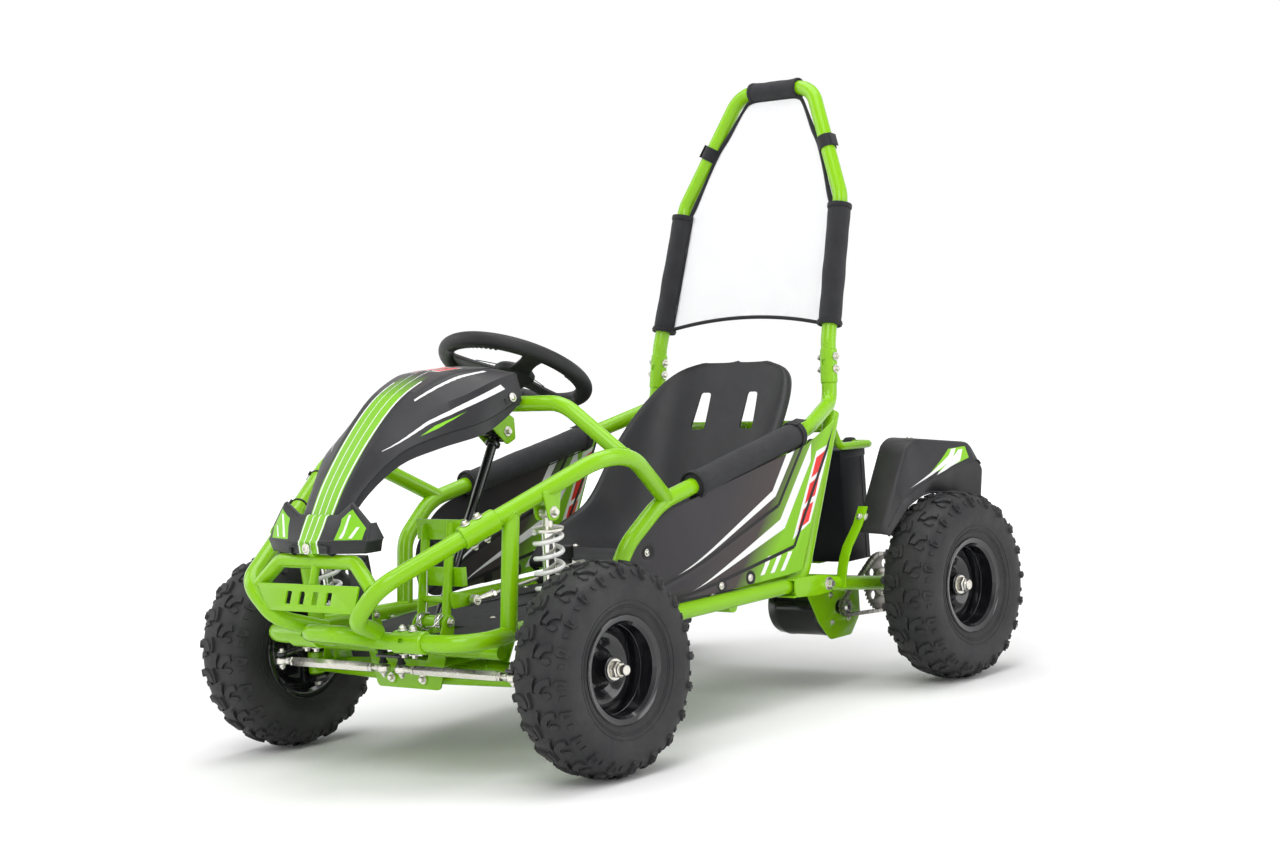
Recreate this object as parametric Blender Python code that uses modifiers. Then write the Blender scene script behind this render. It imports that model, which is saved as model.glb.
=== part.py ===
"""An electric go-kart with a tube frame, front and rear suspension and a chain-driven rear axle.

Units are metres, +Z is up, the kart points along -Y, and +X is the driver's left. The origin is on the
ground under the middle of the kart. Points near the front are given from the middle of the front axle,
and points near the rear from the middle of the rear axle.
"""

import math
from math import cos, degrees, pi, radians, sin, tan

import bmesh
import bpy
from mathutils import Matrix, Vector

# Overall sizes
WHEELBASE = 0.908
FRONT_TRACK = 0.708
REAR_TRACK = 0.741
FRONT_OVERHANG = 0.2655
TYRE_RADIUS = 0.165
TYRE_WIDTH = 0.105
RIM_FLANGE_RADIUS = 0.083
RIM_WIDTH = 0.086
RIM_STEPS = 12
SIDES = (("left", 1), ("right", -1))

# Tubes and gaps
FRAME_TUBE = 0.0135
DASH_TUBE = 0.0125
BUMPER_TUBE = 0.0115
ARM_TUBE = 0.0110
SLEEVE_WALL = 0.0042
SLEEVE_DEPTH = 0.046
MIDDLE_HEIGHT = 0.36
GAP = 0.0003
RUNNING_GAP = 0.0006
ARC_STEP = 30
TUBE_SIDES = 8
ROD_SIDES = 8
SMALL_SIDES = 6
CUTTER_SIDES = 12
SHEET = 0.003
THICK_SHEET = 0.004

# Front suspension and steering, from the middle of the front axle
ARM_PIVOT_X = 0.035
ARM_PIVOT_Z = -0.022
ARM_PIVOT_FRONT = -0.0625
ARM_PIVOT_REAR = 0.0905
KINGPIN_X = FRONT_TRACK / 2 - 0.064
KINGPIN_RADIUS = 0.0060
STEERING_ARM = 0.099
TIE_ROD_Z = -0.002
TIE_ROD_OUTER_X = KINGPIN_X - 0.030
TIE_ROD_INNER_X = 0.020
TIE_ROD_RADIUS = 0.0080
SPINDLE_RADIUS = 0.0080
COLUMN_FOOT = (0.014, 0.070)
COLUMN_TILT = radians(29.7)
COLUMN_RADIUS = 0.0080
COLUMN_BORE = (COLUMN_RADIUS + RUNNING_GAP) / cos(pi / ROD_SIDES)
UPPER_BEARING = 0.315
LOWER_BEARING = -0.030
PITMAN_Z = 0.0195
PITMAN_THICKNESS = 0.004
WHEEL_ALONG_COLUMN = 0.425
STEERING_WHEEL_RADIUS = 0.118
STEERING_GRIP_RADIUS = 0.013

# Shock absorbers and their springs
SPRING_WIRE = 0.0030
SPRING_RADIUS = 0.0210
COIL_STEPS = 7
DAMPER_RADIUS = 0.0105
DAMPER_ROD = 0.0050
EYE_RADIUS = 0.0105
EYE_WIDTH = 0.018
FRONT_SHOCK_TOP = (0.261, -0.001, 0.235)
FRONT_SHOCK_FOOT = (0.246, 0.009, 0.013)
REAR_SHOCK_TOP = (0.0, -0.109, 0.235)
REAR_SHOCK_FOOT = (0.0, -0.162, 0.060)

# Rear drive, from the middle of the rear axle
SWING_PIVOT = (0.262, -0.244, 0.033)
SWING_TUBE = 0.0125
AXLE_RADIUS = 0.0100
DRIVE_X = 0.215
CHAIN_PITCH = 0.008
SPROCKET_TEETH = 40
PINION_TEETH = 11
SPROCKET_THICKNESS = 0.004
MOTOR_CENTRE = (-0.109, -0.030)
MOTOR_RADIUS = 0.054
MOTOR_PLATE_X = 0.198
BRAKE_DISC_RADIUS = 0.070
DISC_THICKNESS = 0.0035

# Battery box, from the middle of the rear axle
BOX_WIDTH = 0.380
BOX_FRONT = -0.066
BOX_REAR = 0.008
BOX_BOTTOM = 0.043
BOX_TOP = 0.243
BOX_WALL = 0.002

# Panels
PAD_RADIUS = 0.0220
FLOOR_Z = 0.041
FLOOR_THICKNESS = 0.0025
TREAD_PITCHES = 12
TREAD_DEPTH = 0.006
LUG_HALF_ANGLE = 8.0

LENGTH = FRONT_OVERHANG + WHEELBASE + TYRE_RADIUS
FRONT_AXLE_Y = FRONT_OVERHANG - LENGTH / 2
REAR_AXLE_Y = FRONT_AXLE_Y + WHEELBASE
COLUMN_AXIS = Vector((0, sin(COLUMN_TILT), cos(COLUMN_TILT)))
X_AXIS = Vector((1, 0, 0))

for old in list(bpy.data.objects):
    bpy.data.objects.remove(old, do_unlink=True)
KART = bpy.data.collections.new("go_kart")
CUTTERS = bpy.data.collections.new("cutters")
bpy.context.scene.collection.children.link(KART)
bpy.context.scene.collection.children.link(CUTTERS)


def front(x, y, z):
    """A point given from the middle of the front axle."""
    return Vector((x, FRONT_AXLE_Y + y, TYRE_RADIUS + z))


def rear(x, y, z):
    """A point given from the middle of the rear axle."""
    return Vector((x, REAR_AXLE_Y + y, TYRE_RADIUS + z))


def column(along):
    """A point on the steering column's axis."""
    return front(0, *COLUMN_FOOT) + COLUMN_AXIS * along


def toward(start, end, distance):
    """The point at a distance from start on the line to end."""
    return start + (end - start).normalized() * distance


def material(name, colour, roughness, metallic=0.0):
    made = bpy.data.materials.new(name)
    made.use_nodes = True
    shader = made.node_tree.nodes["Principled BSDF"]
    shader.inputs["Base Color"].default_value = (*colour, 1.0)
    shader.inputs["Roughness"].default_value = roughness
    shader.inputs["Metallic"].default_value = metallic
    return made


GREEN = ("green_paint", (0.216, 0.617, 0.010), 0.30)
BLACK_PAINT = ("black_paint", (0.012, 0.012, 0.014), 0.35)
BLACK_PLASTIC = ("black_plastic", (0.018, 0.018, 0.020), 0.50)
RUBBER = ("tyre_rubber", (0.016, 0.016, 0.017), 0.80)
FOAM = ("black_foam", (0.014, 0.014, 0.016), 0.90)
ZINC = ("zinc", (0.620, 0.620, 0.600), 0.30, 1.0)
WHITE_PAINT = ("white_paint", (0.800, 0.800, 0.780), 0.35)
CHEQUER = ("floor_plate", (0.080, 0.080, 0.085), 0.55, 0.6)
FABRIC = ("net_fabric", (0.700, 0.700, 0.710), 0.90)


# Shapes: each makes a hidden helper object, which piece() turns into a part


def helper(mesh, name="helper"):
    """A hidden object that is a cutter, or a shape to be joined."""
    obj = bpy.data.objects.new(name, mesh)
    obj.hide_render = True
    obj.display_type = "WIRE"
    CUTTERS.objects.link(obj)
    return obj


def from_bmesh(shape):
    """A helper from a bmesh, with its faces turned outward."""
    bmesh.ops.recalc_face_normals(shape, faces=shape.faces)
    mesh = bpy.data.meshes.new("shape")
    shape.to_mesh(mesh)
    shape.free()
    return helper(mesh)


def from_curve(curve):
    """A curve's solid as a mesh, with its caps welded to its sides."""
    guide = bpy.data.objects.new("guide", curve)
    bpy.context.scene.collection.objects.link(guide)
    bpy.context.view_layer.update()
    graph = bpy.context.evaluated_depsgraph_get()
    mesh = bpy.data.meshes.new_from_object(guide.evaluated_get(graph))
    bpy.data.objects.remove(guide, do_unlink=True)
    shape = bmesh.new()
    shape.from_mesh(mesh)
    bmesh.ops.remove_doubles(shape, verts=shape.verts, dist=0.00001)
    return from_bmesh(shape)


def tube(path, radius, sides=TUBE_SIDES):
    """A round tube along a path."""
    curve = bpy.data.curves.new("path", "CURVE")
    curve.dimensions = "3D"
    curve.bevel_depth = radius
    curve.bevel_resolution = (sides - 4) // 2
    curve.use_fill_caps = True
    spline = curve.splines.new("POLY")
    spline.points.add(len(path) - 1)
    for point, place in zip(spline.points, path):
        point.co = (*place, 1.0)
    return from_curve(curve)


def bend(corners, radii):
    """A bent tube's centre line: straight runs, with an arc of the given radius at each inner corner."""
    path = [corners[0]]
    for before, corner, after, radius in zip(corners, corners[1:], corners[2:], radii):
        into = (corner - before).normalized()
        out = (after - corner).normalized()
        angle = into.angle(out)
        start = corner - into * radius * tan(angle / 2)
        normal = into.cross(out).normalized()
        centre = start + normal.cross(into) * radius
        steps = max(1, math.ceil(degrees(angle) / ARC_STEP))
        for step in range(steps + 1):
            turn = Matrix.Rotation(angle * step / steps, 3, normal)
            path.append(centre + turn @ (start - centre))
    path.append(corners[-1])
    return path


def mirrored(corners):
    """A path from the left side to the right, from its left half."""
    other = [Vector((-corner.x, corner.y, corner.z)) for corner in reversed(corners)]
    return list(corners) + other


def rod(start, end, radius, sides=ROD_SIDES):
    """A straight round bar or cone between two points."""
    shape = bmesh.new()
    span = end - start
    place = Matrix.Translation((start + end) / 2) @ span.to_track_quat("Z", "Y").to_matrix().to_4x4()
    bmesh.ops.create_cone(
        shape, cap_ends=True, segments=sides, radius1=radius, radius2=radius, depth=span.length, matrix=place
    )
    return from_bmesh(shape)


def block(centre, size, tilt=None):
    """A box, turned by a rotation matrix if one is given."""
    shape = bmesh.new()
    turn = tilt.to_4x4() if tilt else Matrix.Identity(4)
    place = Matrix.Translation(centre) @ turn @ Matrix.Diagonal((*size, 1))
    bmesh.ops.create_cube(shape, size=1, matrix=place)
    return from_bmesh(shape)


def rounded(outline, radius, steps=3):
    """An outline with each corner rounded."""
    points = []
    for index, corner in enumerate(outline):
        before = Vector(outline[index - 1]) - Vector(corner)
        after = Vector(outline[(index + 1) % len(outline)]) - Vector(corner)
        half = before.angle(after) / 2
        reach = min(radius / tan(half), before.length * 0.45, after.length * 0.45)
        start = Vector(corner) + before.normalized() * reach
        end = Vector(corner) + after.normalized() * reach
        for step in range(steps + 1):
            share = step / steps
            inner = start.lerp(Vector(corner), share).lerp(Vector(corner).lerp(end, share), share)
            points.append(tuple(inner))
    return points


def circle(centre, radius, sides=16):
    """A circle's outline. It starts a little past the axis, so that no two holes have edges in line."""
    turns = [2 * pi * step / sides + 0.13 + centre[0] * 3 for step in range(sides)]
    return [(centre[0] + radius * cos(turn), centre[1] + radius * sin(turn)) for turn in turns]


PLANES = {
    "XY": Matrix(((1, 0, 0), (0, 1, 0), (0, 0, 1))),
    "XZ": Matrix(((1, 0, 0), (0, 0, 1), (0, 1, 0))),
    "YZ": Matrix(((0, 0, 1), (1, 0, 0), (0, 1, 0))),
}


def plate(outlines, thickness, plane, origin, level=0.0):
    """A flat plate in a plane through origin. The first outline is its edge, and the others are its holes."""
    curve = bpy.data.curves.new("outline", "CURVE")
    curve.dimensions = "2D"
    curve.fill_mode = "BOTH"
    curve.extrude = thickness / 2
    for outline in outlines:
        spline = curve.splines.new("POLY")
        spline.points.add(len(outline) - 1)
        for point, place in zip(spline.points, outline):
            point.co = (*place, 0, 1)
        spline.use_cyclic_u = True
    made = from_curve(curve)
    made.data.transform(Matrix.Translation((0, 0, level)))
    made.data.transform(Matrix.Translation(origin) @ PLANES[plane].to_4x4())
    shape = bmesh.new()
    shape.from_mesh(made.data)
    bmesh.ops.recalc_face_normals(shape, faces=shape.faces)
    shape.to_mesh(made.data)
    shape.free()
    return made


def lathe(profile, centre, direction, steps):
    """A turned ring or solid: profile holds (radius, distance along the axis) and is a closed outline."""
    area = sum(a[0] * b[1] - b[0] * a[1] for a, b in zip(profile, profile[1:] + profile[:1]))
    ordered = list(profile) if area < 0 else list(reversed(profile))
    mesh = bpy.data.meshes.new("profile")
    edges = [(index, (index + 1) % len(ordered)) for index in range(len(ordered))]
    mesh.from_pydata([(radius, 0, along) for radius, along in ordered], edges, [])
    made = helper(mesh)
    screw = made.modifiers.new("turn", "SCREW")
    screw.steps = steps
    screw.render_steps = steps
    screw.use_merge_vertices = True
    screw.merge_threshold = 0.00005
    made.location = centre
    made.rotation_euler = Vector(direction).to_track_quat("Z", "Y").to_euler()
    return made


def skin(rows, thickness, offset=0.0):
    """A shell of even thickness through rows of points."""
    shape = bmesh.new()
    grid = [[shape.verts.new(point) for point in row] for row in rows]
    for row, following in zip(grid, grid[1:]):
        for a, b, c, d in zip(row, row[1:], following[1:], following):
            shape.faces.new((a, b, c, d))
    mesh = bpy.data.meshes.new("skin")
    shape.to_mesh(mesh)
    shape.free()
    made = helper(mesh)
    shell = made.modifiers.new("thickness", "SOLIDIFY")
    shell.thickness = thickness
    shell.offset = offset
    shell.use_even_offset = True
    return made


def boolean(target, other, operation):
    modifier = target.modifiers.new(operation.lower(), "BOOLEAN")
    modifier.operation = operation
    modifier.object = other
    return target


def join(target, *others):
    for other in others:
        boolean(target, other, "UNION")
    return target


def cut(target, *others):
    for other in others:
        boolean(target, other, "DIFFERENCE")
    return target


MADE_MATERIALS = {}


def piece(name, shape, look, pivot=None):
    """Turns a helper into a part of the kart, hung on an empty at its pivot if it moves."""
    if look[0] not in MADE_MATERIALS:
        MADE_MATERIALS[look[0]] = material(*look)
    shape.name = name
    shape.data.name = name
    shape.hide_render = False
    shape.display_type = "TEXTURED"
    shape.data.materials.append(MADE_MATERIALS[look[0]])
    for polygon in shape.data.polygons:
        polygon.use_smooth = False
    CUTTERS.objects.unlink(shape)
    KART.objects.link(shape)
    if pivot:
        shape.parent = pivot
        shape.matrix_parent_inverse = pivot.matrix_world.inverted()
    return shape


def pivot_at(name, place, parent=None):
    """An empty on a joint's axis, which carries the moving pieces."""
    empty = bpy.data.objects.new(name, None)
    empty.empty_display_size = 0.04
    KART.objects.link(empty)
    empty.location = place
    bpy.context.view_layer.update()
    if parent:
        empty.parent = parent
        empty.matrix_parent_inverse = parent.matrix_world.inverted()
    bpy.context.view_layer.update()
    return empty


# Frame: the centre lines of its tubes


def rail_start(side):
    return front(side * 0.085, -0.1655, 0.055)


def rail_corner(side):
    return front(side * 0.242, -0.160, 0.055)


def rail_path(side):
    corners = [
        rail_start(side),
        rail_corner(side),
        front(side * 0.200, 0.004, 0.055),
        front(side * 0.216, 0.134, 0.050),
        front(side * 0.260, 0.264, 0.038),
        rear(side * 0.262, -0.299, 0.041),
        rear(side * 0.205, -0.102, 0.313),
    ]
    return bend(corners, [0.055, 0.12, 0.15, 0.15, 0.045])


def hoop_socket(side):
    return rear(side * 0.202, -0.102, 0.332), rear(side * 0.1965, -0.088, 0.426)


def waist_path(side):
    low, top = hoop_socket(side)
    corners = [
        front(side * 0.222, 0.146, 0.049),
        front(side * 0.2515, 0.186, 0.160),
        front(side * 0.261, 0.258, 0.227),
        rear(side * 0.243, -0.224, 0.298),
        low,
        top,
    ]
    return bend(corners, [0.07, 0.05, 0.2, 0.035])


def upper_start(side):
    return front(side * 0.2045, -0.129, 0.209)


def upper_corner(side):
    return front(side * 0.321, 0.115, 0.326)


def upper_path(side):
    start = toward(upper_start(side), upper_corner(side), SLEEVE_DEPTH + 0.002)
    return bend([start, upper_corner(side), front(side * 0.274, 0.275, 0.227)], [0.11])


def upper_apex(side):
    return min(upper_path(side), key=lambda point: (point - upper_corner(side)).length)


def dash_path():
    left = [upper_apex(1), front(0.203, 0.114, 0.392)]
    return bend(mirrored(left), [0.07, 0.07])


def hoop_path():
    low, top = hoop_socket(1)
    left = [
        toward(top, low, SLEEVE_DEPTH - 0.001),
        toward(low, top, (top - low).length + 0.016),
        rear(0.181, -0.0014, 0.697),
        rear(0.083, 0.0645, 0.901),
    ]
    radii = [0.06, 0.06, 0.05]
    return bend(mirrored(left), radii + radii[::-1])


def sleeve(mouth, inward, radius=FRAME_TUBE):
    """A socket that takes the end of another tube: its outer shape, and the bore to cut from it."""
    outer = radius + SLEEVE_WALL
    bore = (radius + GAP) / cos(pi / TUBE_SIDES)
    end = toward(mouth, inward, SLEEVE_DEPTH + 0.016)
    floor = toward(mouth, inward, SLEEVE_DEPTH)
    outside = toward(mouth, inward, -0.02)
    return tube([mouth, end], outer), tube([outside, floor], bore)


def fat(path, radius=FRAME_TUBE):
    """A cutter with the same flats as another tube, which leaves the welding gap round it."""
    return tube(path, radius + GAP / cos(pi / TUBE_SIDES))


def loose(path, radius=FRAME_TUBE):
    """A cutter that clears another tube whichever way its flats lie."""
    return tube(path, (radius + GAP) / cos(pi / CUTTER_SIDES), CUTTER_SIDES)


# Frame: its pieces


def make_side_rail(name, side):
    mouth, bore = sleeve(rail_start(side), rail_corner(side))
    path = rail_path(side)
    path[0] = toward(rail_start(side), rail_corner(side), SLEEVE_DEPTH + 0.002)
    shape = tube(path, FRAME_TUBE)
    pivot = rear(side * SWING_PIVOT[0], SWING_PIVOT[1], SWING_PIVOT[2])
    join(shape, mouth, *swing_bracket(side, pivot))
    cut(shape, bore, loose([point for point in waist_path(side) if point.z > MIDDLE_HEIGHT]))
    piece(f"side_rail_{name}", shape, GREEN)


BUSH_RADIUS = 0.0150
BUSH_HALF = 0.0165
PIVOT_PIN = 0.0060


def swing_bracket(side, pivot):
    """The folded bracket on the rail's rear end that holds the swing arm's pivot bolt."""
    web_centre = pivot + Vector((0, -0.080, 0.004))
    width = 2 * (BUSH_HALF + GAP + SHEET)
    shapes = [block(web_centre, (width, 0.022, 0.030))]
    cheek = [(-0.088, -0.011), (-0.088, 0.019), (-0.030, 0.016), (0.008, 0.013), (0.014, 0), (0.008, -0.013)]
    for half in (-1, 1):
        level = half * (BUSH_HALF + GAP + SHEET / 2)
        shapes.append(plate([rounded(cheek, 0.006, 1)], SHEET, "YZ", pivot + Vector((level, 0, 0))))
    reach = Vector((BUSH_HALF + SHEET + 0.003, 0, 0))
    shapes.append(rod(pivot - reach, pivot + reach, PIVOT_PIN))
    return shapes


def make_waist_tube(name, side):
    low, top = hoop_socket(side)
    path = waist_path(side)
    path[-1] = toward(top, low, SLEEVE_DEPTH + 0.002)
    mouth, bore = sleeve(top, low)
    shape = join(tube(path, FRAME_TUBE), mouth)
    cut(shape, bore, fat([point for point in rail_path(side) if point.z < MIDDLE_HEIGHT]))
    piece(f"waist_tube_{name}", shape, GREEN)


def make_upper_tube(name, side):
    start, corner = upper_start(side), upper_corner(side)
    mouth, bore = sleeve(start, corner)
    strut_share = 0.299
    strut = tube([front(side * 0.2154, -0.056, 0.055), start.lerp(corner, strut_share)], FRAME_TUBE)
    top = front(side * FRONT_SHOCK_TOP[0], FRONT_SHOCK_TOP[1], FRONT_SHOCK_TOP[2])
    shape = join(tube(upper_path(side), FRAME_TUBE), mouth, strut, *shock_tabs(top))
    cut(shape, bore, fat(waist_path(side)), fat(rail_path(side)))
    piece(f"upper_tube_{name}", shape, GREEN)


def shock_tabs(eye, up=1, reach=0.034):
    """Two ears each side of a shock absorber's eye."""
    ears = []
    for half in (-1, 1):
        outline = [(-0.018, up * reach), (-0.011, up * -0.006), (0, up * -0.012)]
        outline += [(0.011, up * -0.006), (0.018, up * reach)]
        level = half * (EYE_WIDTH / 2 + 0.0025 + SHEET / 2)
        ears.append(plate([outline], SHEET, "YZ", eye + Vector((level, 0, 0))))
    return ears


def make_front_frame():
    """The bolt-on nose: two swept tubes, the lower bow, the bumper hoop and its plate."""
    halves = []
    for side in (1, -1):
        start, corner = upper_start(side), upper_corner(side)
        swept = [
            toward(start, corner, SLEEVE_DEPTH - 0.001),
            toward(start, corner, -0.1475),
            front(side * 0.088, -FRONT_OVERHANG + FRAME_TUBE, 0.097),
            front(side * 0.056, -0.178, 0.070),
        ]
        swept[1].y = swept[2].y
        halves.append(tube(bend(swept, [0.055, 0.045]), FRAME_TUBE))
    bow = [
        toward(rail_start(1), rail_corner(1), SLEEVE_DEPTH - 0.011),
        front(0.048, -0.1668, 0.055),
        front(0.046, -0.236, 0.075),
    ]
    lower = tube(bend(mirrored(bow), [0.024, 0.030, 0.030, 0.024]), FRAME_TUBE)
    hoop = [front(0.126, -0.246, 0.147), front(0.083, -0.236, 0.185)]
    bumper = tube(bend(mirrored(hoop), [0.022, 0.022]), BUMPER_TUBE, 8)
    face = [(-0.098, 0.111), (0.098, 0.111), (0.114, 0.153), (-0.114, 0.153)]
    slots = []
    for index in range(4):
        left = -0.055 + index * 0.030
        slots.append([(left, 0.122), (left + 0.012, 0.122), (left + 0.020, 0.142), (left + 0.008, 0.142)])
    badge_plate = plate([face] + slots, 0.004, "XZ", front(0, -0.259, 0))
    stay = tube([front(0, -0.238, 0.185), front(0, -0.2555, 0.130)], 0.007, SMALL_SIDES)
    piece("front_frame", join(lower, *halves, bumper, badge_plate, stay), GREEN)


def make_dash_hoop():
    """The arch over the driver's legs, with the steering column's upper bearing."""
    shape = tube(dash_path(), DASH_TUBE)
    cheek = [(0.098, 0.388), (0.104, 0.402), (0.132, 0.398), (0.188, 0.362), (0.184, 0.334), (0.160, 0.326)]
    for half in (-1, 1):
        join(shape, plate([cheek], SHEET, "YZ", front(half * 0.0235, 0, 0)))
    turn = Matrix.Rotation(-COLUMN_TILT, 3, "X")
    join(shape, block(column(UPPER_BEARING), (0.0455, 0.034, 0.026), turn))
    bore = rod(column(UPPER_BEARING - 0.05), column(UPPER_BEARING + 0.05), COLUMN_BORE)
    cut(shape, bore, *(fat(upper_path(side)) for side in (1, -1)))
    piece("dash_hoop", shape, GREEN)


CROSS_TUBE = 0.0110
CROSS_Z = 0.0270
SPINE_TUBE = 0.0090
STRUT_TUBE = 0.0095
RACK_BAR = 0.0070
ARM_PIN = 0.0050


def make_floor_frame():
    """The ladder under the floor, with the front arms' pins, the steering's foot bearing and the pedal ears."""
    first, second, last = -0.066, 0.094, 0.434
    shape = block(front(0, first, 0.0355), (0.150, 0.012, 0.009))
    for side in (1, -1):
        ends = [front(side * 0.215, first, CROSS_Z), front(side * 0.062, first, CROSS_Z)]
        join(shape, tube(ends, CROSS_TUBE))
    join(shape, tube([front(-0.225, second, CROSS_Z), front(0.225, second, CROSS_Z)], CROSS_TUBE))
    join(shape, tube([front(-0.262, last, CROSS_Z), front(0.262, last, CROSS_Z)], CROSS_TUBE))
    for x in (-0.085, 0.085):
        join(shape, tube([front(x, first, CROSS_Z), front(x, last, CROSS_Z)], SPINE_TUBE, SMALL_SIDES))
    window = [(-0.048, 0.008), (0.048, 0.008), (0.048, 0.0325), (-0.048, 0.0325)]
    front_plate = [(-0.092, 0.038), (-0.070, -0.038), (0.070, -0.038), (0.092, 0.038)]
    join(shape, plate([front_plate, window], SHEET, "XZ", front(0, first, 0)))
    rear_plate = [(-0.088, 0.030), (-0.055, -0.038), (0.055, -0.038), (0.088, 0.030)]
    join(shape, plate([rear_plate], SHEET, "XZ", front(0, second, 0)))
    for side in (1, -1):
        pin_front = front(side * ARM_PIVOT_X, -0.070, ARM_PIVOT_Z)
        pin_rear = front(side * ARM_PIVOT_X, 0.098, ARM_PIVOT_Z)
        join(shape, rod(pin_front, pin_rear, ARM_PIN))
    shelf = [(-0.024, 0.094), (-0.014, 0.000), (0.014, 0.000), (0.024, 0.094)]
    join(shape, plate([shelf], 0.004, "XY", front(0, 0, 0.0330)))
    join(shape, rod(column(LOWER_BEARING - 0.011), column(LOWER_BEARING + 0.011), 0.015))
    bore = rod(column(LOWER_BEARING - 0.05), column(LOWER_BEARING + 0.05), COLUMN_BORE)
    join(shape, *brake_mounts(), *throttle_mounts())
    cut(shape, bore, *(fat(rail_path(side)) for side in (1, -1)))
    piece("floor_frame", shape, GREEN)


BRAKE_X = 0.050
BRAKE_PIVOT = (-0.051, 0.067)
BRAKE_PIN = 0.0050
BRAKE_EAR_X = 0.0330
PEDAL_HALF = 0.050
CYLINDER_X = BRAKE_X + PEDAL_HALF
CYLINDER_START = (0.150, 0.110)
CYLINDER_END = (0.250, 0.119)
CYLINDER_RADIUS = 0.0120
BRAKE_LUG = (CYLINDER_X, BRAKE_PIVOT[0] + 0.044, BRAKE_PIVOT[1] + 0.029)
RESERVOIR_RADIUS = 0.0110


def brake_mounts():
    """The brake pedal's pin and ears, and the master cylinder on its bracket."""
    pivot = front(BRAKE_X, *BRAKE_PIVOT)
    ear_x = BRAKE_EAR_X
    reach = X_AXIS * (PEDAL_HALF + 0.004)
    shapes = [rod(pivot - reach, pivot + reach, BRAKE_PIN)]
    ear = [(-0.030, CROSS_Z), (-0.012, 0.070), (0, 0.078), (0.012, 0.070), (0.004, CROSS_Z)]
    for half in (-1, 1):
        outline = [(BRAKE_PIVOT[0] + y, z) for y, z in ear]
        shapes.append(plate([outline], SHEET, "YZ", front(BRAKE_X + half * ear_x, 0, 0)))
    start, end = front(CYLINDER_X, *CYLINDER_START), front(CYLINDER_X, *CYLINDER_END)
    neck = toward(start, end, 0.060)
    shapes.append(rod(start, end, CYLINDER_RADIUS))
    shapes.append(rod(neck, neck + Vector((0, 0, 0.034)), RESERVOIR_RADIUS))
    on_floor = FLOOR_Z + FLOOR_THICKNESS + GAP
    bracket = [(0.160, on_floor), (0.160, 0.112), (0.215, 0.116), (0.215, on_floor)]
    shapes.append(plate([bracket], THICK_SHEET, "YZ", front(CYLINDER_X, 0, 0)))
    leg = [(0.170, CROSS_Z - 0.004), (0.170, 0.060), (0.190, 0.060), (0.190, CROSS_Z - 0.004)]
    shapes.append(plate([leg], THICK_SHEET, "YZ", front(CYLINDER_X, 0, 0)))
    shapes.append(block(front(0.093, 0.180, CROSS_Z), (0.018, 0.018, 0.008)))
    return shapes


THROTTLE_X = -0.085
THROTTLE_PIVOT = (-0.062, 0.074)
THROTTLE_PIN = 0.0040


def throttle_mounts():
    """The throttle's foot plate, its post and the pin that the pedal turns on."""
    pivot = front(THROTTLE_X, *THROTTLE_PIVOT)
    shapes = [rod(pivot - X_AXIS * 0.020, pivot + X_AXIS * 0.020, THROTTLE_PIN)]
    ear = [(-0.078, CROSS_Z), (-0.070, 0.0762), (-0.062, 0.0822), (-0.054, 0.0762), (-0.046, CROSS_Z)]
    for half in (-1, 1):
        shapes.append(plate([ear], SHEET, "YZ", front(THROTTLE_X + half * 0.0165, 0, 0)))
    return shapes


def make_rear_frame():
    """The cross tubes under and behind the seat, and the battery rack."""
    low_y, back_y, low_z, high_z = -0.352, -0.094, 0.0405, 0.290
    shape = tube([rear(-0.258, low_y, low_z), rear(0.258, low_y, low_z)], CROSS_TUBE)
    join(shape, tube([rear(-0.206, back_y, high_z), rear(0.206, back_y, high_z)], CROSS_TUBE))
    for x in (-0.100, 0.100):
        corners = [rear(x, low_y, low_z), rear(x, -0.219, low_z), rear(x, back_y, high_z)]
        join(shape, tube(bend(corners, [0.05]), STRUT_TUBE, SMALL_SIDES))
    rack_x, rack_z = 0.2005, 0.252
    left = [
        rear(rack_x, back_y, high_z - 0.010),
        rear(rack_x, -0.080, rack_z),
        rear(rack_x, BOX_REAR + 0.012, rack_z - 0.004),
    ]
    join(shape, tube(bend(mirrored(left), [0.02] * 4), RACK_BAR, SMALL_SIDES))
    for x in (-0.120, 0.120):
        behind = BOX_REAR + GAP + 0.0015
        under = BOX_BOTTOM - GAP - 0.0015
        corners = [
            (behind - 0.0015, rack_z + 0.002),
            (behind - 0.0015, under + 0.0015),
            (BOX_FRONT, under + 0.0015),
            (BOX_FRONT, under - 0.0015),
            (behind + 0.0100, under - 0.0015),
            (behind + 0.0100, rack_z + 0.002),
        ]
        join(shape, plate([corners], 0.020, "YZ", rear(x, 0, 0)))
    top = rear(*REAR_SHOCK_TOP)
    ear = [(-0.013, -0.004), (0, -0.013), (0.013, -0.004), (0.028, 0.058), (0.006, 0.066)]
    for half in (-1, 1):
        level = half * (EYE_WIDTH / 2 + 0.002 + SHEET / 2)
        join(shape, plate([ear], SHEET, "YZ", top + Vector((level, 0, 0))))
    for side in (1, -1):
        cut(shape, fat(rail_path(side)), fat(waist_path(side)))
    piece("rear_frame", shape, GREEN)


def make_roll_hoop():
    piece("roll_hoop", tube(hoop_path(), FRAME_TUBE), GREEN)


# Panels


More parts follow.
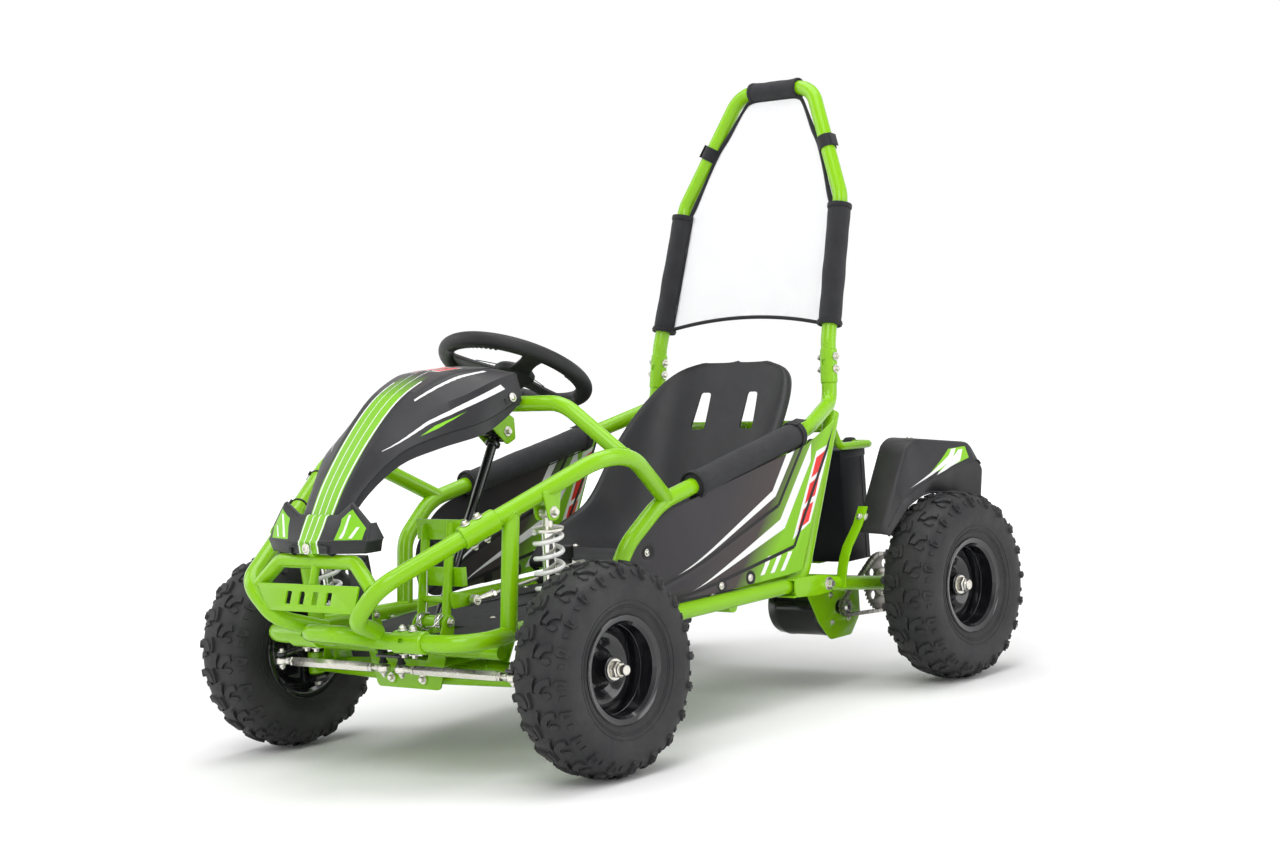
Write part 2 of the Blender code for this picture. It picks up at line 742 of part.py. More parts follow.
# Half sections of the hood: y from the front axle, then points (x, z) from the ridge to the skirt's edge
HOOD_STATIONS = [
    (-0.2535, (0, 0.2125), (0.028, 0.2115), (0.038, 0.2090), (0.042, 0.2060), (0.042, 0.1995)),
    (-0.236, (0, 0.227), (0.028, 0.225), (0.041, 0.220), (0.047, 0.213), (0.047, 0.199)),
    (-0.191, (0, 0.297), (0.030, 0.295), (0.044, 0.289), (0.054, 0.281), (0.055, 0.264)),
    (-0.131, (0, 0.365), (0.036, 0.362), (0.055, 0.350), (0.080, 0.335), (0.082, 0.317)),
    (-0.066, (0, 0.420), (0.044, 0.415), (0.071, 0.391), (0.104, 0.358), (0.107, 0.338)),
    (0.004, (0, 0.450), (0.056, 0.444), (0.101, 0.415), (0.127, 0.372), (0.130, 0.352)),
    (0.050, (0, 0.455), (0.064, 0.450), (0.118, 0.432), (0.131, 0.386), (0.133, 0.370)),
    (0.096, (0, 0.454), (0.070, 0.450), (0.125, 0.440), (0.133, 0.408), (0.134, 0.400)),
]

# The winged nose, from its wing tip to the middle: x, distance ahead, and the height of its brow
NOSE_Y = -0.234
NOSE_COLUMNS = [
    (0.112, 0.030, 0.240),
    (0.110, 0.000, 0.240),
    (0.078, -0.010, 0.272),
    (0.045, -0.016, 0.252),
    (0.000, -0.020, 0.252),
]
NOSE_BOTTOM = 0.199
NOSE_LIP = 0.217
HOOD_TAB_X = 0.1195
HOOD_TAB = [(0.060, 0.388), (0.060, 0.404), (0.092, 0.408), (0.092, 0.392)]
HOOD_TAB_WIDTH = 0.026


def make_hood():
    """The faceted fairing over the steering, with its winged nose."""
    rows = []
    for y, *half in HOOD_STATIONS:
        full = [(-x, z) for x, z in reversed(half[1:])] + half
        rows.append([front(x, y, z) for x, z in full])
    body = skin(rows, SHEET)
    heights = []
    for x, ahead, brow in NOSE_COLUMNS:
        bottom = front(x * 0.94, NOSE_Y + ahead, NOSE_BOTTOM)
        lip = front(x, NOSE_Y + ahead, NOSE_LIP)
        heights.append([bottom, lip, front(x * 0.97, NOSE_Y + 0.012 + ahead * 0.4, brow)])
    rows = []
    for level in range(3):
        left = [points[level] for points in heights]
        rows.append(left + mirrored(left)[len(left) + 1:])
    join(body, skin(rows, SHEET))
    for x in (-HOOD_TAB_X, HOOD_TAB_X):
        join(body, plate([HOOD_TAB], HOOD_TAB_WIDTH, "YZ", front(x, 0, 0)))
    cut(body, fat(dash_path(), DASH_TUBE))
    piece("hood", body, BLACK_PLASTIC)


def waist_line(y_from_rear):
    """The height and the side position of the waist tube's long straight run."""
    ahead, behind = front(0.261, 0.258, 0.227), rear(0.243, -0.224, 0.298)
    share = (REAR_AXLE_Y + y_from_rear - ahead.y) / (behind.y - ahead.y)
    return ahead.lerp(behind, share)


def make_side_panel(name, side):
    """The plastic panel between the side rail and the waist tube."""
    clear = PAD_RADIUS + 0.003
    bottoms = [
        front(0.237, 0.199, 0.073),
        front(0.240, 0.236, 0.057),
        front(0.250, 0.284, 0.056),
        front(0.265, 0.354, 0.057),
        rear(0.269, -0.464, 0.058),
        rear(0.270, -0.384, 0.060),
        rear(0.271, -0.329, 0.062),
        rear(0.272, -0.318, 0.063),
    ]
    tops = [
        front(0.237, 0.197, 0.107),
        front(0.240, 0.212, 0.147),
        front(0.250, 0.262, 0.178),
    ]
    for y in (-0.574, -0.454, -0.354, -0.264):
        point = waist_line(y)
        tops.append(Vector((0.268, point.y, point.z - clear)))
    tops.append(rear(0.2715, -0.196, 0.296))
    rows = []
    for share in (0.0, 0.5, 1.0):
        row = []
        for low, high in zip(bottoms, tops):
            point = low.lerp(high, share)
            row.append(Vector((side * point.x, point.y, point.z)))
        rows.append(row)
    shape = skin(rows, SHEET)
    cut(shape, fat(waist_path(side)), fat(rail_path(side)))
    piece(f"side_panel_{name}", shape, BLACK_PLASTIC)


def pad_run(side):
    start, end = waist_line(-0.562), waist_line(-0.258)
    return [Vector((side * point.x, point.y, point.z)) for point in (start, end)]


def make_side_pad(name, side):
    start, end = pad_run(side)
    shape = tube([start, end], PAD_RADIUS, 10)
    bore = loose([toward(start, end, -0.02), toward(end, start, -0.02)])
    piece(f"side_pad_{name}", cut(shape, bore), FOAM)


def make_floor_pan():
    left = [(0.180, -0.118), (0.180, 0.060), (0.232, 0.264)]
    rear_edge = rear(0, -0.404, 0).y - FRONT_AXLE_Y
    outline = left + [(0.232, rear_edge), (-0.232, rear_edge)] + [(-x, y) for x, y in reversed(left)]
    slot = [(-0.024, -0.030), (0.024, -0.030), (0.024, 0.045), (-0.024, 0.045)]
    pedal = [(0.005, -0.090), (0.095, -0.090), (0.095, -0.034), (0.005, -0.034)]
    throttle = [(-0.110, -0.096), (-0.060, -0.096), (-0.060, -0.034), (-0.110, -0.034)]
    leg = [(0.094, 0.166), (0.106, 0.166), (0.106, 0.194), (0.094, 0.194)]
    middle = front(0, 0, FLOOR_Z + FLOOR_THICKNESS / 2)
    shape = plate([outline], FLOOR_THICKNESS, "XY", middle)
    for hole in (slot, pedal, throttle, leg):
        cut(shape, plate([hole], 0.02, "XY", middle))
    cut(shape, *(fat(rail_path(side)) for side in (1, -1)))
    piece("floor_pan", shape, CHEQUER)


SEAT_STATIONS = [
    (-0.536, 0.102, 0.128, 0.006),
    (-0.522, 0.118, 0.138, 0.014),
    (-0.484, 0.117, 0.148, 0.028),
    (-0.424, 0.103, 0.155, 0.048),
    (-0.354, 0.092, 0.160, 0.072),
    (-0.294, 0.097, 0.165, 0.090),
    (-0.249, 0.130, 0.170, 0.095),
    (-0.214, 0.185, 0.172, 0.082),
    (-0.179, 0.255, 0.172, 0.066),
    (-0.144, 0.325, 0.163, 0.044),
    (-0.119, 0.380, 0.128, 0.016),
    (-0.107, 0.406, 0.090, 0.004),
]


SEAT_FEET = [
    (-0.088, -0.352, 0.0518, 0.100),
    (0.088, -0.352, 0.0518, 0.100),
    (-0.088, -0.474, 0.0438, 0.120),
    (0.088, -0.474, 0.0438, 0.120),
]


def make_seat():
    """The bucket seat: its sides rise from the centre line's profile."""
    shares = [-1, -0.9, -0.72, -0.4, 0, 0.4, 0.72, 0.9, 1]
    rows = []
    for index, (y, z, half_width, rise) in enumerate(SEAT_STATIONS):
        before = SEAT_STATIONS[max(index - 1, 0)]
        after = SEAT_STATIONS[min(index + 1, len(SEAT_STATIONS) - 1)]
        along = Vector((0, after[0] - before[0], after[1] - before[1])).normalized()
        inward = Vector((0, -along.z, along.y))
        centre = rear(0, y, z)
        row = []
        for share in shares:
            row.append(centre + X_AXIS * share * half_width + inward * rise * abs(share) ** 4)
        rows.append(row)
    shape = skin(rows, 0.004)
    for side in (-1, 1):
        slot = [(side * 0.040, 0.293), (side * 0.072, 0.293), (side * 0.066, 0.357), (side * 0.042, 0.357)]
        cut(shape, plate([slot], 0.120, "XZ", rear(0, -0.140, 0)))
    for x, y, low, high in SEAT_FEET:
        join(shape, block(rear(x, y, (low + high) / 2), (0.028, 0.022, high - low)))
    piece("seat", shape, BLACK_PLASTIC)


def make_battery_box():
    """The sheet-metal box behind the seat, with its cable hole."""
    middle = rear(0, (BOX_FRONT + BOX_REAR) / 2, (BOX_BOTTOM + BOX_TOP) / 2)
    size = Vector((BOX_WIDTH, BOX_REAR - BOX_FRONT, BOX_TOP - BOX_BOTTOM))
    inner = size - Vector((2, 2, 2)) * BOX_WALL
    hole = rod(rear(-0.15, -0.029, BOX_BOTTOM - 0.01), rear(-0.15, -0.029, BOX_BOTTOM + 0.01), 0.010)
    piece("battery_box", cut(block(middle, size), block(middle, inner), hole), BLACK_PAINT)


def make_battery_pack():
    """Four lead batteries, two by two, strapped as one pack."""
    centre_z = BOX_BOTTOM + BOX_WALL + GAP + 0.094
    centre = rear(0.030, (BOX_FRONT + BOX_REAR) / 2, centre_z)
    shape = block(centre, (0.302, 0.065, 0.188))
    for size in ((0.002, 0.004, 0.4), (0.4, 0.004, 0.002)):
        cut(shape, block(centre + Vector((0, 0.033, 0)), size))
    piece("battery_pack", shape, BLACK_PLASTIC)


def make_controller():
    """The finned speed controller beside the batteries."""
    floor = BOX_BOTTOM + BOX_WALL + GAP
    centre = rear(-0.157, (BOX_FRONT + BOX_REAR) / 2, floor + 0.105)
    shape = block(centre, (0.052, 0.060, 0.120))
    for index in range(5):
        groove = centre + Vector((0.0, -0.030, -0.044 + index * 0.022))
        cut(shape, block(groove, (0.1, 0.016, 0.010)))
    foot = block(rear(-0.157, (BOX_FRONT + BOX_REAR) / 2, floor + 0.0235), (0.012, 0.030, 0.047))
    piece("controller", join(shape, foot), ZINC)


def make_hoop_net():
    """The head net: a panel between padded sleeves round the roll hoop."""
    path = hoop_path()
    low, high = rear(0.193, -0.076, 0.466), rear(0.181, -0.0014, 0.697)
    bore = (FRAME_TUBE + GAP) / cos(pi / 10)
    end = toward(low, high, 0.228)
    panel = [(0.188, 0.010), (0.178, 0.232), (0.156, 0.292), (0.092, 0.425), (0.060, 0.447)]
    outline = panel + [(-x, z) for x, z in reversed(panel)]
    lean = Matrix.Rotation(-math.atan2(high.y - low.y, high.z - low.z), 4, "X")
    shape = plate([outline], SHEET, "XZ", Vector((0, 0, 0)))
    shape.data.transform(Matrix.Translation(Vector((0, low.y, low.z))) @ lean)
    for side in (1, -1):
        ends = [Vector((side * point.x, point.y, point.z)) for point in (low, end)]
        join(shape, tube(ends, 0.0205))
    top = [rear(-0.050, 0.0645, 0.901), rear(0.050, 0.0645, 0.901)]
    join(shape, tube(top, 0.0200))
    cut(shape, tube(path, bore))
    piece("hoop_net", shape, FABRIC)


# Steering


def make_steering_wheel(pivot):
    centre = column(WHEEL_ALONG_COLUMN)
    turn = Matrix.Rotation(-COLUMN_TILT, 3, "X")
    ring = []
    for step in range(SMALL_SIDES):
        angle = 2 * pi * (step + 0.5) / SMALL_SIDES
        reach = STEERING_GRIP_RADIUS * cos(angle)
        ring.append((STEERING_WHEEL_RADIUS + reach, STEERING_GRIP_RADIUS * sin(angle)))
    shape = lathe(ring, centre, COLUMN_AXIS, 24)
    for degrees_round in (90, 210, 330):
        spoke_turn = turn @ Matrix.Rotation(radians(degrees_round), 3, "Z")
        middle = centre + spoke_turn @ Vector(((STEERING_WHEEL_RADIUS + 0.025) / 2, 0, -0.003))
        join(shape, block(middle, (STEERING_WHEEL_RADIUS - 0.025, 0.030, 0.006), spoke_turn))
    join(shape, rod(centre - COLUMN_AXIS * 0.022, centre + COLUMN_AXIS * 0.006, 0.034, 14))
    bore = rod(centre - COLUMN_AXIS * 0.05, centre - COLUMN_AXIS * 0.004, COLUMN_RADIUS + GAP * 2, 12)
    piece("steering_wheel", cut(shape, bore), FOAM, pivot)


def make_steering_column(pivot):
    """The column and the pitman arm at its foot, which pulls the tie rods."""
    shape = rod(column(-0.073), column(WHEEL_ALONG_COLUMN - 0.005), COLUMN_RADIUS)
    join(shape, rod(column(-0.074), column(LOWER_BEARING - 0.0135), 0.0125))
    for along in (UPPER_BEARING - 0.022, UPPER_BEARING + 0.022):
        join(shape, rod(column(along - 0.004), column(along + 0.004), 0.0125))
    tip = -STEERING_ARM - 0.011
    arm = [(-0.012, -0.004), (-0.011, tip + 0.038), (-0.028, tip + 0.022), (-0.028, tip)]
    outline = arm + [(-x, y) for x, y in reversed(arm)]
    hole_x = TIE_ROD_INNER_X - 0.002
    holes = [circle((x, -STEERING_ARM), 0.0045, 6) for x in (-hole_x, hole_x)]
    join(shape, plate([outline] + holes, PITMAN_THICKNESS, "XY", front(0, 0, PITMAN_Z)))
    piece("steering_column", shape, BLACK_PAINT, pivot)


# Front suspension


def make_front_arm(name, side, pivot):
    """The A-arm: a pivot tube, two legs, the kingpin's boss and the shock absorber's ears."""
    start = front(side * ARM_PIVOT_X, ARM_PIVOT_FRONT + 0.001, ARM_PIVOT_Z)
    end = front(side * ARM_PIVOT_X, ARM_PIVOT_REAR - 0.001, ARM_PIVOT_Z)
    boss = front(side * (KINGPIN_X - 0.002), 0, -0.025)
    shape = rod(start, end, 0.0115)
    for y in (-0.046, 0.074):
        join(shape, tube([front(side * ARM_PIVOT_X, y, ARM_PIVOT_Z), boss], ARM_TUBE, 8))
    post = front(side * KINGPIN_X, 0, 0)
    join(shape, rod(post + Vector((0, 0, -0.040)), post + Vector((0, 0, -0.004)), 0.0135))
    foot = front(side * FRONT_SHOCK_FOOT[0], FRONT_SHOCK_FOOT[1], FRONT_SHOCK_FOOT[2])
    join(shape, *shock_tabs(foot, -1, 0.036))
    bore = (ARM_PIN + RUNNING_GAP) / cos(pi / ROD_SIDES)
    cut(shape, rod(start + Vector((0, -0.02, 0)), end + Vector((0, 0.02, 0)), bore))
    king_bore = (KINGPIN_RADIUS + RUNNING_GAP) / cos(pi / ROD_SIDES)
    cut(shape, rod(post + Vector((0, 0, -0.08)), post + Vector((0, 0, 0.08)), king_bore))
    piece(f"front_arm_{name}", shape, GREEN, pivot)


def make_knuckle(name, side, pivot):
    """The yoke round the arm's boss, with its kingpin, stub axle and steering arm."""
    post = front(side * KINGPIN_X, 0, 0)
    out = Vector((side, 0, 0))
    shape = block(post + out * 0.0200 + Vector((0, 0, -0.022)), (0.009, 0.034, 0.062))
    for z in (0.0030, -0.0470):
        join(shape, block(post + out * 0.0040 + Vector((0, 0, z)), (0.040, 0.030, 0.012)))
    join(shape, rod(post + Vector((0, 0, -0.050)), post + Vector((0, 0, 0.006)), KINGPIN_RADIUS))
    spindle = post + out * 0.018
    wheel = front(side * FRONT_TRACK / 2, 0, 0)
    join(shape, rod(spindle, wheel + out * 0.046, SPINDLE_RADIUS))
    join(shape, rod(spindle, wheel - out * (0.021 + GAP), 0.0130))
    ball = front(side * TIE_ROD_OUTER_X, -STEERING_ARM, 0)
    ball_x, tip_y = TIE_ROD_OUTER_X, -STEERING_ARM - 0.010
    corners = [(KINGPIN_X - 0.010, 0.0), (KINGPIN_X + 0.014, 0.0), (ball_x + 0.012, -STEERING_ARM)]
    corners += [(ball_x + 0.008, tip_y), (ball_x - 0.008, tip_y), (ball_x - 0.012, -STEERING_ARM)]
    outline = [(side * x, y) for x, y in corners]
    join(shape, plate([outline], 0.006, "XY", front(0, 0, 0.0090)))
    join(shape, rod(ball + Vector((0, 0, TIE_ROD_Z - 0.012)), ball + Vector((0, 0, 0.0090)), 0.0040))
    piece(f"knuckle_{name}", shape, BLACK_PAINT, pivot)


def make_tie_rod(name, side, pivot):
    outer = front(side * TIE_ROD_OUTER_X, -STEERING_ARM, TIE_ROD_Z)
    inner = front(side * TIE_ROD_INNER_X, -STEERING_ARM, TIE_ROD_Z)
    shape = rod(toward(outer, inner, 0.034), toward(inner, outer, 0.034), TIE_ROD_RADIUS, 8)
    for eye, other in ((outer, inner), (inner, outer)):
        join(shape, rod(toward(eye, other, 0.004), toward(eye, other, 0.040), 0.0045, 6))
        join(shape, rod(eye - Vector((0, 0, 0.0060)), eye + Vector((0, 0, 0.0060)), 0.0105, 8))
        bore = 0.0040 + RUNNING_GAP
        cut(shape, rod(eye - Vector((0, 0, 0.02)), eye + Vector((0, 0, 0.02)), bore / cos(pi / 8), 8))
    piece(f"tie_rod_{name}", shape, ZINC, pivot)


SEAT_FROM_EYE = 0.026
SEAT_HALF = 0.0020
ROD_END_SHARE = 0.42


def make_shock(names, top, foot, turns, body_pivot, looks):
    """A damper body with its upper spring seat, a rod with the lower one, and the spring between them."""
    axis = (foot - top).normalized()
    length = (foot - top).length
    flange = SPRING_RADIUS + SPRING_WIRE + 0.0005
    half_eye = X_AXIS * (EYE_WIDTH / 2)
    body = rod(top - half_eye, top + half_eye, EYE_RADIUS, 8)
    tube_end = top + axis * length * 0.60
    upper_seat = top + axis * SEAT_FROM_EYE
    join(body, rod(top + axis * 0.006, upper_seat, 0.0080, 8))
    join(body, rod(upper_seat - axis * SEAT_HALF, upper_seat + axis * SEAT_HALF, flange, 12))
    join(body, rod(top + axis * (SEAT_FROM_EYE - 0.004), tube_end, DAMPER_RADIUS, 8))
    bore = (DAMPER_ROD + RUNNING_GAP) / cos(pi / ROD_SIDES)
    bore_top = top + axis * (SEAT_FROM_EYE + 0.012)
    cut(body, rod(bore_top, tube_end + axis * 0.02, bore))
    cut(body, rod(top - X_AXIS * 0.03, top + X_AXIS * 0.03, 0.0042, 6))
    piece(names[0], body, looks[0], body_pivot)
    slider = rod(foot - half_eye, foot + half_eye, EYE_RADIUS, 8)
    join(slider, rod(foot - axis * 0.006, top + axis * length * ROD_END_SHARE, DAMPER_ROD, 8))
    seat = foot - axis * SEAT_FROM_EYE
    join(slider, rod(seat - axis * SEAT_HALF, seat + axis * SEAT_HALF, flange, 12))
    join(slider, rod(seat, foot - axis * 0.006, 0.0080, 8))
    cut(slider, rod(foot - X_AXIS * 0.03, foot + X_AXIS * 0.03, 0.0042, 6))
    piece(names[1], slider, looks[0], body_pivot)
    room = SEAT_HALF + GAP + SPRING_WIRE
    start = upper_seat + axis * room
    end = seat - axis * room
    piece(names[2], coil(names[2], start, end, turns), looks[1], body_pivot)


def coil(name, start, end, turns):
    """A helical spring as one unbroken wire. It prints the least gap between its turns."""
    steps = COIL_STEPS
    axis = end - start
    across = axis.orthogonal().normalized()
    other = axis.normalized().cross(across)
    count = round(turns * steps)
    points = []
    for step in range(count + 1):
        share = step / count
        angle = 2 * pi * turns * share
        points.append(start + axis * share + (across * cos(angle) + other * sin(angle)) * SPRING_RADIUS)
    least = min(
        (points[a] - points[b]).length - 2 * SPRING_WIRE
        for a in range(count + 1)
        for b in range(a + steps - 2, count + 1)
    )
    print(f"{name}: least gap between turns {least * 1000:.2f} mm")
    return tube(points, SPRING_WIRE, SMALL_SIDES)


# Wheels


def tyre_mesh(side):
    """A tyre turned about X, with rows of lugs that stand out from its crown and shoulders."""
    half = TYRE_WIDTH / 2
    bead = RIM_WIDTH / 2 - 0.003 - GAP
    section = [
        (bead, (RIM_FLANGE_RADIUS - 0.0115 + GAP) / cos(radians(LUG_HALF_ANGLE))),
        (bead, RIM_FLANGE_RADIUS + 0.006),
        (half, RIM_FLANGE_RADIUS + 0.050),
        (half * 0.62, TYRE_RADIUS),
    ]
    ring = section + [(-x, radius) for x, radius in reversed(section)]
    shape = bmesh.new()
    rings = []
    for pitch in range(TREAD_PITCHES):
        centre = 360 / TREAD_PITCHES * pitch
        angles = (centre - LUG_HALF_ANGLE, centre + LUG_HALF_ANGLE, centre + 180 / TREAD_PITCHES)
        for kind, angle in enumerate(angles):
            turn = radians(angle)
            verts = []
            for index, (x, radius) in enumerate(ring):
                crown = index in (3, 4)
                groove = (index in (2, 3, 4) and kind == 2) or (index == 5 and kind == 0)
                reach = radius - (TREAD_DEPTH if groove else 0)
                if crown and not groove:
                    reach = radius / cos(radians(LUG_HALF_ANGLE))
                verts.append(shape.verts.new((side * x, reach * cos(turn), reach * sin(turn))))
            rings.append(verts)
    for one, two in zip(rings, rings[1:] + rings[:1]):
        for index in range(len(ring)):
            following = (index + 1) % len(ring)
            shape.faces.new((one[index], one[following], two[following], two[index]))
    return from_bmesh(shape)


def rim_profile():
    """A deep-dish rim's section: (radius, distance outward from the wheel's middle)."""
    edge = RIM_WIDTH / 2
    barrel = RIM_FLANGE_RADIUS - 0.0115
    wall = 0.0035
    bore = max(SPINDLE_RADIUS, AXLE_RADIUS) + 0.0005
    return [
        (RIM_FLANGE_RADIUS, edge),
        (barrel, edge - 0.003),
        (barrel, -edge + 0.003),
        (RIM_FLANGE_RADIUS, -edge),
        (barrel - wall, -edge),
        (barrel - wall, -0.012),
        (0.026, -0.021),
        (bore, -0.021),
        (bore, 0.026),
        (0.021, 0.026),
        (0.027, -0.012),
        (barrel - wall, -0.006),
        (barrel - wall, edge),
    ]


def make_wheel(name, side, centre, pivot):
    tyre = tyre_mesh(side)
    tyre.location = centre
    piece(f"{name}_tyre", tyre, RUBBER, pivot)
    rim = lathe(rim_profile(), centre, (side, 0, 0), RIM_STEPS)
    piece(f"{name}_rim", rim, BLACK_PAINT, pivot)


# Rear drive


def swing_point(x, along):
    """A point on the swing arm's side tube: along is 0 at its pivot and 1 at the axle."""
    pivot = rear(x, SWING_PIVOT[1], SWING_PIVOT[2])
    return pivot.lerp(rear(x, 0, 0), along)


def make_swing_arm(pivot):
    """The rear fork: pivot bushes, side tubes, a cross tube, axle bearings, motor plate and fender stays."""
    cross = 0.27
    x = SWING_PIVOT[0]
    shape = tube([swing_point(-x, cross), swing_point(x, cross)], SWING_TUBE)
    for side in (1, -1):
        hinge = swing_point(side * x, 0)
        bush = Vector((BUSH_HALF - GAP, 0, 0))
        join(shape, rod(hinge - bush, hinge + bush, BUSH_RADIUS - 0.003))
        join(shape, tube([swing_point(side * x, 0.02), swing_point(side * x, 0.96)], SWING_TUBE))
        centre = rear(side * x, 0, 0)
        join(shape, rod(centre - X_AXIS * 0.015, centre + X_AXIS * 0.015, 0.028, 12))
        join(shape, *fender_stays(side))
        for place, radius in ((hinge, PIVOT_PIN), (centre, AXLE_RADIUS)):
            bore = (radius + RUNNING_GAP) / cos(pi / ROD_SIDES)
            cut(shape, rod(place - X_AXIS * 0.04, place + X_AXIS * 0.04, bore))
    y, z = MOTOR_CENTRE
    outline = [(y + 0.060, z - 0.020), (y + 0.060, z + 0.030), (y + 0.020, z + 0.054)]
    outline += [(y - 0.070, z + 0.068), (y - 0.092, z + 0.062), (y - 0.092, z + 0.040)]
    outline += [(y - 0.060, z - 0.020), (y - 0.030, z - 0.054), (y + 0.030, z - 0.054)]
    shaft_hole = circle((y, z), 0.0125, 10)
    join(shape, plate([outline, shaft_hole], THICK_SHEET, "YZ", rear(MOTOR_PLATE_X, 0, 0)))
    foot = rear(*REAR_SHOCK_FOOT)
    ear = [(-0.013, 0.004), (0, 0.013), (0.013, 0.004), (0.002, -0.036), (-0.030, -0.036)]
    for half in (-1, 1):
        level = half * (EYE_WIDTH / 2 + 0.002 + SHEET / 2)
        join(shape, plate([ear], SHEET, "YZ", foot + Vector((level, 0, 0))))
    piece("swing_arm", shape, GREEN, pivot)


STAY_WIDTH = 0.020


def fender_stays(side):
    """The curved strip to the fender's flap, and the upright one to its top."""
    foot, top = (Vector(fender_point(*FENDER_STATIONS[index][0])[1:]) for index in (0, 1))
    along = (top - foot).normalized()
    out = Vector((-along.y, along.x))
    near, far = SHEET / 2 + RUNNING_GAP, SHEET / 2 + RUNNING_GAP + SHEET
    ahead, crown = -TYRE_RADIUS, TYRE_RADIUS
    outer = [foot + along * 0.046 + out * far, foot + along * 0.014 + out * far]
    outer += [(ahead - 0.009, crown - 0.080), (ahead - 0.027, 0.050), (ahead - 0.033, 0.020)]
    inner = [(ahead - 0.029, 0.020), (ahead - 0.023, 0.048), (ahead - 0.006, crown - 0.084)]
    inner += [foot + along * 0.0155 + out * near, foot + along * 0.046 + out * near]
    outline = [tuple(point) for point in outer + inner]
    strip = [(-0.010, 0.010), (0.010, 0.010), (0.010, crown + 0.0815), (-0.010, crown + 0.0855)]
    curved = plate([outline], STAY_WIDTH, "YZ", rear(side * 0.272, 0, 0))
    return [curved, plate([strip], THICK_SHEET, "YZ", rear(side * 0.2755, 0, 0))]


def make_rear_axle(pivot):
    reach = REAR_TRACK / 2 + 0.034
    shape = rod(rear(-reach, 0, 0), rear(reach, 0, 0), AXLE_RADIUS, 16)
    for side in (1, -1):
        inner = rear(side * (SWING_PIVOT[0] + 0.0165), 0, 0)
        join(shape, rod(inner, rear(side * (REAR_TRACK / 2 - 0.0215), 0, 0), 0.0150))
    piece("rear_axle", shape, ZINC, pivot)


def pitch_radius(teeth):
    return CHAIN_PITCH / 2 / sin(pi / teeth)


def toothed(teeth, y, z):
    """A sprocket's outline round (y, z): a rounded root and a narrow tip for each tooth."""
    radius = pitch_radius(teeth)
    points = []
    for tooth in range(teeth):
        for share, rise in ((0.0, -0.0024), (0.5, 0.0024)):
            angle = 2 * pi * (tooth + share) / teeth
            points.append((y + (radius + rise) * cos(angle), z + (radius + rise) * sin(angle)))
    return points


HUB_HALF = 0.008
HUB_RADIUS = 0.018
AXLE_BORE = (AXLE_RADIUS + GAP) / cos(pi / 16)


def drive_hub(x):
    """The hub of a sprocket or a brake disc, and the cutter for its bore."""
    middle = rear(x, 0, 0)
    hub = rod(middle - X_AXIS * HUB_HALF, middle + X_AXIS * HUB_HALF, HUB_RADIUS, 16)
    return hub, rod(middle - X_AXIS * 0.02, middle + X_AXIS * 0.02, AXLE_BORE, 16)


def make_sprocket(pivot):
    axle_hole = circle((0, 0), AXLE_BORE)
    holes = []
    for index in range(5):
        angle = 2 * pi * index / 5
        holes.append(circle((0.034 * cos(angle), 0.034 * sin(angle)), 0.0080, 6))
    outlines = [toothed(SPROCKET_TEETH, 0, 0), axle_hole] + holes
    disc = plate(outlines, SPROCKET_THICKNESS, "YZ", rear(DRIVE_X, 0, 0))
    hub, bore = drive_hub(DRIVE_X)
    piece("sprocket", cut(join(disc, hub), bore), ZINC, pivot)


def make_motor(pivot):
    """The brushed motor: a drum with end ribs and a nose through the swing arm's plate."""
    y, z = MOTOR_CENTRE
    face = MOTOR_PLATE_X - 0.002 - GAP
    length = 0.120
    profile = [
        (0.0, face - length),
        (MOTOR_RADIUS - 0.010, face - length),
        (MOTOR_RADIUS - 0.002, face - length + 0.006),
        (MOTOR_RADIUS - 0.002, face - 0.092),
        (MOTOR_RADIUS, face - 0.092),
        (MOTOR_RADIUS, face - 0.022),
        (MOTOR_RADIUS - 0.002, face - 0.022),
        (MOTOR_RADIUS - 0.006, face),
        (0.0115, face),
        (0.0115, face + 0.006),
        (0.0, face + 0.006),
    ]
    shape = lathe(profile, rear(0, y, z), (1, 0, 0), 16)
    piece("motor", shape, BLACK_PAINT, pivot)


def make_motor_pinion(pivot):
    y, z = MOTOR_CENTRE
    disc = plate([toothed(PINION_TEETH, y, z)], SPROCKET_THICKNESS, "YZ", rear(DRIVE_X, 0, 0))
    shaft = rod(rear(MOTOR_PLATE_X + 0.0062, y, z), rear(DRIVE_X + 0.006, y, z), 0.0060)
    piece("motor_pinion", join(disc, shaft), ZINC, pivot)


def chain_line():
    """Stations on the chain's pitch line, round the sprocket then the pinion, with the outward direction."""
    large, small = pitch_radius(SPROCKET_TEETH), pitch_radius(PINION_TEETH)
    start, end = Vector((0, 0)), Vector(MOTOR_CENTRE)
    span = end - start
    heading = math.atan2(span.y, span.x)
    open_angle = math.acos((large - small) / span.length)
    stations = []
    for centre, radius, first, sweep, steps in (
        (start, large, heading + open_angle, 2 * pi - 2 * open_angle, 14),
        (end, small, heading - open_angle, 2 * open_angle, 6),
    ):
        for step in range(steps + 1):
            angle = first + sweep * step / steps
            out = Vector((cos(angle), sin(angle)))
            stations.append((centre + out * radius, out))
    return stations


def make_chain(pivot):
    """The roller chain's envelope: side plates each side of the teeth, closed outside them."""
    section = [(-0.0045, -0.0035), (-0.0045, 0.0045), (0.0045, 0.0045), (0.0045, -0.0035)]
    section += [(0.0029, -0.0035), (0.0029, 0.0031), (-0.0029, 0.0031), (-0.0029, -0.0035)]
    shape = bmesh.new()
    rings = []
    for place, out in chain_line():
        ring = []
        for across, rise in section:
            point = place + out * rise
            ring.append(shape.verts.new(rear(DRIVE_X + across, point.x, point.y)))
        rings.append(ring)
    for one, two in zip(rings, rings[1:] + rings[:1]):
        for index in range(len(section)):
            following = (index + 1) % len(section)
            shape.faces.new((one[index], one[following], two[following], two[index]))
    piece("chain", from_bmesh(shape), ZINC, pivot)


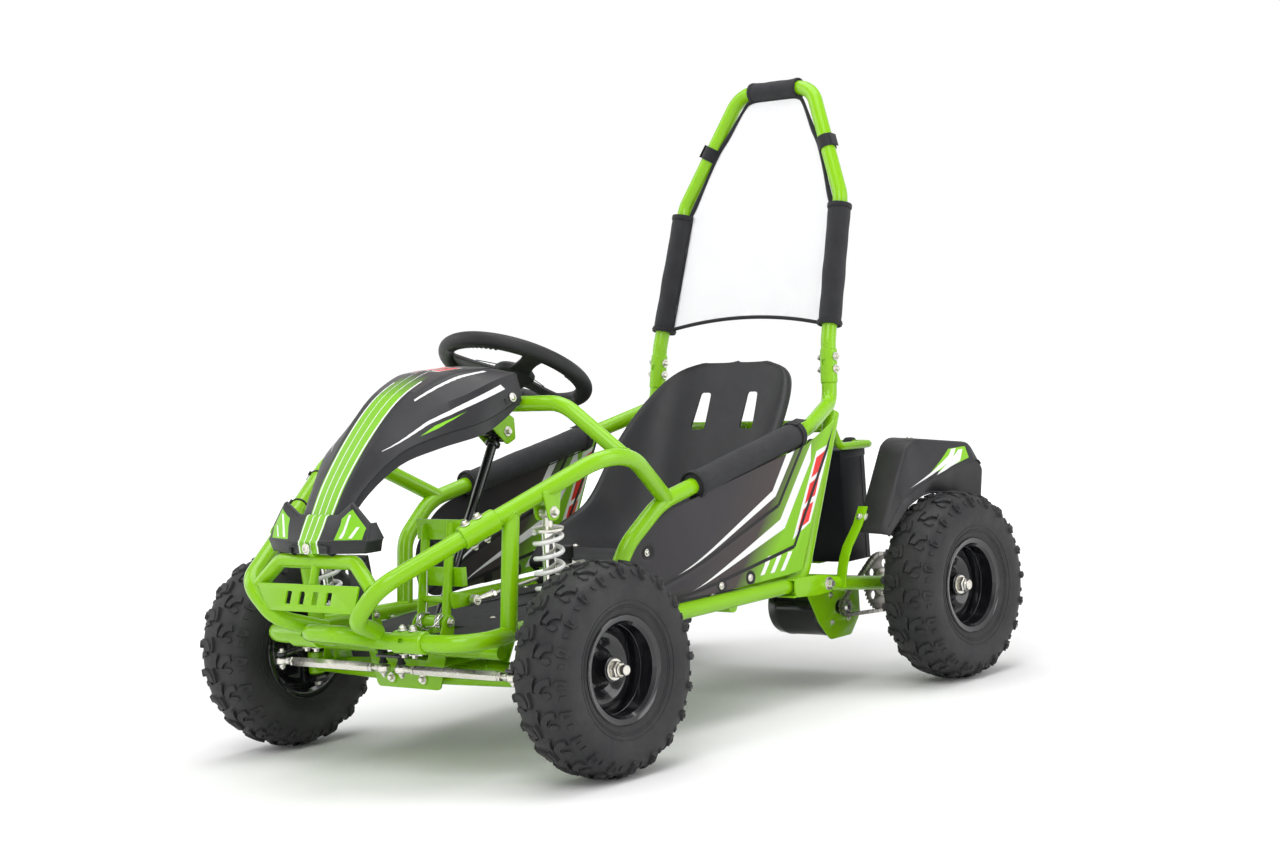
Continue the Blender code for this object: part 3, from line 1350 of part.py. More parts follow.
def make_brake_disc(pivot):
    axle_hole = circle((0, 0), AXLE_BORE)
    holes = []
    for index in range(6):
        angle = 2 * pi * index / 6
        holes.append(circle((0.050 * cos(angle), 0.050 * sin(angle)), 0.0065, 6))
    outlines = [circle((0, 0), BRAKE_DISC_RADIUS, 24), axle_hole] + holes
    disc = plate(outlines, DISC_THICKNESS, "YZ", rear(-DRIVE_X, 0, 0))
    hub, bore = drive_hub(-DRIVE_X)
    piece("brake_disc", cut(join(disc, hub), bore), ZINC, pivot)


def make_brake_caliper(pivot):
    """The caliper over the disc's front edge, on the swing arm's side tube."""
    inner_face = SWING_PIVOT[0] - SWING_TUBE - GAP
    width = inner_face - 0.1965
    centre = rear(-(0.1965 + width / 2), -0.069, 0.010)
    shape = block(centre, (width, 0.040, 0.040))
    slot = rod(rear(-DRIVE_X - 0.0030, 0, 0), rear(-DRIVE_X + 0.0030, 0, 0), BRAKE_DISC_RADIUS + 0.002, 24)
    piece("brake_caliper", cut(shape, slot), BLACK_PAINT, pivot)


# Across, behind the tyre's front edge, and above its crown
FENDER_STATIONS = [
    ((0.270, 0.024, -0.057), (0.322, 0.024, -0.059), (0.328, 0.025, -0.061), (0.333, 0.026, -0.063)),
    ((0.270, 0.071, 0.015), (0.322, 0.071, 0.013), (0.332, 0.073, -0.007), (0.348, 0.075, -0.013)),
    ((0.270, 0.113, 0.085), (0.322, 0.113, 0.082), (0.334, 0.111, 0.007), (0.394, 0.113, 0.003)),
    ((0.270, 0.135, 0.097), (0.324, 0.137, 0.094), (0.335, 0.151, 0.020), (0.400, 0.153, 0.016)),
    ((0.270, 0.211, 0.085), (0.326, 0.211, 0.082), (0.335, 0.211, 0.025), (0.400, 0.211, 0.020)),
    ((0.270, 0.263, 0.073), (0.326, 0.263, 0.069), (0.335, 0.257, 0.024), (0.398, 0.253, 0.016)),
    ((0.270, 0.281, 0.057), (0.322, 0.281, 0.053), (0.332, 0.269, 0.015), (0.394, 0.263, -0.005)),
]


def fender_point(x, behind, above):
    """A fender's point across, behind and above the axle."""
    return x, behind - TYRE_RADIUS, above + TYRE_RADIUS


def make_fender(name, side, pivot):
    rows = []
    for station in FENDER_STATIONS:
        rows.append([rear(side * x, y, z) for x, y, z in (fender_point(*point) for point in station)])
    shape = skin(rows, SHEET)
    piece(f"fender_{name}", shape, BLACK_PLASTIC, pivot)


# Pedals


def make_brake_pedal(pivot):
    """The green pedal frame: a tube on the pin, two side arms, a cross rod and two foot plates."""
    hinge = front(BRAKE_X, *BRAKE_PIVOT)
    half_tube = 0.0310
    shape = rod(hinge - X_AXIS * half_tube, hinge + X_AXIS * half_tube, 0.0100)
    bore = (BRAKE_PIN + RUNNING_GAP) / cos(pi / ROD_SIDES)
    y, z = BRAKE_PIVOT
    lug_x = CYLINDER_X - 0.012
    arm = [(y - 0.010, z - 0.006), (y + 0.010, z - 0.006), (y + 0.034, z + 0.150), (y + 0.018, z + 0.150)]
    for half in (-1, 1):
        join(shape, plate([arm], 0.006, "YZ", front(BRAKE_X + half * (half_tube - 0.004), 0, 0)))
    for height in (0.141, 0.068):
        lean = 0.016 + 0.006 * height / 0.07
        join(shape, block(front(BRAKE_X, y + lean, z + height), (2 * PEDAL_HALF, THICK_SHEET, 0.030)))
    cross_y, cross_z = y + 0.0095, z + 0.033
    join(shape, rod(front(BRAKE_X - 0.03, cross_y, cross_z), front(lug_x, cross_y, cross_z), 0.0050))
    lug = [(y + 0.004, z + 0.020), (y + 0.052, z + 0.021), (y + 0.052, z + 0.037), (y + 0.004, z + 0.048)]
    join(shape, plate([lug], THICK_SHEET, "YZ", front(lug_x, 0, 0)))
    cut(shape, rod(hinge - X_AXIS * 0.08, hinge + X_AXIS * 0.08, bore))
    piece("brake_pedal", shape, GREEN, pivot)


def make_brake_rod(pivot):
    """The push rod from the pedal's lug to the master cylinder."""
    start = front(*BRAKE_LUG)
    end = front(CYLINDER_X, CYLINDER_START[0] - 0.012, CYLINDER_START[1])
    shape = rod(start - X_AXIS * 0.006, start + X_AXIS * 0.006, 0.0080)
    for tip, radius in ((toward(start, end, 0.036), 0.0055), (end, 0.0030)):
        join(shape, rod(start, tip, radius, 8))
    cut(shape, rod(start - X_AXIS * 0.02, start + X_AXIS * 0.02, 0.0035, 8))
    piece("brake_rod", shape, ZINC, pivot)


def make_throttle_pedal(pivot):
    """The black treadle with its ribs."""
    y, z = THROTTLE_PIVOT
    hinge = front(THROTTLE_X, y, z)
    shape = rod(hinge - X_AXIS * 0.0142, hinge + X_AXIS * 0.0142, 0.0075)
    treadle = [(y - 0.007, z - 0.002), (y + 0.003, z - 0.004), (y - 0.014, z + 0.098), (y - 0.022, z + 0.096)]
    face = [(y - 0.009, z + 0.030), (y - 0.004, z + 0.031), (y - 0.014, z + 0.098), (y - 0.020, z + 0.097)]
    for outline, width in ((treadle, 0.027), (face, 0.050)):
        join(shape, plate([outline], width, "YZ", front(THROTTLE_X, 0, 0)))
    for index in range(5):
        height = 0.038 + index * 0.013
        rib_y = y - 0.0045 - 0.010 * height / 0.067
        join(shape, block(front(THROTTLE_X, rib_y, z + height), (0.046, 0.006, 0.005)))
    bore = (THROTTLE_PIN + RUNNING_GAP) / cos(pi / ROD_SIDES)
    cut(shape, rod(hinge - X_AXIS * 0.03, hinge + X_AXIS * 0.03, bore))
    piece("throttle_pedal", shape, BLACK_PLASTIC, pivot)


# The whole kart


def build_frame():
    for name, side in SIDES:
        make_side_rail(name, side)
        make_waist_tube(name, side)
        make_upper_tube(name, side)
    make_front_frame()
    make_dash_hoop()
    make_floor_frame()
    make_rear_frame()
    make_roll_hoop()


def build_panels():
    make_hood()
    for name, side in SIDES:
        make_side_panel(name, side)
        make_side_pad(name, side)
    make_floor_pan()
    make_seat()
    make_battery_box()
    make_battery_pack()
    make_controller()
    make_hoop_net()


def build_front():
    steering = pivot_at("steering_pivot", column(0))
    make_steering_wheel(steering)
    make_steering_column(steering)
    for name, side in SIDES:
        arm = pivot_at(f"arm_pivot_{name}", front(side * ARM_PIVOT_X, 0, ARM_PIVOT_Z))
        king = pivot_at(f"kingpin_{name}", front(side * KINGPIN_X, 0, 0), arm)
        ball = pivot_at(f"ball_joint_{name}", front(side * TIE_ROD_OUTER_X, -STEERING_ARM, TIE_ROD_Z), king)
        hub = pivot_at(f"front_hub_{name}", front(side * FRONT_TRACK / 2, 0, 0), king)
        make_front_arm(name, side, arm)
        make_knuckle(name, side, king)
        make_tie_rod(name, side, ball)
        make_wheel(f"front_{name}", side, front(side * FRONT_TRACK / 2, 0, 0), hub)
        top = front(side * FRONT_SHOCK_TOP[0], FRONT_SHOCK_TOP[1], FRONT_SHOCK_TOP[2])
        foot = front(side * FRONT_SHOCK_FOOT[0], FRONT_SHOCK_FOOT[1], FRONT_SHOCK_FOOT[2])
        names = [f"shock_body_{name}", f"shock_rod_{name}", f"shock_spring_{name}"]
        make_shock(names, top, foot, 7.5, pivot_at(f"shock_eye_{name}", top), (ZINC, WHITE_PAINT))


def build_rear():
    swing = pivot_at("swing_pivot", rear(0, SWING_PIVOT[1], SWING_PIVOT[2]))
    axle = pivot_at("axle_pivot", rear(0, 0, 0), swing)
    shaft = pivot_at("motor_shaft", rear(0, *MOTOR_CENTRE), swing)
    make_swing_arm(swing)
    make_rear_axle(axle)
    make_sprocket(axle)
    make_brake_disc(axle)
    make_brake_caliper(swing)
    make_motor(swing)
    make_motor_pinion(shaft)
    make_chain(swing)
    for name, side in SIDES:
        make_fender(name, side, swing)
        make_wheel(f"rear_{name}", side, rear(side * REAR_TRACK / 2, 0, 0), axle)
    top = rear(*REAR_SHOCK_TOP)
    names = ["rear_shock_body", "rear_shock_rod", "rear_shock_spring"]
    make_shock(names, top, rear(*REAR_SHOCK_FOOT), 5, pivot_at("rear_shock_eye", top), (ZINC, BLACK_PAINT))


def build_pedals():
    brake = pivot_at("brake_pivot", front(BRAKE_X, *BRAKE_PIVOT))
    make_brake_pedal(brake)
    lug = pivot_at("brake_rod_pivot", front(*BRAKE_LUG), brake)
    make_brake_rod(lug)
    make_throttle_pedal(pivot_at("throttle_pivot", front(THROTTLE_X, *THROTTLE_PIVOT)))


build_frame()
build_panels()
build_front()
build_rear()
build_pedals()
bpy.context.view_layer.update()
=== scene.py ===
# Electric go-kart with a tube frame, sprung front arms and a chain-driven rear axle.
# Metres, +Z is up, the kart points along -Y and +X is the driver's left.
from math import acos, atan2, ceil, cos, degrees, pi, radians, sin, sqrt, tan

import bmesh
import bpy
import numpy as np
from mathutils import Matrix, Vector


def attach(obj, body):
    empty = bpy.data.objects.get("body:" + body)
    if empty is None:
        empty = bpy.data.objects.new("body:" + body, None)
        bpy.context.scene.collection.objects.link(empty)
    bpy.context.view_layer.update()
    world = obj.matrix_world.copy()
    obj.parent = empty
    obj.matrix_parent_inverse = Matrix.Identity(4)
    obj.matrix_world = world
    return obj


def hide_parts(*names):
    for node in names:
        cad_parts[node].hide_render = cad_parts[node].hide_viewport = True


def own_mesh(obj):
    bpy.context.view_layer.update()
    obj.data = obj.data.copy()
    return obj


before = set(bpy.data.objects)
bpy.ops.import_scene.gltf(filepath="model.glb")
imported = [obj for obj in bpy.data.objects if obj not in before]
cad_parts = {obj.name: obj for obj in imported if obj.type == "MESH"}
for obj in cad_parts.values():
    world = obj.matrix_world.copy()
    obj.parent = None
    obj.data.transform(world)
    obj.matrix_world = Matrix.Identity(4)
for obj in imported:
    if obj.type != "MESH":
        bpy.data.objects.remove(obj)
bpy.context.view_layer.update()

kart = dict(wheelbase=0.908, frontTrack=0.708, rearTrack=0.741, overhang=0.2655, tyre=0.165)
frontY = kart["overhang"] - (kart["overhang"] + kart["wheelbase"] + kart["tyre"]) / 2
rearY = frontY + kart["wheelbase"]
sides = (("left", 1), ("right", -1))
xAxis, yAxis, zAxis = Vector((1, 0, 0)), Vector((0, 1, 0)), Vector((0, 0, 1))


def front(x, y, z):                              # from the middle of the front axle
    return Vector((x, frontY + y, kart["tyre"] + z))


def rear(x, y, z):                               # from the middle of the rear axle
    return Vector((x, rearY + y, kart["tyre"] + z))


def mm(*pairs):                                  # pairs of numbers given in millimetres
    return [(round(a / 1000, 6), round(b / 1000, 6)) for a, b in pairs]


def toward(start, end, distance):
    return start + (end - start).normalized() * distance


def linked(name, data):                          # a new object in the scene
    piece = bpy.data.objects.new(name, data)
    bpy.context.scene.collection.objects.link(piece)
    return piece


# a node with its settings and inputs, for the finishes and the geometry trees
def addNode(tree, kind, settings=(), values=()):
    node = tree.nodes.new(kind)
    for key, value in dict(settings).items():
        if key == "stops":
            while len(node.color_ramp.elements) < len(value):
                node.color_ramp.elements.new(1)
            for element, (place, colour) in zip(node.color_ramp.elements, value):
                element.position, element.color = place, (*colour, 1)
        else:
            setattr(node, key, value)
    for key, value in (values.items() if isinstance(values, dict) else enumerate(values)):
        value = getattr(value, "socket", value)
        if isinstance(value, bpy.types.NodeSocket):
            tree.links.new(value, node.inputs[key])
        elif value is not None:
            node.inputs[key].default_value = value
    return node


# camera and light
camera = dict(azimuth=0.717880, height=0.063408, roll=-0.069853, distance=4.377286,
    shift=(-0.040814, -0.089773), lens=71.776)
lights = [                                       # place, aim, size, power
    ((1.6, -2.9, 3.4), (0, 0, 0.4), (2.4, 2.4), 70),
    ((-3.2, -1.6, 2.6), (0, 0, 0.4), (2.0, 3.0), 35),
    ((3.4, 1.2, 2.0), (0, 0.2, 0.5), (1.6, 3.0), 35),
    ((0.0, 0.4, 4.2), (0, 0, 0.3), (3.6, 3.6), 110),
]


def setCamera():
    a, h = camera["azimuth"], camera["height"]
    back = Vector((sin(a) * cos(h), -cos(a) * cos(h), sin(h)))
    across = (-back).cross(zAxis).normalized()
    above = across.cross(-back)
    c, s = cos(camera["roll"]), sin(camera["roll"])
    right, up = c * across + s * above, -s * across + c * above
    middle = Vector((0, 0.05025, 0.4))
    place = middle - right * camera["shift"][0] - up * camera["shift"][1] + back * camera["distance"]
    lens = bpy.data.cameras.new("photoCamera")
    lens.lens, lens.sensor_width, lens.clip_end = camera["lens"], 36, 60
    eye = linked("photoCamera", lens)
    eye.matrix_world = Matrix.Translation(place) @ Matrix((right, up, back)).transposed().to_4x4()
    bpy.context.scene.camera = eye


def setLights():
    for index, (place, aim, size, power) in enumerate(lights):
        lamp = bpy.data.lights.new(f"softbox{index}", "AREA")
        lamp.shape, lamp.size, lamp.size_y, lamp.energy = "RECTANGLE", size[0], size[1], power
        box = linked(f"softbox{index}", lamp)
        box.location = place
        box.rotation_euler = (Vector(place) - Vector(aim)).to_track_quat("Z", "Y").to_euler()
    world = bpy.data.worlds.new("studio")
    world.use_nodes = True
    tree = world.node_tree                       # white round the horizon, dimmer overhead
    view = addNode(tree, "ShaderNodeTexCoord")
    height = addNode(tree, "ShaderNodeSeparateXYZ", {}, (view.outputs["Generated"],))
    dim = addNode(tree, "ShaderNodeMapRange", dict(interpolation_type="SMOOTHSTEP"),
        {"Value": height.outputs[2], "From Min": 0.22, "From Max": 0.62, "To Min": 1.0, "To Max": 0.42})
    tree.links.new(dim.outputs[0], tree.nodes["Background"].inputs["Strength"])
    tree.nodes["Background"].inputs["Color"].default_value = (1, 1, 1, 1)
    bpy.context.scene.world = world
    bpy.context.scene.view_settings.view_transform = "Standard"


setCamera()
setLights()
print("camera and light set")


class Mask:                                      # a number that varies over a surface
    def __init__(self, tree, socket):
        self.tree, self.socket = tree, socket

    def join(self, kind, *others, clamp=False):
        node = addNode(self.tree, "ShaderNodeMath", dict(operation=kind, use_clamp=clamp), (self, *others))
        return Mask(self.tree, node.outputs[0])

    def __add__(self, other):
        return self.join("ADD", other)

    def __mul__(self, other):
        return self.join("MULTIPLY", other)

    def __sub__(self, other):
        return self.join("SUBTRACT", other)

    def __rsub__(self, other):
        return self.join("MULTIPLY_ADD", -1.0, other)

    __radd__, __rmul__ = __add__, __mul__

    def least(self, other):
        return self.join("MINIMUM", other)

    def most(self, other):
        return self.join("MAXIMUM", other)

    def step(self, edge, soft):                  # 0 below the edge, 1 above it
        return self.join("MULTIPLY_ADD", 1 / soft, 0.5 - edge / soft, clamp=True)


class Finish:                                    # one material and the helpers that paint it
    def __init__(self, name, colour, roughness, metallic=0.0, coat=0.0, slot=None, sheen=0.0):
        self.material = bpy.data.materials.new(name)
        self.material.use_nodes = True
        self.tree = self.material.node_tree
        self.slot = slot
        self.shader = self.tree.nodes["Principled BSDF"]
        settings = {"Base Color": (*colour, 1), "Roughness": roughness, "Metallic": metallic,
            "Coat Weight": coat, "Coat Roughness": 0.05,
            "Specular IOR Level": 0.5 if max(colour) > 0.1 else 0.34}
        if sheen:
            settings.update({"Sheen Weight": sheen, "Sheen Roughness": 0.6})
        for socket, value in settings.items():
            self.set(socket, value)
        self.place = addNode(self.tree, "ShaderNodeTexCoord").outputs["Object"]

    def set(self, socket, value):
        value = getattr(value, "socket", value)
        if isinstance(value, bpy.types.NodeSocket):
            self.tree.links.new(value, self.shader.inputs[socket])
        else:
            self.shader.inputs[socket].default_value = value

    def noise(self, scale, detail, roughness=0.5):
        values = {"Vector": self.place, "Scale": scale, "Detail": detail, "Roughness": roughness}
        return Mask(self.tree, addNode(self.tree, "ShaderNodeTexNoise", {}, values).outputs[0])

    def axes(self):
        node = addNode(self.tree, "ShaderNodeSeparateXYZ", {}, (self.place,))
        return [Mask(self.tree, socket) for socket in node.outputs]

    def blend(self, mask, first, second):
        node = addNode(self.tree, "ShaderNodeMix", dict(data_type="RGBA"))
        for index, value in ((0, mask), (6, first), (7, second)):
            value = getattr(value, "socket", value)
            if isinstance(value, bpy.types.NodeSocket):
                self.tree.links.new(value, node.inputs[index])
            else:
                node.inputs[index].default_value = value if index == 0 else (*value[:3], 1)
        return Mask(self.tree, node.outputs[2])

    def bump(self, height, strength, distance):
        values = {"Height": height, "Strength": strength, "Distance": distance}
        self.set("Normal", addNode(self.tree, "ShaderNodeBump", {}, values).outputs[0])

    def polygon(self, u, v, corners, soft=0.0006):   # 1 inside a convex outline in (u, v)
        turn = sum(a[0] * b[1] - b[0] * a[1] for a, b in zip(corners, corners[1:] + corners[:1]))
        inside = None
        for a, b in zip(corners, corners[1:] + corners[:1]):
            nu, nv = (a[1] - b[1], b[0] - a[0]) if turn > 0 else (b[1] - a[1], a[0] - b[0])
            length = sqrt(nu * nu + nv * nv)
            nu, nv = nu / length, nv / length
            edge = (u * nu).join("ADD", v * nv - (nu * a[0] + nv * a[1]))
            inside = edge if inside is None else inside.least(edge)
        return inside.step(0, soft)

    def anyOf(self, u, v, outlines, soft):           # 1 inside at least one of the convex outlines
        patches = [self.polygon(u, v, corners, soft) for corners in outlines]
        result = patches[0]
        for patch in patches[1:]:
            result = result.most(patch)
        return result


green, white, red = (0.228, 0.515, 0.003), (0.80, 0.80, 0.80), (0.72, 0.035, 0.030)


def paintFinish(name, colour, roughness, slot, coat):
    finish = Finish(name, colour, roughness, 0, coat, slot)
    cloud = finish.noise(9, 3)
    finish.set("Base Color", finish.blend(cloud.step(0.5, 0.9), tuple(c * 0.92 for c in colour),
        tuple(min(1, c * 1.06) for c in colour)))
    finish.set("Roughness", finish.noise(60, 3) * 0.14 + (roughness - 0.07))
    finish.bump(finish.noise(420, 1), 0.05, 0.0004)
    return finish


def plasticFinish(name, colour, roughness, slot="black_plastic", grain=0.25):
    finish = Finish(name, colour, roughness, 0, 0, slot)
    wear = finish.noise(14, 4, 0.6)
    finish.set("Roughness", finish.noise(45, 3) * 0.16 + (roughness - 0.08))
    finish.bump(finish.noise(1500, 2), grain, 0.0003)
    finish.base = finish.blend(wear.step(0.55, 0.5), colour, tuple(c * 1.35 + 0.002 for c in colour))
    finish.set("Base Color", finish.base)
    return finish


def metalFinish(name, colour, roughness, slot="zinc", streak=240):
    finish = Finish(name, colour, roughness, 1, 0, slot)
    cloud = finish.noise(70, 4, 0.6)
    finish.set("Base Color", finish.blend(cloud.step(0.5, 0.8), colour,
        tuple(c * k for c, k in zip(colour, (0.86, 0.83, 0.74)))))
    finish.set("Roughness", finish.noise(streak, 3) * 0.22 + (roughness - 0.11))
    finish.bump(finish.noise(900, 2), 0.10, 0.0002)
    return finish


greenPaint = paintFinish("greenPowderCoat", green, 0.24, "green_paint", 0.28)
greenPaint.set("Specular IOR Level", 0.28)
glossBlack = paintFinish("blackGlossPaint", (0.008, 0.008, 0.010), 0.20, "black_paint", 0.7)
boxBlack = paintFinish("blackSheetPaint", (0.006, 0.006, 0.011), 0.52, "black_paint", 0.0)
springWhite = paintFinish("whiteSpringCoat", (0.78, 0.78, 0.76), 0.32, "white_paint", 0.4)
satinBlack = plasticFinish("blackMoulding", (0.016, 0.016, 0.018), 0.46)
gripBlack = plasticFinish("steeringFoam", (0.013, 0.013, 0.014), 0.50, "black_foam", 0.5)
softRubber = plasticFinish("softRubber", (0.012, 0.012, 0.013), 0.62, "tyre_rubber", 0.3)
zinc = metalFinish("zincPlate", (0.78, 0.77, 0.74), 0.30)
chrome = metalFinish("hardChrome", (0.86, 0.86, 0.87), 0.16, "zinc", 90)
steel = metalFinish("darkSteel", (0.30, 0.29, 0.28), 0.42)
threadGrey = plasticFinish("sewingThread", (0.045, 0.045, 0.050), 0.8, "black_foam")
redRubber = plasticFinish("redCap", (0.42, 0.02, 0.02), 0.50, "tyre_rubber")


def rubberFinish():
    finish = Finish("tyreRubber", (0.020, 0.020, 0.021), 0.62, 0, 0, "tyre_rubber")
    dust = finish.noise(16, 5, 0.65)
    finish.set("Base Color", finish.blend(dust.step(0.56, 0.4), (0.017, 0.017, 0.019),
        (0.034, 0.033, 0.034)))
    finish.set("Roughness", finish.noise(110, 4) * 0.25 + 0.44)
    finish.bump(finish.noise(700, 3) + finish.noise(2600, 1) * 0.4, 0.35, 0.0005)
    return finish


def floorFinish():
    finish = Finish("gritFloorSheet", (0.07, 0.07, 0.075), 0.7, 0.2, 0, "floor_plate")
    grit = finish.noise(1100, 2)
    finish.set("Base Color", finish.blend(grit.step(0.55, 0.2), (0.030, 0.030, 0.033),
        (0.085, 0.085, 0.09)))
    finish.set("Roughness", finish.noise(40, 3) * 0.2 + 0.60)
    finish.bump(grit, 0.8, 0.0008)
    return finish


def clothFinish(name, colour, pitch=0.0009):
    finish = Finish(name, colour, 0.9, 0, 0, "black_foam", 0.08)
    x, y, z = finish.axes()
    warp = (x + z * 0.3).join("MULTIPLY", 2 * pi / pitch).join("SINE")
    weft = (y + z).join("MULTIPLY", 2 * pi / pitch).join("SINE")
    weave = warp * weft
    wear = finish.noise(30, 4, 0.6)
    finish.set("Base Color", finish.blend(wear.step(0.55, 0.6), colour,
        tuple(c * 1.7 + 0.002 for c in colour)))
    finish.set("Roughness", weave * 0.05 + 0.86)
    finish.bump(weave * 0.5 + finish.noise(240, 3), 0.5, 0.0006)
    return finish


def netFinish():
    finish = Finish("whiteNetMesh", (0.82, 0.82, 0.83), 0.8, 0, 0, "net_fabric")
    x, _, z = finish.axes()
    pitch = 2 * pi / 0.0042
    first = ((x + z) * pitch).join("SINE").join("ABSOLUTE")
    second = ((x - z) * pitch).join("SINE").join("ABSOLUTE")
    threads = 1 - first.least(second).step(0.42, 0.12)
    finish.set("Alpha", threads * 0.75 + 0.10)
    finish.set("Base Color", finish.blend(finish.noise(25, 3), (0.78, 0.78, 0.80), (0.88, 0.88, 0.89)))
    finish.bump(threads, 0.3, 0.0005)
    return finish


tyreRubber, gritFloor = rubberFinish(), floorFinish()
padCloth = clothFinish("blackPadCloth", (0.0135, 0.0135, 0.0155))
webbing = clothFinish("blackBinding", (0.010, 0.010, 0.012), 0.0016)
netMesh = netFinish()
print("finishes made")


# lines, and shapes, which are pairs of points and faces
def spokesOf(axis):                              # gives the direction at an angle round an axis
    across = axis.orthogonal().normalized()
    other = axis.cross(across)
    return lambda angle: across * cos(angle) + other * sin(angle)


def bend(corners, radii, grain=5):               # straight runs with an arc at each inner corner
    path = [corners[0]]
    for before, corner, after, radius in zip(corners, corners[1:], corners[2:], radii):
        into, out = (corner - before).normalized(), (after - corner).normalized()
        angle = into.angle(out)
        start = corner - into * radius * tan(angle / 2)
        normal = into.cross(out).normalized()
        centre = start + normal.cross(into) * radius
        count = max(1, ceil(degrees(angle) / grain))
        for index in range(count + 1):
            path.append(centre + Matrix.Rotation(angle * index / count, 3, normal) @ (start - centre))
    return path + [corners[-1]]


def mirrored(corners):
    return list(corners) + [Vector((-corner.x, corner.y, corner.z)) for corner in reversed(corners)]


def curveThrough(points, count):                 # a smooth line through points, evenly stepped
    points = [Vector(point) for point in points]
    ends = [points[0] * 2 - points[1]] + points + [points[-1] * 2 - points[-2]]
    result = []
    for index in range(count):
        place = index / (count - 1) * (len(points) - 1)
        k = min(int(place), len(points) - 2)
        t = place - k
        a, b, c, d = ends[k:k + 4]
        result.append(0.5 * ((2 * b) + (c - a) * t + (2 * a - 5 * b + 4 * c - d) * t * t
            + (3 * b - a - 3 * c + d) * t ** 3))
    return result


# skins rings of equal length; closed joins the last to the first
def loft(rings, closed=False):
    size = len(rings[0])
    points = [point for ring in rings for point in ring]
    faces = []
    for row in range(len(rings) if closed else len(rings) - 1):
        one, two = row * size, (row + 1) % len(rings) * size
        faces += [(one + i, one + (i + 1) % size, two + (i + 1) % size, two + i) for i in range(size)]
    if not closed:
        faces += [tuple(reversed(range(size))), tuple(range(len(points) - size, len(points)))]
    return points, faces


def tube(path, radius, count=24, closed=False):  # a round bar along a path; radius may be a list
    path = [Vector(point) for point in path]
    radii = radius if isinstance(radius, (list, tuple)) else [radius] * len(path)
    last = len(path) - 1
    rings, normal, old = [], None, None
    for index, place in enumerate(path):
        before = path[index - 1] if index or closed else place
        after = path[(index + 1) % len(path)] if index < last or closed else place
        heading = (after - before).normalized()
        if normal is None:
            normal = heading.orthogonal().normalized()
        else:
            normal = old.rotation_difference(heading) @ normal
        normal = (normal - heading * normal.dot(heading)).normalized()
        other, old = heading.cross(normal), heading
        rings.append([place + (normal * cos(2 * pi * k / count)
            + other * sin(2 * pi * k / count)) * radii[index] for k in range(count)])
    return loft(rings, closed)


def turned(profile, origin, axis, count, closed=False):   # profile of (radius, along)
    origin, axis = Vector(origin), Vector(axis).normalized()
    spoke = spokesOf(axis)
    points, rings = [], []
    for radius, along in profile:
        centre = origin + axis * along
        if radius < 1e-6:
            rings.append([len(points)] * count)
            points.append(centre)
        else:
            rings.append(list(range(len(points), len(points) + count)))
            points += [centre + spoke(2 * pi * k / count) * radius for k in range(count)]
    faces = []
    for one, two in zip(rings, rings[1:] + (rings[:1] if closed else [])):
        for k in range(count):
            face = list(dict.fromkeys((one[k], one[(k + 1) % count], two[(k + 1) % count], two[k])))
            if len(face) > 2:
                faces.append(tuple(face))
    if not closed:
        faces += [tuple(ring) for ring, (radius, along) in ((rings[0][::-1], profile[0]),
            (rings[-1], profile[-1])) if radius > 1e-6]
    return points, faces


def pin(start, end, radius, edge=0.0006):        # a round bar with broken edges
    length = (end - start).length
    edge = min(edge, radius * 0.4, length * 0.2)
    profile = [(0, 0), (radius - edge, 0), (radius, edge), (radius, length - edge),
        (radius - edge, length), (0, length)]
    return turned(profile, start, end - start, 24)


def collar(start, end, inner, outer, edge=0.0006, count=32):   # a ring or a bush with its bore
    length = (end - start).length
    profile = [(inner, 0), (outer - edge, 0), (outer, edge), (outer, length - edge), (outer - edge, length),
        (inner, length)]
    return turned(profile, start, end - start, count, True)


def bushing(middle, half, inner, outer, edge=0.0006, count=32):   # a collar along X
    return collar(middle - xAxis * half, middle + xAxis * half, inner, outer, edge, count)


def fromMesh(mesh):
    faces = [tuple(polygon.vertices) for polygon in mesh.polygons]
    return [vertex.co.copy() for vertex in mesh.vertices], faces


def fromBmesh(shape):
    bmesh.ops.remove_doubles(shape, verts=shape.verts, dist=0.00001)
    bmesh.ops.recalc_face_normals(shape, faces=shape.faces)
    mesh = bpy.data.meshes.new("shape")
    shape.to_mesh(mesh)
    shape.free()
    result = fromMesh(mesh)
    bpy.data.meshes.remove(mesh)
    return result


def block(centre, size, turn=None, edge=0.0008):
    shape = bmesh.new()
    bmesh.ops.create_cube(shape, size=1, matrix=Matrix.Diagonal((*size, 1)))
    edge = min(edge, min(size) * 0.3)
    bmesh.ops.bevel(shape, geom=shape.edges[:], offset=edge, segments=2, affect="EDGES", profile=0.5)
    shape.transform(Matrix.Translation(centre) @ (turn.to_4x4() if turn else Matrix.Identity(4)))
    return fromBmesh(shape)


def rounded(outline, radius, steps=4):
    points = []
    for index, corner in enumerate(outline):
        corner = Vector(corner)
        before = Vector(outline[index - 1]) - corner
        after = Vector(outline[(index + 1) % len(outline)]) - corner
        half, reach = before.angle(after) / 2, 0.0001
        if half < 1.55:                          # the corner isn't straight
            reach = min(radius / tan(half), before.length * 0.45, after.length * 0.45)
        start, end = corner + before.normalized() * reach, corner + after.normalized() * reach
        for index in range(steps + 1):
            share = index / steps
            points.append(start.lerp(corner, share).lerp(corner.lerp(end, share), share))
    return points


planes = {
    "XY": Matrix(((1, 0, 0), (0, 1, 0), (0, 0, 1))),
    "XZ": Matrix(((1, 0, 0), (0, 0, 1), (0, 1, 0))),
    "YZ": Matrix(((0, 0, 1), (1, 0, 0), (0, 1, 0))),
}


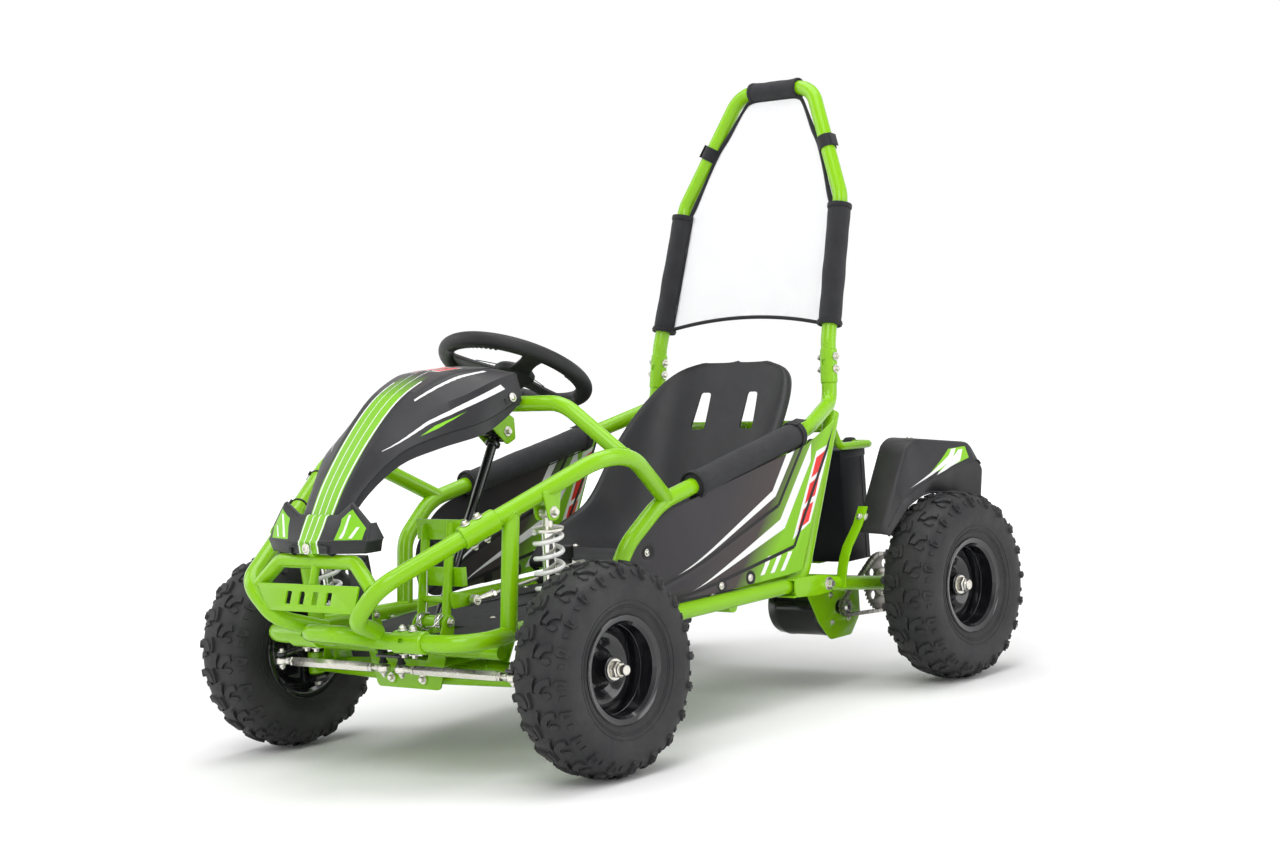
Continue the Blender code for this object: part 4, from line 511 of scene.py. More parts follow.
# a flat sheet part with broken edges
def slab(outline, thickness, plane, origin, holes=(), radius=0.0, edge=0.0004, turn=None):
    curve = bpy.data.curves.new("outline", "CURVE")
    curve.dimensions, curve.fill_mode = "2D", "BOTH"
    edge = min(edge, thickness * 0.3)
    curve.extrude, curve.offset = thickness / 2 - edge, -edge
    curve.bevel_depth, curve.bevel_resolution = edge, 1
    for line in [rounded(outline, radius) if radius else outline, *holes]:
        spline = curve.splines.new("POLY")
        spline.points.add(len(line) - 1)
        for point, place in zip(spline.points, line):
            point.co = (place[0], place[1], 0, 1)
        spline.use_cyclic_u = True
    guide = linked("guide", curve)
    mesh = bpy.data.meshes.new_from_object(guide.evaluated_get(bpy.context.evaluated_depsgraph_get()))
    bpy.data.objects.remove(guide)
    shape = bmesh.new()
    shape.from_mesh(mesh)
    matrix = planes[plane] if turn is None else turn @ planes[plane]
    shape.transform(Matrix.Translation(origin) @ matrix.to_4x4())
    return fromBmesh(shape)


def polar(radius, turn, centre=(0, 0)):
    return centre[0] + radius * cos(turn), centre[1] + radius * sin(turn)


def ringLine(centre, radius, count=24):
    return [polar(radius, 2 * pi * k / count, centre) for k in range(count)]


def doubled(half):                               # a profile or outline, and its mirror image back again
    return [*half, *((x, -y) for x, y in reversed(half))]


def joined(*shapes):
    points, faces = [], []
    for some, these in shapes:
        faces += [tuple(index + len(points) for index in face) for face in these]
        points += some
    return points, faces


def temporary(shape):
    mesh = bpy.data.meshes.new("temporary")
    mesh.from_pydata([tuple(point) for point in shape[0]], [], shape[1])
    return linked("temporary", mesh)


def baked(piece):                                # the evaluated mesh, as a shape; the helper goes away
    bpy.context.view_layer.update()
    mesh = bpy.data.meshes.new_from_object(piece.evaluated_get(bpy.context.evaluated_depsgraph_get()))
    shape = bmesh.new()
    shape.from_mesh(mesh)
    bpy.data.meshes.remove(mesh)
    bpy.data.objects.remove(piece)
    return fromBmesh(shape)


def carved(shape, *cutters):
    body, tools = temporary(shape), [temporary(cutter) for cutter in cutters]
    for tool in tools:
        modifier = body.modifiers.new("cut", "BOOLEAN")
        modifier.operation, modifier.object, modifier.solver = "DIFFERENCE", tool, "EXACT"
    result = baked(body)
    for tool in tools:
        bpy.data.objects.remove(tool)
    return result


def breakEdges(body, name, width, segments, angle):
    modifier = body.modifiers.new(name, "BEVEL")
    modifier.width, modifier.segments = width, segments
    modifier.limit_method, modifier.angle_limit = "ANGLE", radians(angle)


# a sheet of even thickness through rows of points
def shell(rows, thickness, edge=0.0, fold=0.0, foldAngle=14):
    across = len(rows[0])
    points = [point for row in rows for point in row]
    faces = [
        (r * across + c, r * across + c + 1, (r + 1) * across + c + 1, (r + 1) * across + c)
        for r in range(len(rows) - 1) for c in range(across - 1)
    ]
    body = temporary((points, faces))
    if fold:
        breakEdges(body, "fold", fold, 3, foldAngle)
    modifier = body.modifiers.new("wall", "SOLIDIFY")
    modifier.thickness, modifier.offset, modifier.use_even_offset = thickness, 0, True
    if edge:
        breakEdges(body, "edge", edge, 2, 50)
    return baked(body)


def makePiece(name, body, nodes, parts, crease=32):
    points, faces, looks, finishes = [], [], [], []
    for finish, *shapes in parts:
        if finish not in finishes:
            finishes.append(finish)
        for some, these in shapes:
            faces += [tuple(index + len(points) for index in face) for face in these]
            looks += [finishes.index(finish)] * len(these)
            points += some
    mesh = bpy.data.meshes.new(name)
    mesh.from_pydata([tuple(point) for point in points], [], faces)
    mesh.polygons.foreach_set("material_index", looks)
    for finish in finishes:
        mesh.materials.append(finish.material)
    shape = bmesh.new()
    shape.from_mesh(mesh)
    bmesh.ops.recalc_face_normals(shape, faces=shape.faces)
    shape.to_mesh(mesh)
    shape.free()
    mesh.shade_smooth()
    mesh.set_sharp_from_angle(angle=radians(crease))
    piece = linked(name, mesh)
    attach(piece, body)
    if nodes:
        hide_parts(*nodes)
    return piece


# geometry trees for what repeats
def newTree(name, *inputs):
    tree = bpy.data.node_groups.new(name, "GeometryNodeTree")
    tree.interface.new_socket("Geometry", in_out="INPUT", socket_type="NodeSocketGeometry")
    for label, kind, value in inputs:
        socket = tree.interface.new_socket(label, in_out="INPUT", socket_type=kind)
        if value is not None:
            socket.default_value = value
    tree.interface.new_socket("Geometry", in_out="OUTPUT", socket_type="NodeSocketGeometry")
    return tree, addNode(tree, "NodeGroupInput")


def named(tree, name, kind="FLOAT_VECTOR"):       # a point attribute's value
    return addNode(tree, "GeometryNodeInputNamedAttribute", dict(data_type=kind), {"Name": name}).outputs[0]


def levelled(tree, heading, up):                 # a rotation with X along the heading and Z nearest up
    turn = addNode(tree, "FunctionNodeAlignRotationToVector", dict(axis="X"), {"Vector": heading})
    values = {"Rotation": turn.outputs[0], "Vector": up}
    return addNode(tree, "FunctionNodeAlignRotationToVector", dict(axis="Z", pivot_axis="X"),
        values).outputs[0]


def closeTree(tree, given, points, rotation, scale=None):   # a copy of the shape on each point
    copy = addNode(tree, "GeometryNodeObjectInfo", {}, {"Object": given.outputs["Shape"]})
    values = {"Points": points, "Instance": copy.outputs["Geometry"], "Rotation": rotation, "Scale": scale}
    instances = addNode(tree, "GeometryNodeInstanceOnPoints", {}, values)
    real = addNode(tree, "GeometryNodeRealizeInstances", {}, (instances.outputs[0],))
    painted = addNode(tree, "GeometryNodeSetMaterial", {}, {"Geometry": real.outputs[0],
        "Material": given.outputs["Finish"]})
    addNode(tree, "NodeGroupOutput", {}, (painted.outputs[0],))
    return tree


def scatterTree():                               # a head on every point, turned to the point's facing
    tree, given = newTree("fastenerScatter", ("Shape", "NodeSocketObject", None),
        ("Finish", "NodeSocketMaterial", None))
    turn = addNode(tree, "FunctionNodeAlignRotationToVector", dict(axis="Z"),
        {"Vector": named(tree, "facing")})
    grade = named(tree, "grade", "FLOAT")
    return closeTree(tree, given, given.outputs["Geometry"], turn.outputs[0], grade)


def ringTree():                                  # a shape repeated round the X axis
    tree, given = newTree("roundTheAxle", ("Shape", "NodeSocketObject", None),
        ("Count", "NodeSocketInt", 12), ("Finish", "NodeSocketMaterial", None))
    places = addNode(tree, "GeometryNodeMeshLine", dict(mode="OFFSET"),
        {"Count": given.outputs["Count"], "Offset": (0, 0, 0)})
    order = addNode(tree, "GeometryNodeInputIndex")
    step = addNode(tree, "ShaderNodeMath", dict(operation="DIVIDE"), (2 * pi, given.outputs["Count"]))
    angle = addNode(tree, "ShaderNodeMath", dict(operation="MULTIPLY"), (order.outputs[0], step.outputs[0]))
    turn = addNode(tree, "ShaderNodeCombineXYZ", {}, (angle.outputs[0],))
    return closeTree(tree, given, places.outputs[0], turn.outputs[0])


def lineTree():                                  # a shape repeated along a path, headed along it
    tree, given = newTree("alongThePath", ("Shape", "NodeSocketObject", None),
        ("Pitch", "NodeSocketFloat", 0.008), ("Finish", "NodeSocketMaterial", None))
    line = addNode(tree, "GeometryNodeMeshToCurve", {}, (given.outputs["Geometry"],))
    length = addNode(tree, "GeometryNodeCurveLength", {}, (line.outputs[0],))
    count = addNode(tree, "ShaderNodeMath", dict(operation="DIVIDE"),
        (length.outputs[0], given.outputs["Pitch"]))
    whole = addNode(tree, "ShaderNodeMath", dict(operation="ROUND"), (count.outputs[0],))
    places = addNode(tree, "GeometryNodeResampleCurve", {}, {"Curve": line.outputs[0],
        "Count": whole.outputs[0]})
    heading = addNode(tree, "GeometryNodeInputTangent").outputs[0]
    return closeTree(tree, given, places.outputs[0], levelled(tree, heading, named(tree, "facing")))


def linkTree():                                  # a link between each pin and the next
    tree, given = newTree("linksOnPins", ("Shape", "NodeSocketObject", None),
        ("Finish", "NodeSocketMaterial", None))
    turn = levelled(tree, named(tree, "heading"), named(tree, "facing"))
    return closeTree(tree, given, given.outputs["Geometry"], turn)


trees = dict(scatter=scatterTree(), ring=ringTree(), line=lineTree(), links=linkTree())


def grown(tree, start, shape, finish, **inputs): # repeats a shape on a start mesh, as the tree says
    template, carrier = temporary(shape), linked("carrier", start)
    modifier = carrier.modifiers.new("grow", "NODES")
    modifier.node_group = trees[tree]
    sockets = {item.name: item.identifier
        for item in trees[tree].interface.items_tree if item.in_out == "INPUT"}
    inputs.update(Shape=template, Finish=finish.material)
    for label, value in inputs.items():
        modifier[sockets[label]] = value
    result = baked(carrier)
    bpy.data.objects.remove(template)
    return result


def pointMesh(places, facings, grades=None, ring=False):
    mesh = bpy.data.meshes.new("points")
    edges = [(k, (k + 1) % len(places)) for k in range(len(places))] if ring else []
    mesh.from_pydata([tuple(place) for place in places], edges, [])
    mesh.attributes.new("facing", "FLOAT_VECTOR", "POINT").data.foreach_set("vector",
        [c for f in facings for c in f])
    mesh.attributes.new("grade", "FLOAT", "POINT").data.foreach_set("value",
        list(grades or [1.0] * len(places)))
    return mesh


def around(shape, count, finish):                # repeats a shape round the X axis
    return grown("ring", pointMesh([Vector()], [xAxis]), shape, finish, Count=count)


# fasteners: gathered while the pieces are made, and scattered at the end
def upright(profile, count):
    return turned(profile, (0, 0, 0), (0, 0, 1), count)


heads = dict(
    bolt=joined(
        upright(mm((0, 7.5), (2.2, 7.5), (4.5, 7.7), (5.4, 6.8), (5.4, 1.8), (7.8, 1.2), (8, 0.2),
            (0, 0)), 6),
        upright(mm((0, 1.7), (8.6, 1.6), (9.2, 1), (9.2, 0), (0, 0)), 20)),
    nut=joined(
        upright(mm((0, 10), (3.4, 10), (3.7, 9.6), (3.7, 7), (0, 7)), 16),
        upright(mm((0, 7.8), (4.8, 7.8), (5.2, 7.2), (6.2, 5.8), (6.6, 5), (6.6, 1.2), (0, 1.2)), 6),
        upright(mm((0, 1.6), (8.2, 1.6), (8.6, 1.2), (8.6, 0), (0, 0)), 20)),
    button=joined(
        upright(mm((0, 2.2), (2.2, 2), (2.4, 4.4), (4.6, 3.8), (6.2, 2.2), (6.6, 1), (0, 1)), 20),
        upright(mm((0, 1.4), (8.8, 1.4), (9.2, 1), (9.2, 0), (0, 0)), 20)),
)
fasteners = {}


def fasten(body, kind, place, facing, grade):
    fasteners.setdefault((body, kind), []).append((Vector(place), Vector(facing).normalized(), grade))


def throughBolt(body, place, facing, half, grade):   # a head on one side and a nut on the other
    facing = Vector(facing).normalized()
    fasten(body, "bolt", place + facing * half, facing, grade)
    fasten(body, "nut", place - facing * half, -facing, grade)


def makeFasteners():
    for (body, kind), spots in fasteners.items():
        shape = grown("scatter", pointMesh(*zip(*spots)), heads[kind], zinc)
        makePiece(f"{body}_{kind}s", body, (), [(zinc, shape)], 28)


# frame tubes
tubes = dict(frame=0.0135, dash=0.0125, bumper=0.0115, cross=0.0110, sleeve=0.0177, socket=0.0152,
    sleeveLength=0.062, weld=0.0019)


def railLine(side):
    corners = [front(side * x, y, z) for x, y, z in ((0.085, -0.1655, 0.055), (0.242, -0.160, 0.055),
        (0.200, 0.004, 0.055), (0.216, 0.134, 0.050), (0.260, 0.264, 0.038))]
    corners += [rear(side * 0.262, -0.299, 0.041), rear(side * 0.205, -0.102, 0.313)]
    return bend(corners, [0.055, 0.12, 0.15, 0.15, 0.070])


def hoopSocket(side):
    return rear(side * 0.202, -0.102, 0.332), rear(side * 0.1965, -0.088, 0.426)


def waistKnee(side):
    return front(side * 0.261, 0.262, 0.219)


def waistLine(side):
    low, top = hoopSocket(side)
    corners = [front(side * 0.222, 0.146, 0.049), front(side * 0.2515, 0.186, 0.160), waistKnee(side),
               rear(side * 0.243, -0.224, 0.298), low, top]
    return bend(corners, [0.07, 0.12, 0.2, 0.035])


def upperStart(side):
    return front(side * 0.2045, -0.129, 0.209)


def upperCorner(side):
    return front(side * 0.321, 0.115, 0.326)


def upperEnd(side):                              # on the middle line of the waist tube
    return front(side * 0.2602, 0.277, 0.2235)


def upperLine(side):
    start = toward(upperStart(side), upperCorner(side), 0.030)
    return bend([start, upperCorner(side), upperEnd(side)], [0.11])


def dashLine():
    corner = upperCorner(1)
    line = bend([toward(upperStart(1), corner, 0.048), corner, upperEnd(1)], [0.11], 24)
    apex = min(line, key=lambda point: (point - corner).length)
    return bend(mirrored([apex, front(0.203, 0.114, 0.392)]), [0.07, 0.07])


def hoopLine():
    low, top = hoopSocket(1)
    left = [toward(top, low, 0.045), toward(low, top, (top - low).length + 0.016),
        rear(0.181, -0.0014, 0.697), rear(0.083, 0.0645, 0.901)]
    return bend(mirrored(left), [0.06, 0.06, 0.05, 0.05, 0.06, 0.06])


def lineGap(points, line):                       # distance from each point to a broken line
    line = np.array([tuple(point) for point in line])
    a, b = line[:-1], line[1:]
    span = b - a
    share = ((points[:, None] - a) * span).sum(-1) / (span * span).sum(-1)
    near = a + np.clip(share, 0, 1)[..., None] * span
    return np.linalg.norm(points[:, None] - near, axis=-1).min(1)


def frameTube(path):
    return tube(path, tubes["frame"], 28)


# the bead where a tube's end meets another tube
def weld(end, inside, line, radius=tubes["frame"], lineRadius=tubes["frame"], reach=0.10):
    count = 36
    end, inside = Vector(end), Vector(inside)
    heading = (end - inside).normalized()
    spoke = spokesOf(heading)
    ring = []
    steps = np.linspace(0, reach, 160)
    for k in range(count):
        start = end - heading * reach * 0.7 + spoke(2 * pi * k / count) * radius
        march = np.array(start)[None] + steps[:, None] * np.array(heading)[None]
        hit = np.nonzero(lineGap(march, line) < lineRadius)[0]
        if not len(hit):
            return [], []
        ring.append(Vector(march[hit[0]]))
    bead = [tubes["weld"] * (1 + 0.16 * sin(k * 2.4)) for k in range(count)]
    return tube(ring, bead, 8, True)


def sleeve(mouth, inward, slotted, wall=tubes["sleeve"]):   # with a slot toward the given side
    radius, length, edge = tubes["frame"], tubes["sleeveLength"], 0.0008
    profile = [(radius + 0.0002, 0), (wall - edge, 0), (wall, edge), (wall, length - 0.003),
        (wall - 0.0022, length), (radius - 0.001, length), (radius - 0.001, length - 0.004),
        (radius + 0.0002, length - 0.004)]
    shape = turned(profile, mouth, inward - mouth, 32, True)
    heading = (inward - mouth).normalized()
    out = Vector(slotted)
    out = (out - heading * out.dot(heading)).normalized()
    turn = Matrix((heading, heading.cross(out), out)).transposed()
    return carved(shape, block(mouth + heading * 0.024 + out * wall, (0.010, 0.0065, 0.010), turn, 0.0005))


def sleeveBolts(body, mouth, inward, facing, wall=tubes["sleeve"]):
    heading = (inward - mouth).normalized()
    facing = Vector(facing)
    facing = (facing - heading * facing.dot(heading)).normalized()
    for distance in (0.014, 0.036):
        throughBolt(body, mouth + heading * distance, facing, wall, 0.85)


def plates(outline, middle, spread, radius=0.004):   # two plates of 3 mm, side by side
    return [slab(outline, 0.003, "YZ", middle + xAxis * half * spread, radius=radius) for half in (-1, 1)]


def shockEars(eye, up=1, reach=0.034, foot=0.020):
    left = [(-foot, up * reach), (-0.0115, up * -0.008), (-0.006, up * -0.0125)]
    return plates(left + [(-y, z) for y, z in reversed(left)], eye, 0.0130)


def makeRails():
    for name, side in sides:
        rail, waist, upper = railLine(side), waistLine(side), upperLine(side)
        start, corner = front(side * 0.085, -0.1655, 0.055), front(side * 0.242, -0.160, 0.055)
        pivot = rear(side * 0.262, -0.244, 0.033)
        rail[0] = toward(start, corner, 0.040)
        cheek = mm((-94, -11), (-94, 21), (-30, 19), (8, 14), (15, 0), (8, -14), (-30, -16))
        cheeks = plates(cheek, pivot, 0.0183, 0.010)
        web = block(pivot + Vector((0, -0.075, 0.0185)), (0.0375, 0.044, 0.003))
        foot = block(pivot + Vector((0, -0.082, -0.010)), (0.0375, 0.030, 0.003))
        makePiece(f"side_rail_{name}_tube", "chassis", [f"side_rail_{name}"],
            [(greenPaint, frameTube(rail), sleeve(start, corner, (0, -1, 0.3)), *cheeks, web, foot,
            weld(rail[-1], rail[-2], waist))])
        throughBolt("chassis", pivot, (side, 0, 0), 0.0198, 1.25)
        sleeveBolts("chassis", start, corner, (0, 0, -1))
        low, top = hoopSocket(side)
        socket = waist[:-1] + [toward(top, low, 0.048)]
        makePiece(f"waist_tube_{name}_tube", "chassis", [f"waist_tube_{name}"],
            [(greenPaint, frameTube(socket), sleeve(top, low, (0, -1, 0), tubes["socket"]),
            weld(waist[0], waist[1], rail))])
        sleeveBolts("chassis", top, low, (1, 0, 0), tubes["socket"])
        mouth, corner = upperStart(side), upperCorner(side)
        foot, head = front(side * 0.2154, -0.056, 0.055), mouth.lerp(corner, 0.299)
        eye = front(side * 0.261, -0.001, 0.235)
        seam = [upper[-1], upper[-2]]
        makePiece(f"upper_tube_{name}_tube", "chassis", [f"upper_tube_{name}"],
            [(greenPaint, frameTube(upper), frameTube([foot, head]),
            sleeve(mouth, corner, (0, 0, -1)), weld(*seam, waist), weld(foot, head, rail),
            weld(head, foot, upper), *shockEars(eye))])
        sleeveBolts("chassis", mouth, corner, (0.3, 0.4, 1))
        throughBolt("chassis", eye, (side, 0, 0), 0.0145, 1.0)


def makeNose():
    parts = []
    hoopEnd = bend(mirrored([front(0.126, -0.246, 0.147), front(0.083, -0.236, 0.185)]), [0.022, 0.022])
    bow = bend(mirrored([toward(front(0.085, -0.1655, 0.055), front(0.242, -0.160, 0.055), 0.035),
        front(0.048, -0.1668, 0.055), front(0.046, -0.236, 0.075)]), [0.024, 0.030, 0.030, 0.024])
    for side in (1, -1):
        start, corner = upperStart(side), upperCorner(side)
        swept = [toward(start, corner, 0.045), toward(start, corner, -0.1475),
            front(side * 0.088, -0.252, 0.097), front(side * 0.056, -0.178, 0.070)]
        swept[1].y = swept[2].y
        line = bend(swept, [0.055, 0.045])
        parts += [frameTube(line), weld(line[-1], line[-2], bow)]
        arm = hoopEnd if side > 0 else hoopEnd[::-1]
        parts.append(weld(arm[0], arm[1], line, tubes["bumper"], reach=0.06))
    face = mm((-98, 111), (98, 111), (114, 153), (-114, 153))
    slots = [[(x, 0.122), (x + 0.012, 0.122), (x + 0.020, 0.142), (x + 0.008, 0.142)]
        for x in (-0.055, -0.025, 0.005, 0.035)]
    plate = slab(face, 0.004, "XZ", front(0, -0.259, 0), [rounded(slot, 0.0015, 2) for slot in slots],
        0.004, 0.0006)
    parts += [frameTube(bow), tube(hoopEnd, tubes["bumper"], 28), plate,
        tube([front(0, -0.238, 0.185), front(0, -0.2555, 0.130)], 0.007, 20)]
    lug = mm((-250, 196), (-250, 214), (-236, 214), (-236, 186))
    parts.append(slab(lug, 0.012, "YZ", front(0, 0, 0), radius=0.003))
    makePiece("front_frame_tubes", "chassis", ["front_frame"], [(greenPaint, *parts)])


def makeDashHoop():
    line = dashLine()
    parts = [tube(line, tubes["dash"], 28)]
    for end, inside, side in ((line[0], line[1], 1), (line[-1], line[-2], -1)):
        parts.append(weld(end, inside, upperLine(side), tubes["dash"]))
    cheek = mm((94, 392), (104, 404), (132, 398), (188, 364), (188, 330), (168, 322), (112, 376))
    parts += plates(cheek, front(0, 0, 0), 0.0235, 0.006)
    turn = Matrix.Rotation(-tilt, 3, "X")
    housing = block(column(0.315), (0.0455, 0.034, 0.026), turn, 0.004)
    makePiece("dash_hoop_tube", "chassis", ["dash_hoop"], [(greenPaint, *parts), (glossBlack, housing)])
    throughBolt("chassis", column(0.315), (1, 0, 0), 0.025, 0.9)
    throughBolt("chassis", front(0, 0.122, 0.388), (1, 0, 0), 0.025, 0.8)


tilt = radians(29.7)


def column(distance):
    return front(0, 0.014, 0.070) + Vector((0, sin(tilt), cos(tilt))) * distance


makeRails()
makeNose()
makeDashHoop()
makePiece("roll_hoop_tube", "chassis", ["roll_hoop"], [(greenPaint, frameTube(hoopLine()))])
print("frame tubes made")


# floor frame, rear frame and pedals
pedals = dict(brakeX=0.050, brakePivot=(-0.051, 0.067), half=0.050, throttleX=-0.085,
    throttlePivot=(-0.062, 0.074))
cylinderX = pedals["brakeX"] + pedals["half"]


def makeFloorFrame():
    cross = tubes["cross"]
    parts = [block(front(0, -0.066, 0.0355), (0.150, 0.012, 0.009))]
    for side in (1, -1):
        rail = railLine(side)
        parts.append(tube([front(side * 0.208, -0.066, 0.027), front(side * 0.062, -0.066, 0.027)], cross))
        for y in (-0.066, 0.094, 0.434):
            reach = 0.262 if y > 0.3 else 0.215
            parts.append(weld(front(side * reach, y, 0.027), front(0, y, 0.027), rail, cross))
        parts.append(tube([front(side * 0.085, -0.062, 0.027), front(side * 0.085, 0.430, 0.027)], 0.009))
        for y in (-0.066, 0.094):
            parts.append(collar(front(side * 0.035, y - 0.0035, -0.022),
                front(side * 0.035, y + 0.0035, -0.022), 0.004, 0.0095))
        throughBolt("chassis", front(side * 0.035, 0.014, -0.022), (0, -1, 0), 0.0835, 0.85)
        parts.append(pin(front(side * 0.035, -0.068, -0.022), front(side * 0.035, 0.096, -0.022), 0.005))
    parts += [tube([front(-0.208, 0.094, 0.027), front(0.208, 0.094, 0.027)], cross),
        tube([front(-0.256, 0.434, 0.027), front(0.256, 0.434, 0.027)], cross)]
    window = rounded(mm((-48, 8), (48, 8), (48, 32.5), (-48, 32.5)), 0.006)
    parts.append(slab(mm((-92, 38), (-70, -38), (70, -38), (92, 38)), 0.003, "XZ", front(0, -0.066, 0),
        [window], 0.010))
    parts.append(slab(mm((-88, 30), (-55, -38), (55, -38), (88, 30)), 0.003, "XZ", front(0, 0.094, 0),
        radius=0.010))
    parts.append(slab(mm((-24, 94), (-14, 0), (14, 0), (24, 94)), 0.004, "XY", front(0, 0, 0.033)))
    parts.append(collar(column(-0.041), column(-0.019), 0.0088, 0.0150, 0.0015))
    pivot = front(pedals["brakeX"], *pedals["brakePivot"])
    y = pedals["brakePivot"][0]
    ear = [(y - 0.030, 0.027), (y - 0.012, 0.070), (y - 0.004, 0.078), (y + 0.006, 0.078),
        (y + 0.012, 0.070), (y + 0.004, 0.027)]
    parts += plates(ear, front(pedals["brakeX"], 0, 0), 0.033, 0.005)
    throughBolt("chassis", pivot, (1, 0, 0), 0.0365, 0.8)
    parts.append(pin(pivot - xAxis * 0.038, pivot + xAxis * 0.038, 0.005))
    ear = mm((-78, 27), (-70, 76.2), (-66, 82.2), (-58, 82.2), (-54, 76.2), (-46, 27))
    parts += plates(ear, front(pedals["throttleX"], 0, 0), 0.0165, 0.005)
    throughBolt("chassis", front(pedals["throttleX"], *pedals["throttlePivot"]), (1, 0, 0), 0.018, 0.65)
    start, end = front(cylinderX, 0.150, 0.110), front(cylinderX, 0.250, 0.119)
    bracket = mm((160, 43.8), (160, 112), (215, 116), (215, 43.8))
    parts.append(slab(bracket, 0.004, "YZ", front(cylinderX, 0, 0), radius=0.006))
    parts.append(slab(mm((170, 23), (170, 60), (190, 60), (190, 23)), 0.004, "YZ", front(cylinderX, 0, 0)))
    parts.append(block(front(0.093, 0.180, 0.027), (0.018, 0.018, 0.008)))
    heading = (end - start).normalized()
    bore = turned(mm((0, 0), (8.5, 0), (8.5, 6), (11.8, 8), (12, 72), (9, 76), (7, 98), (5.5, 101),
        (0, 101)), start, heading, 28)
    neck = toward(start, end, 0.060)
    pot = turned(mm((0, 0), (7.5, 0), (7.5, 16), (10.5, 18), (10.8, 31), (11.3, 32), (11.3, 37),
        (9.5, 38.5), (0, 38.5)), neck, zAxis, 28)
    bellows = [(0.0085 if k % 2 else 0.0065, -0.012 + k * 0.002) for k in range(7)]
    makePiece("floor_frame_ladder", "chassis", ["floor_frame"],
        [(greenPaint, *parts), (zinc, bore), (satinBlack, pot),
        (softRubber, turned([(0, -0.012), *bellows, (0, 0.0)], start, heading, 24))])
    for y in (0.172, 0.202):
        throughBolt("chassis", front(cylinderX, y, 0.104), (1, 0, 0), 0.004, 0.65)


def makeRearFrame():
    lowY, backY, lowZ, highZ, rackZ = -0.352, -0.094, 0.0405, 0.290, 0.252
    parts = [tube([rear(-0.252, lowY, lowZ), rear(0.252, lowY, lowZ)], 0.011),
        tube([rear(-0.198, backY, highZ), rear(0.198, backY, highZ)], 0.011)]
    for side in (1, -1):
        parts.append(weld(rear(side * 0.262, lowY, lowZ), rear(0, lowY, lowZ), railLine(side), 0.011))
        parts.append(weld(rear(side * 0.206, backY, highZ), rear(0, backY, highZ), railLine(side), 0.011))
        corners = [rear(side * 0.100, lowY, lowZ), rear(side * 0.100, -0.219, lowZ),
            rear(side * 0.100, backY, highZ)]
        parts.append(tube(bend(corners, [0.05]), 0.0095))
        behind, under = 0.0083 + 0.0015, 0.0427 - 0.0015
        strap = [(behind - 0.0015, rackZ + 0.002), (behind - 0.0015, under + 0.0015),
            (-0.066, under + 0.0015), (-0.066, under - 0.0015), (behind + 0.0015, under - 0.0015),
            (behind + 0.0015, rackZ + 0.002)]
        parts.append(slab(strap, 0.020, "YZ", rear(side * 0.120, 0, 0)))
    left = [rear(0.2005, backY, highZ - 0.010), rear(0.2005, -0.080, rackZ),
        rear(0.2005, 0.020, rackZ - 0.004)]
    parts.append(tube(bend(mirrored(left), [0.02] * 4), 0.007))
    eye = rear(0, -0.109, 0.235)
    ear = mm((-14, -2), (-6, -12.5), (6, -12.5), (14, -2), (28, 58), (6, 66))
    parts += plates(ear, eye, 0.0125)
    throughBolt("chassis", eye, (1, 0, 0), 0.014, 1.0)
    pads = [tube([rear(side * 0.060, 0.020, rackZ - 0.004), rear(side * 0.095, 0.020, rackZ - 0.004)],
        0.0095) for side in (1, -1)]
    makePiece("rear_frame_tubes", "chassis", ["rear_frame"], [(greenPaint, *parts), (softRubber, *pads)])


def wireCoil(centre, axis, radius, turns, pitch):
    spoke, count = spokesOf(axis), round(turns * 20)
    return [centre + axis * pitch * turns * (k / count - 0.5) + spoke(2 * pi * turns * k / count) * radius
        for k in range(count + 1)]


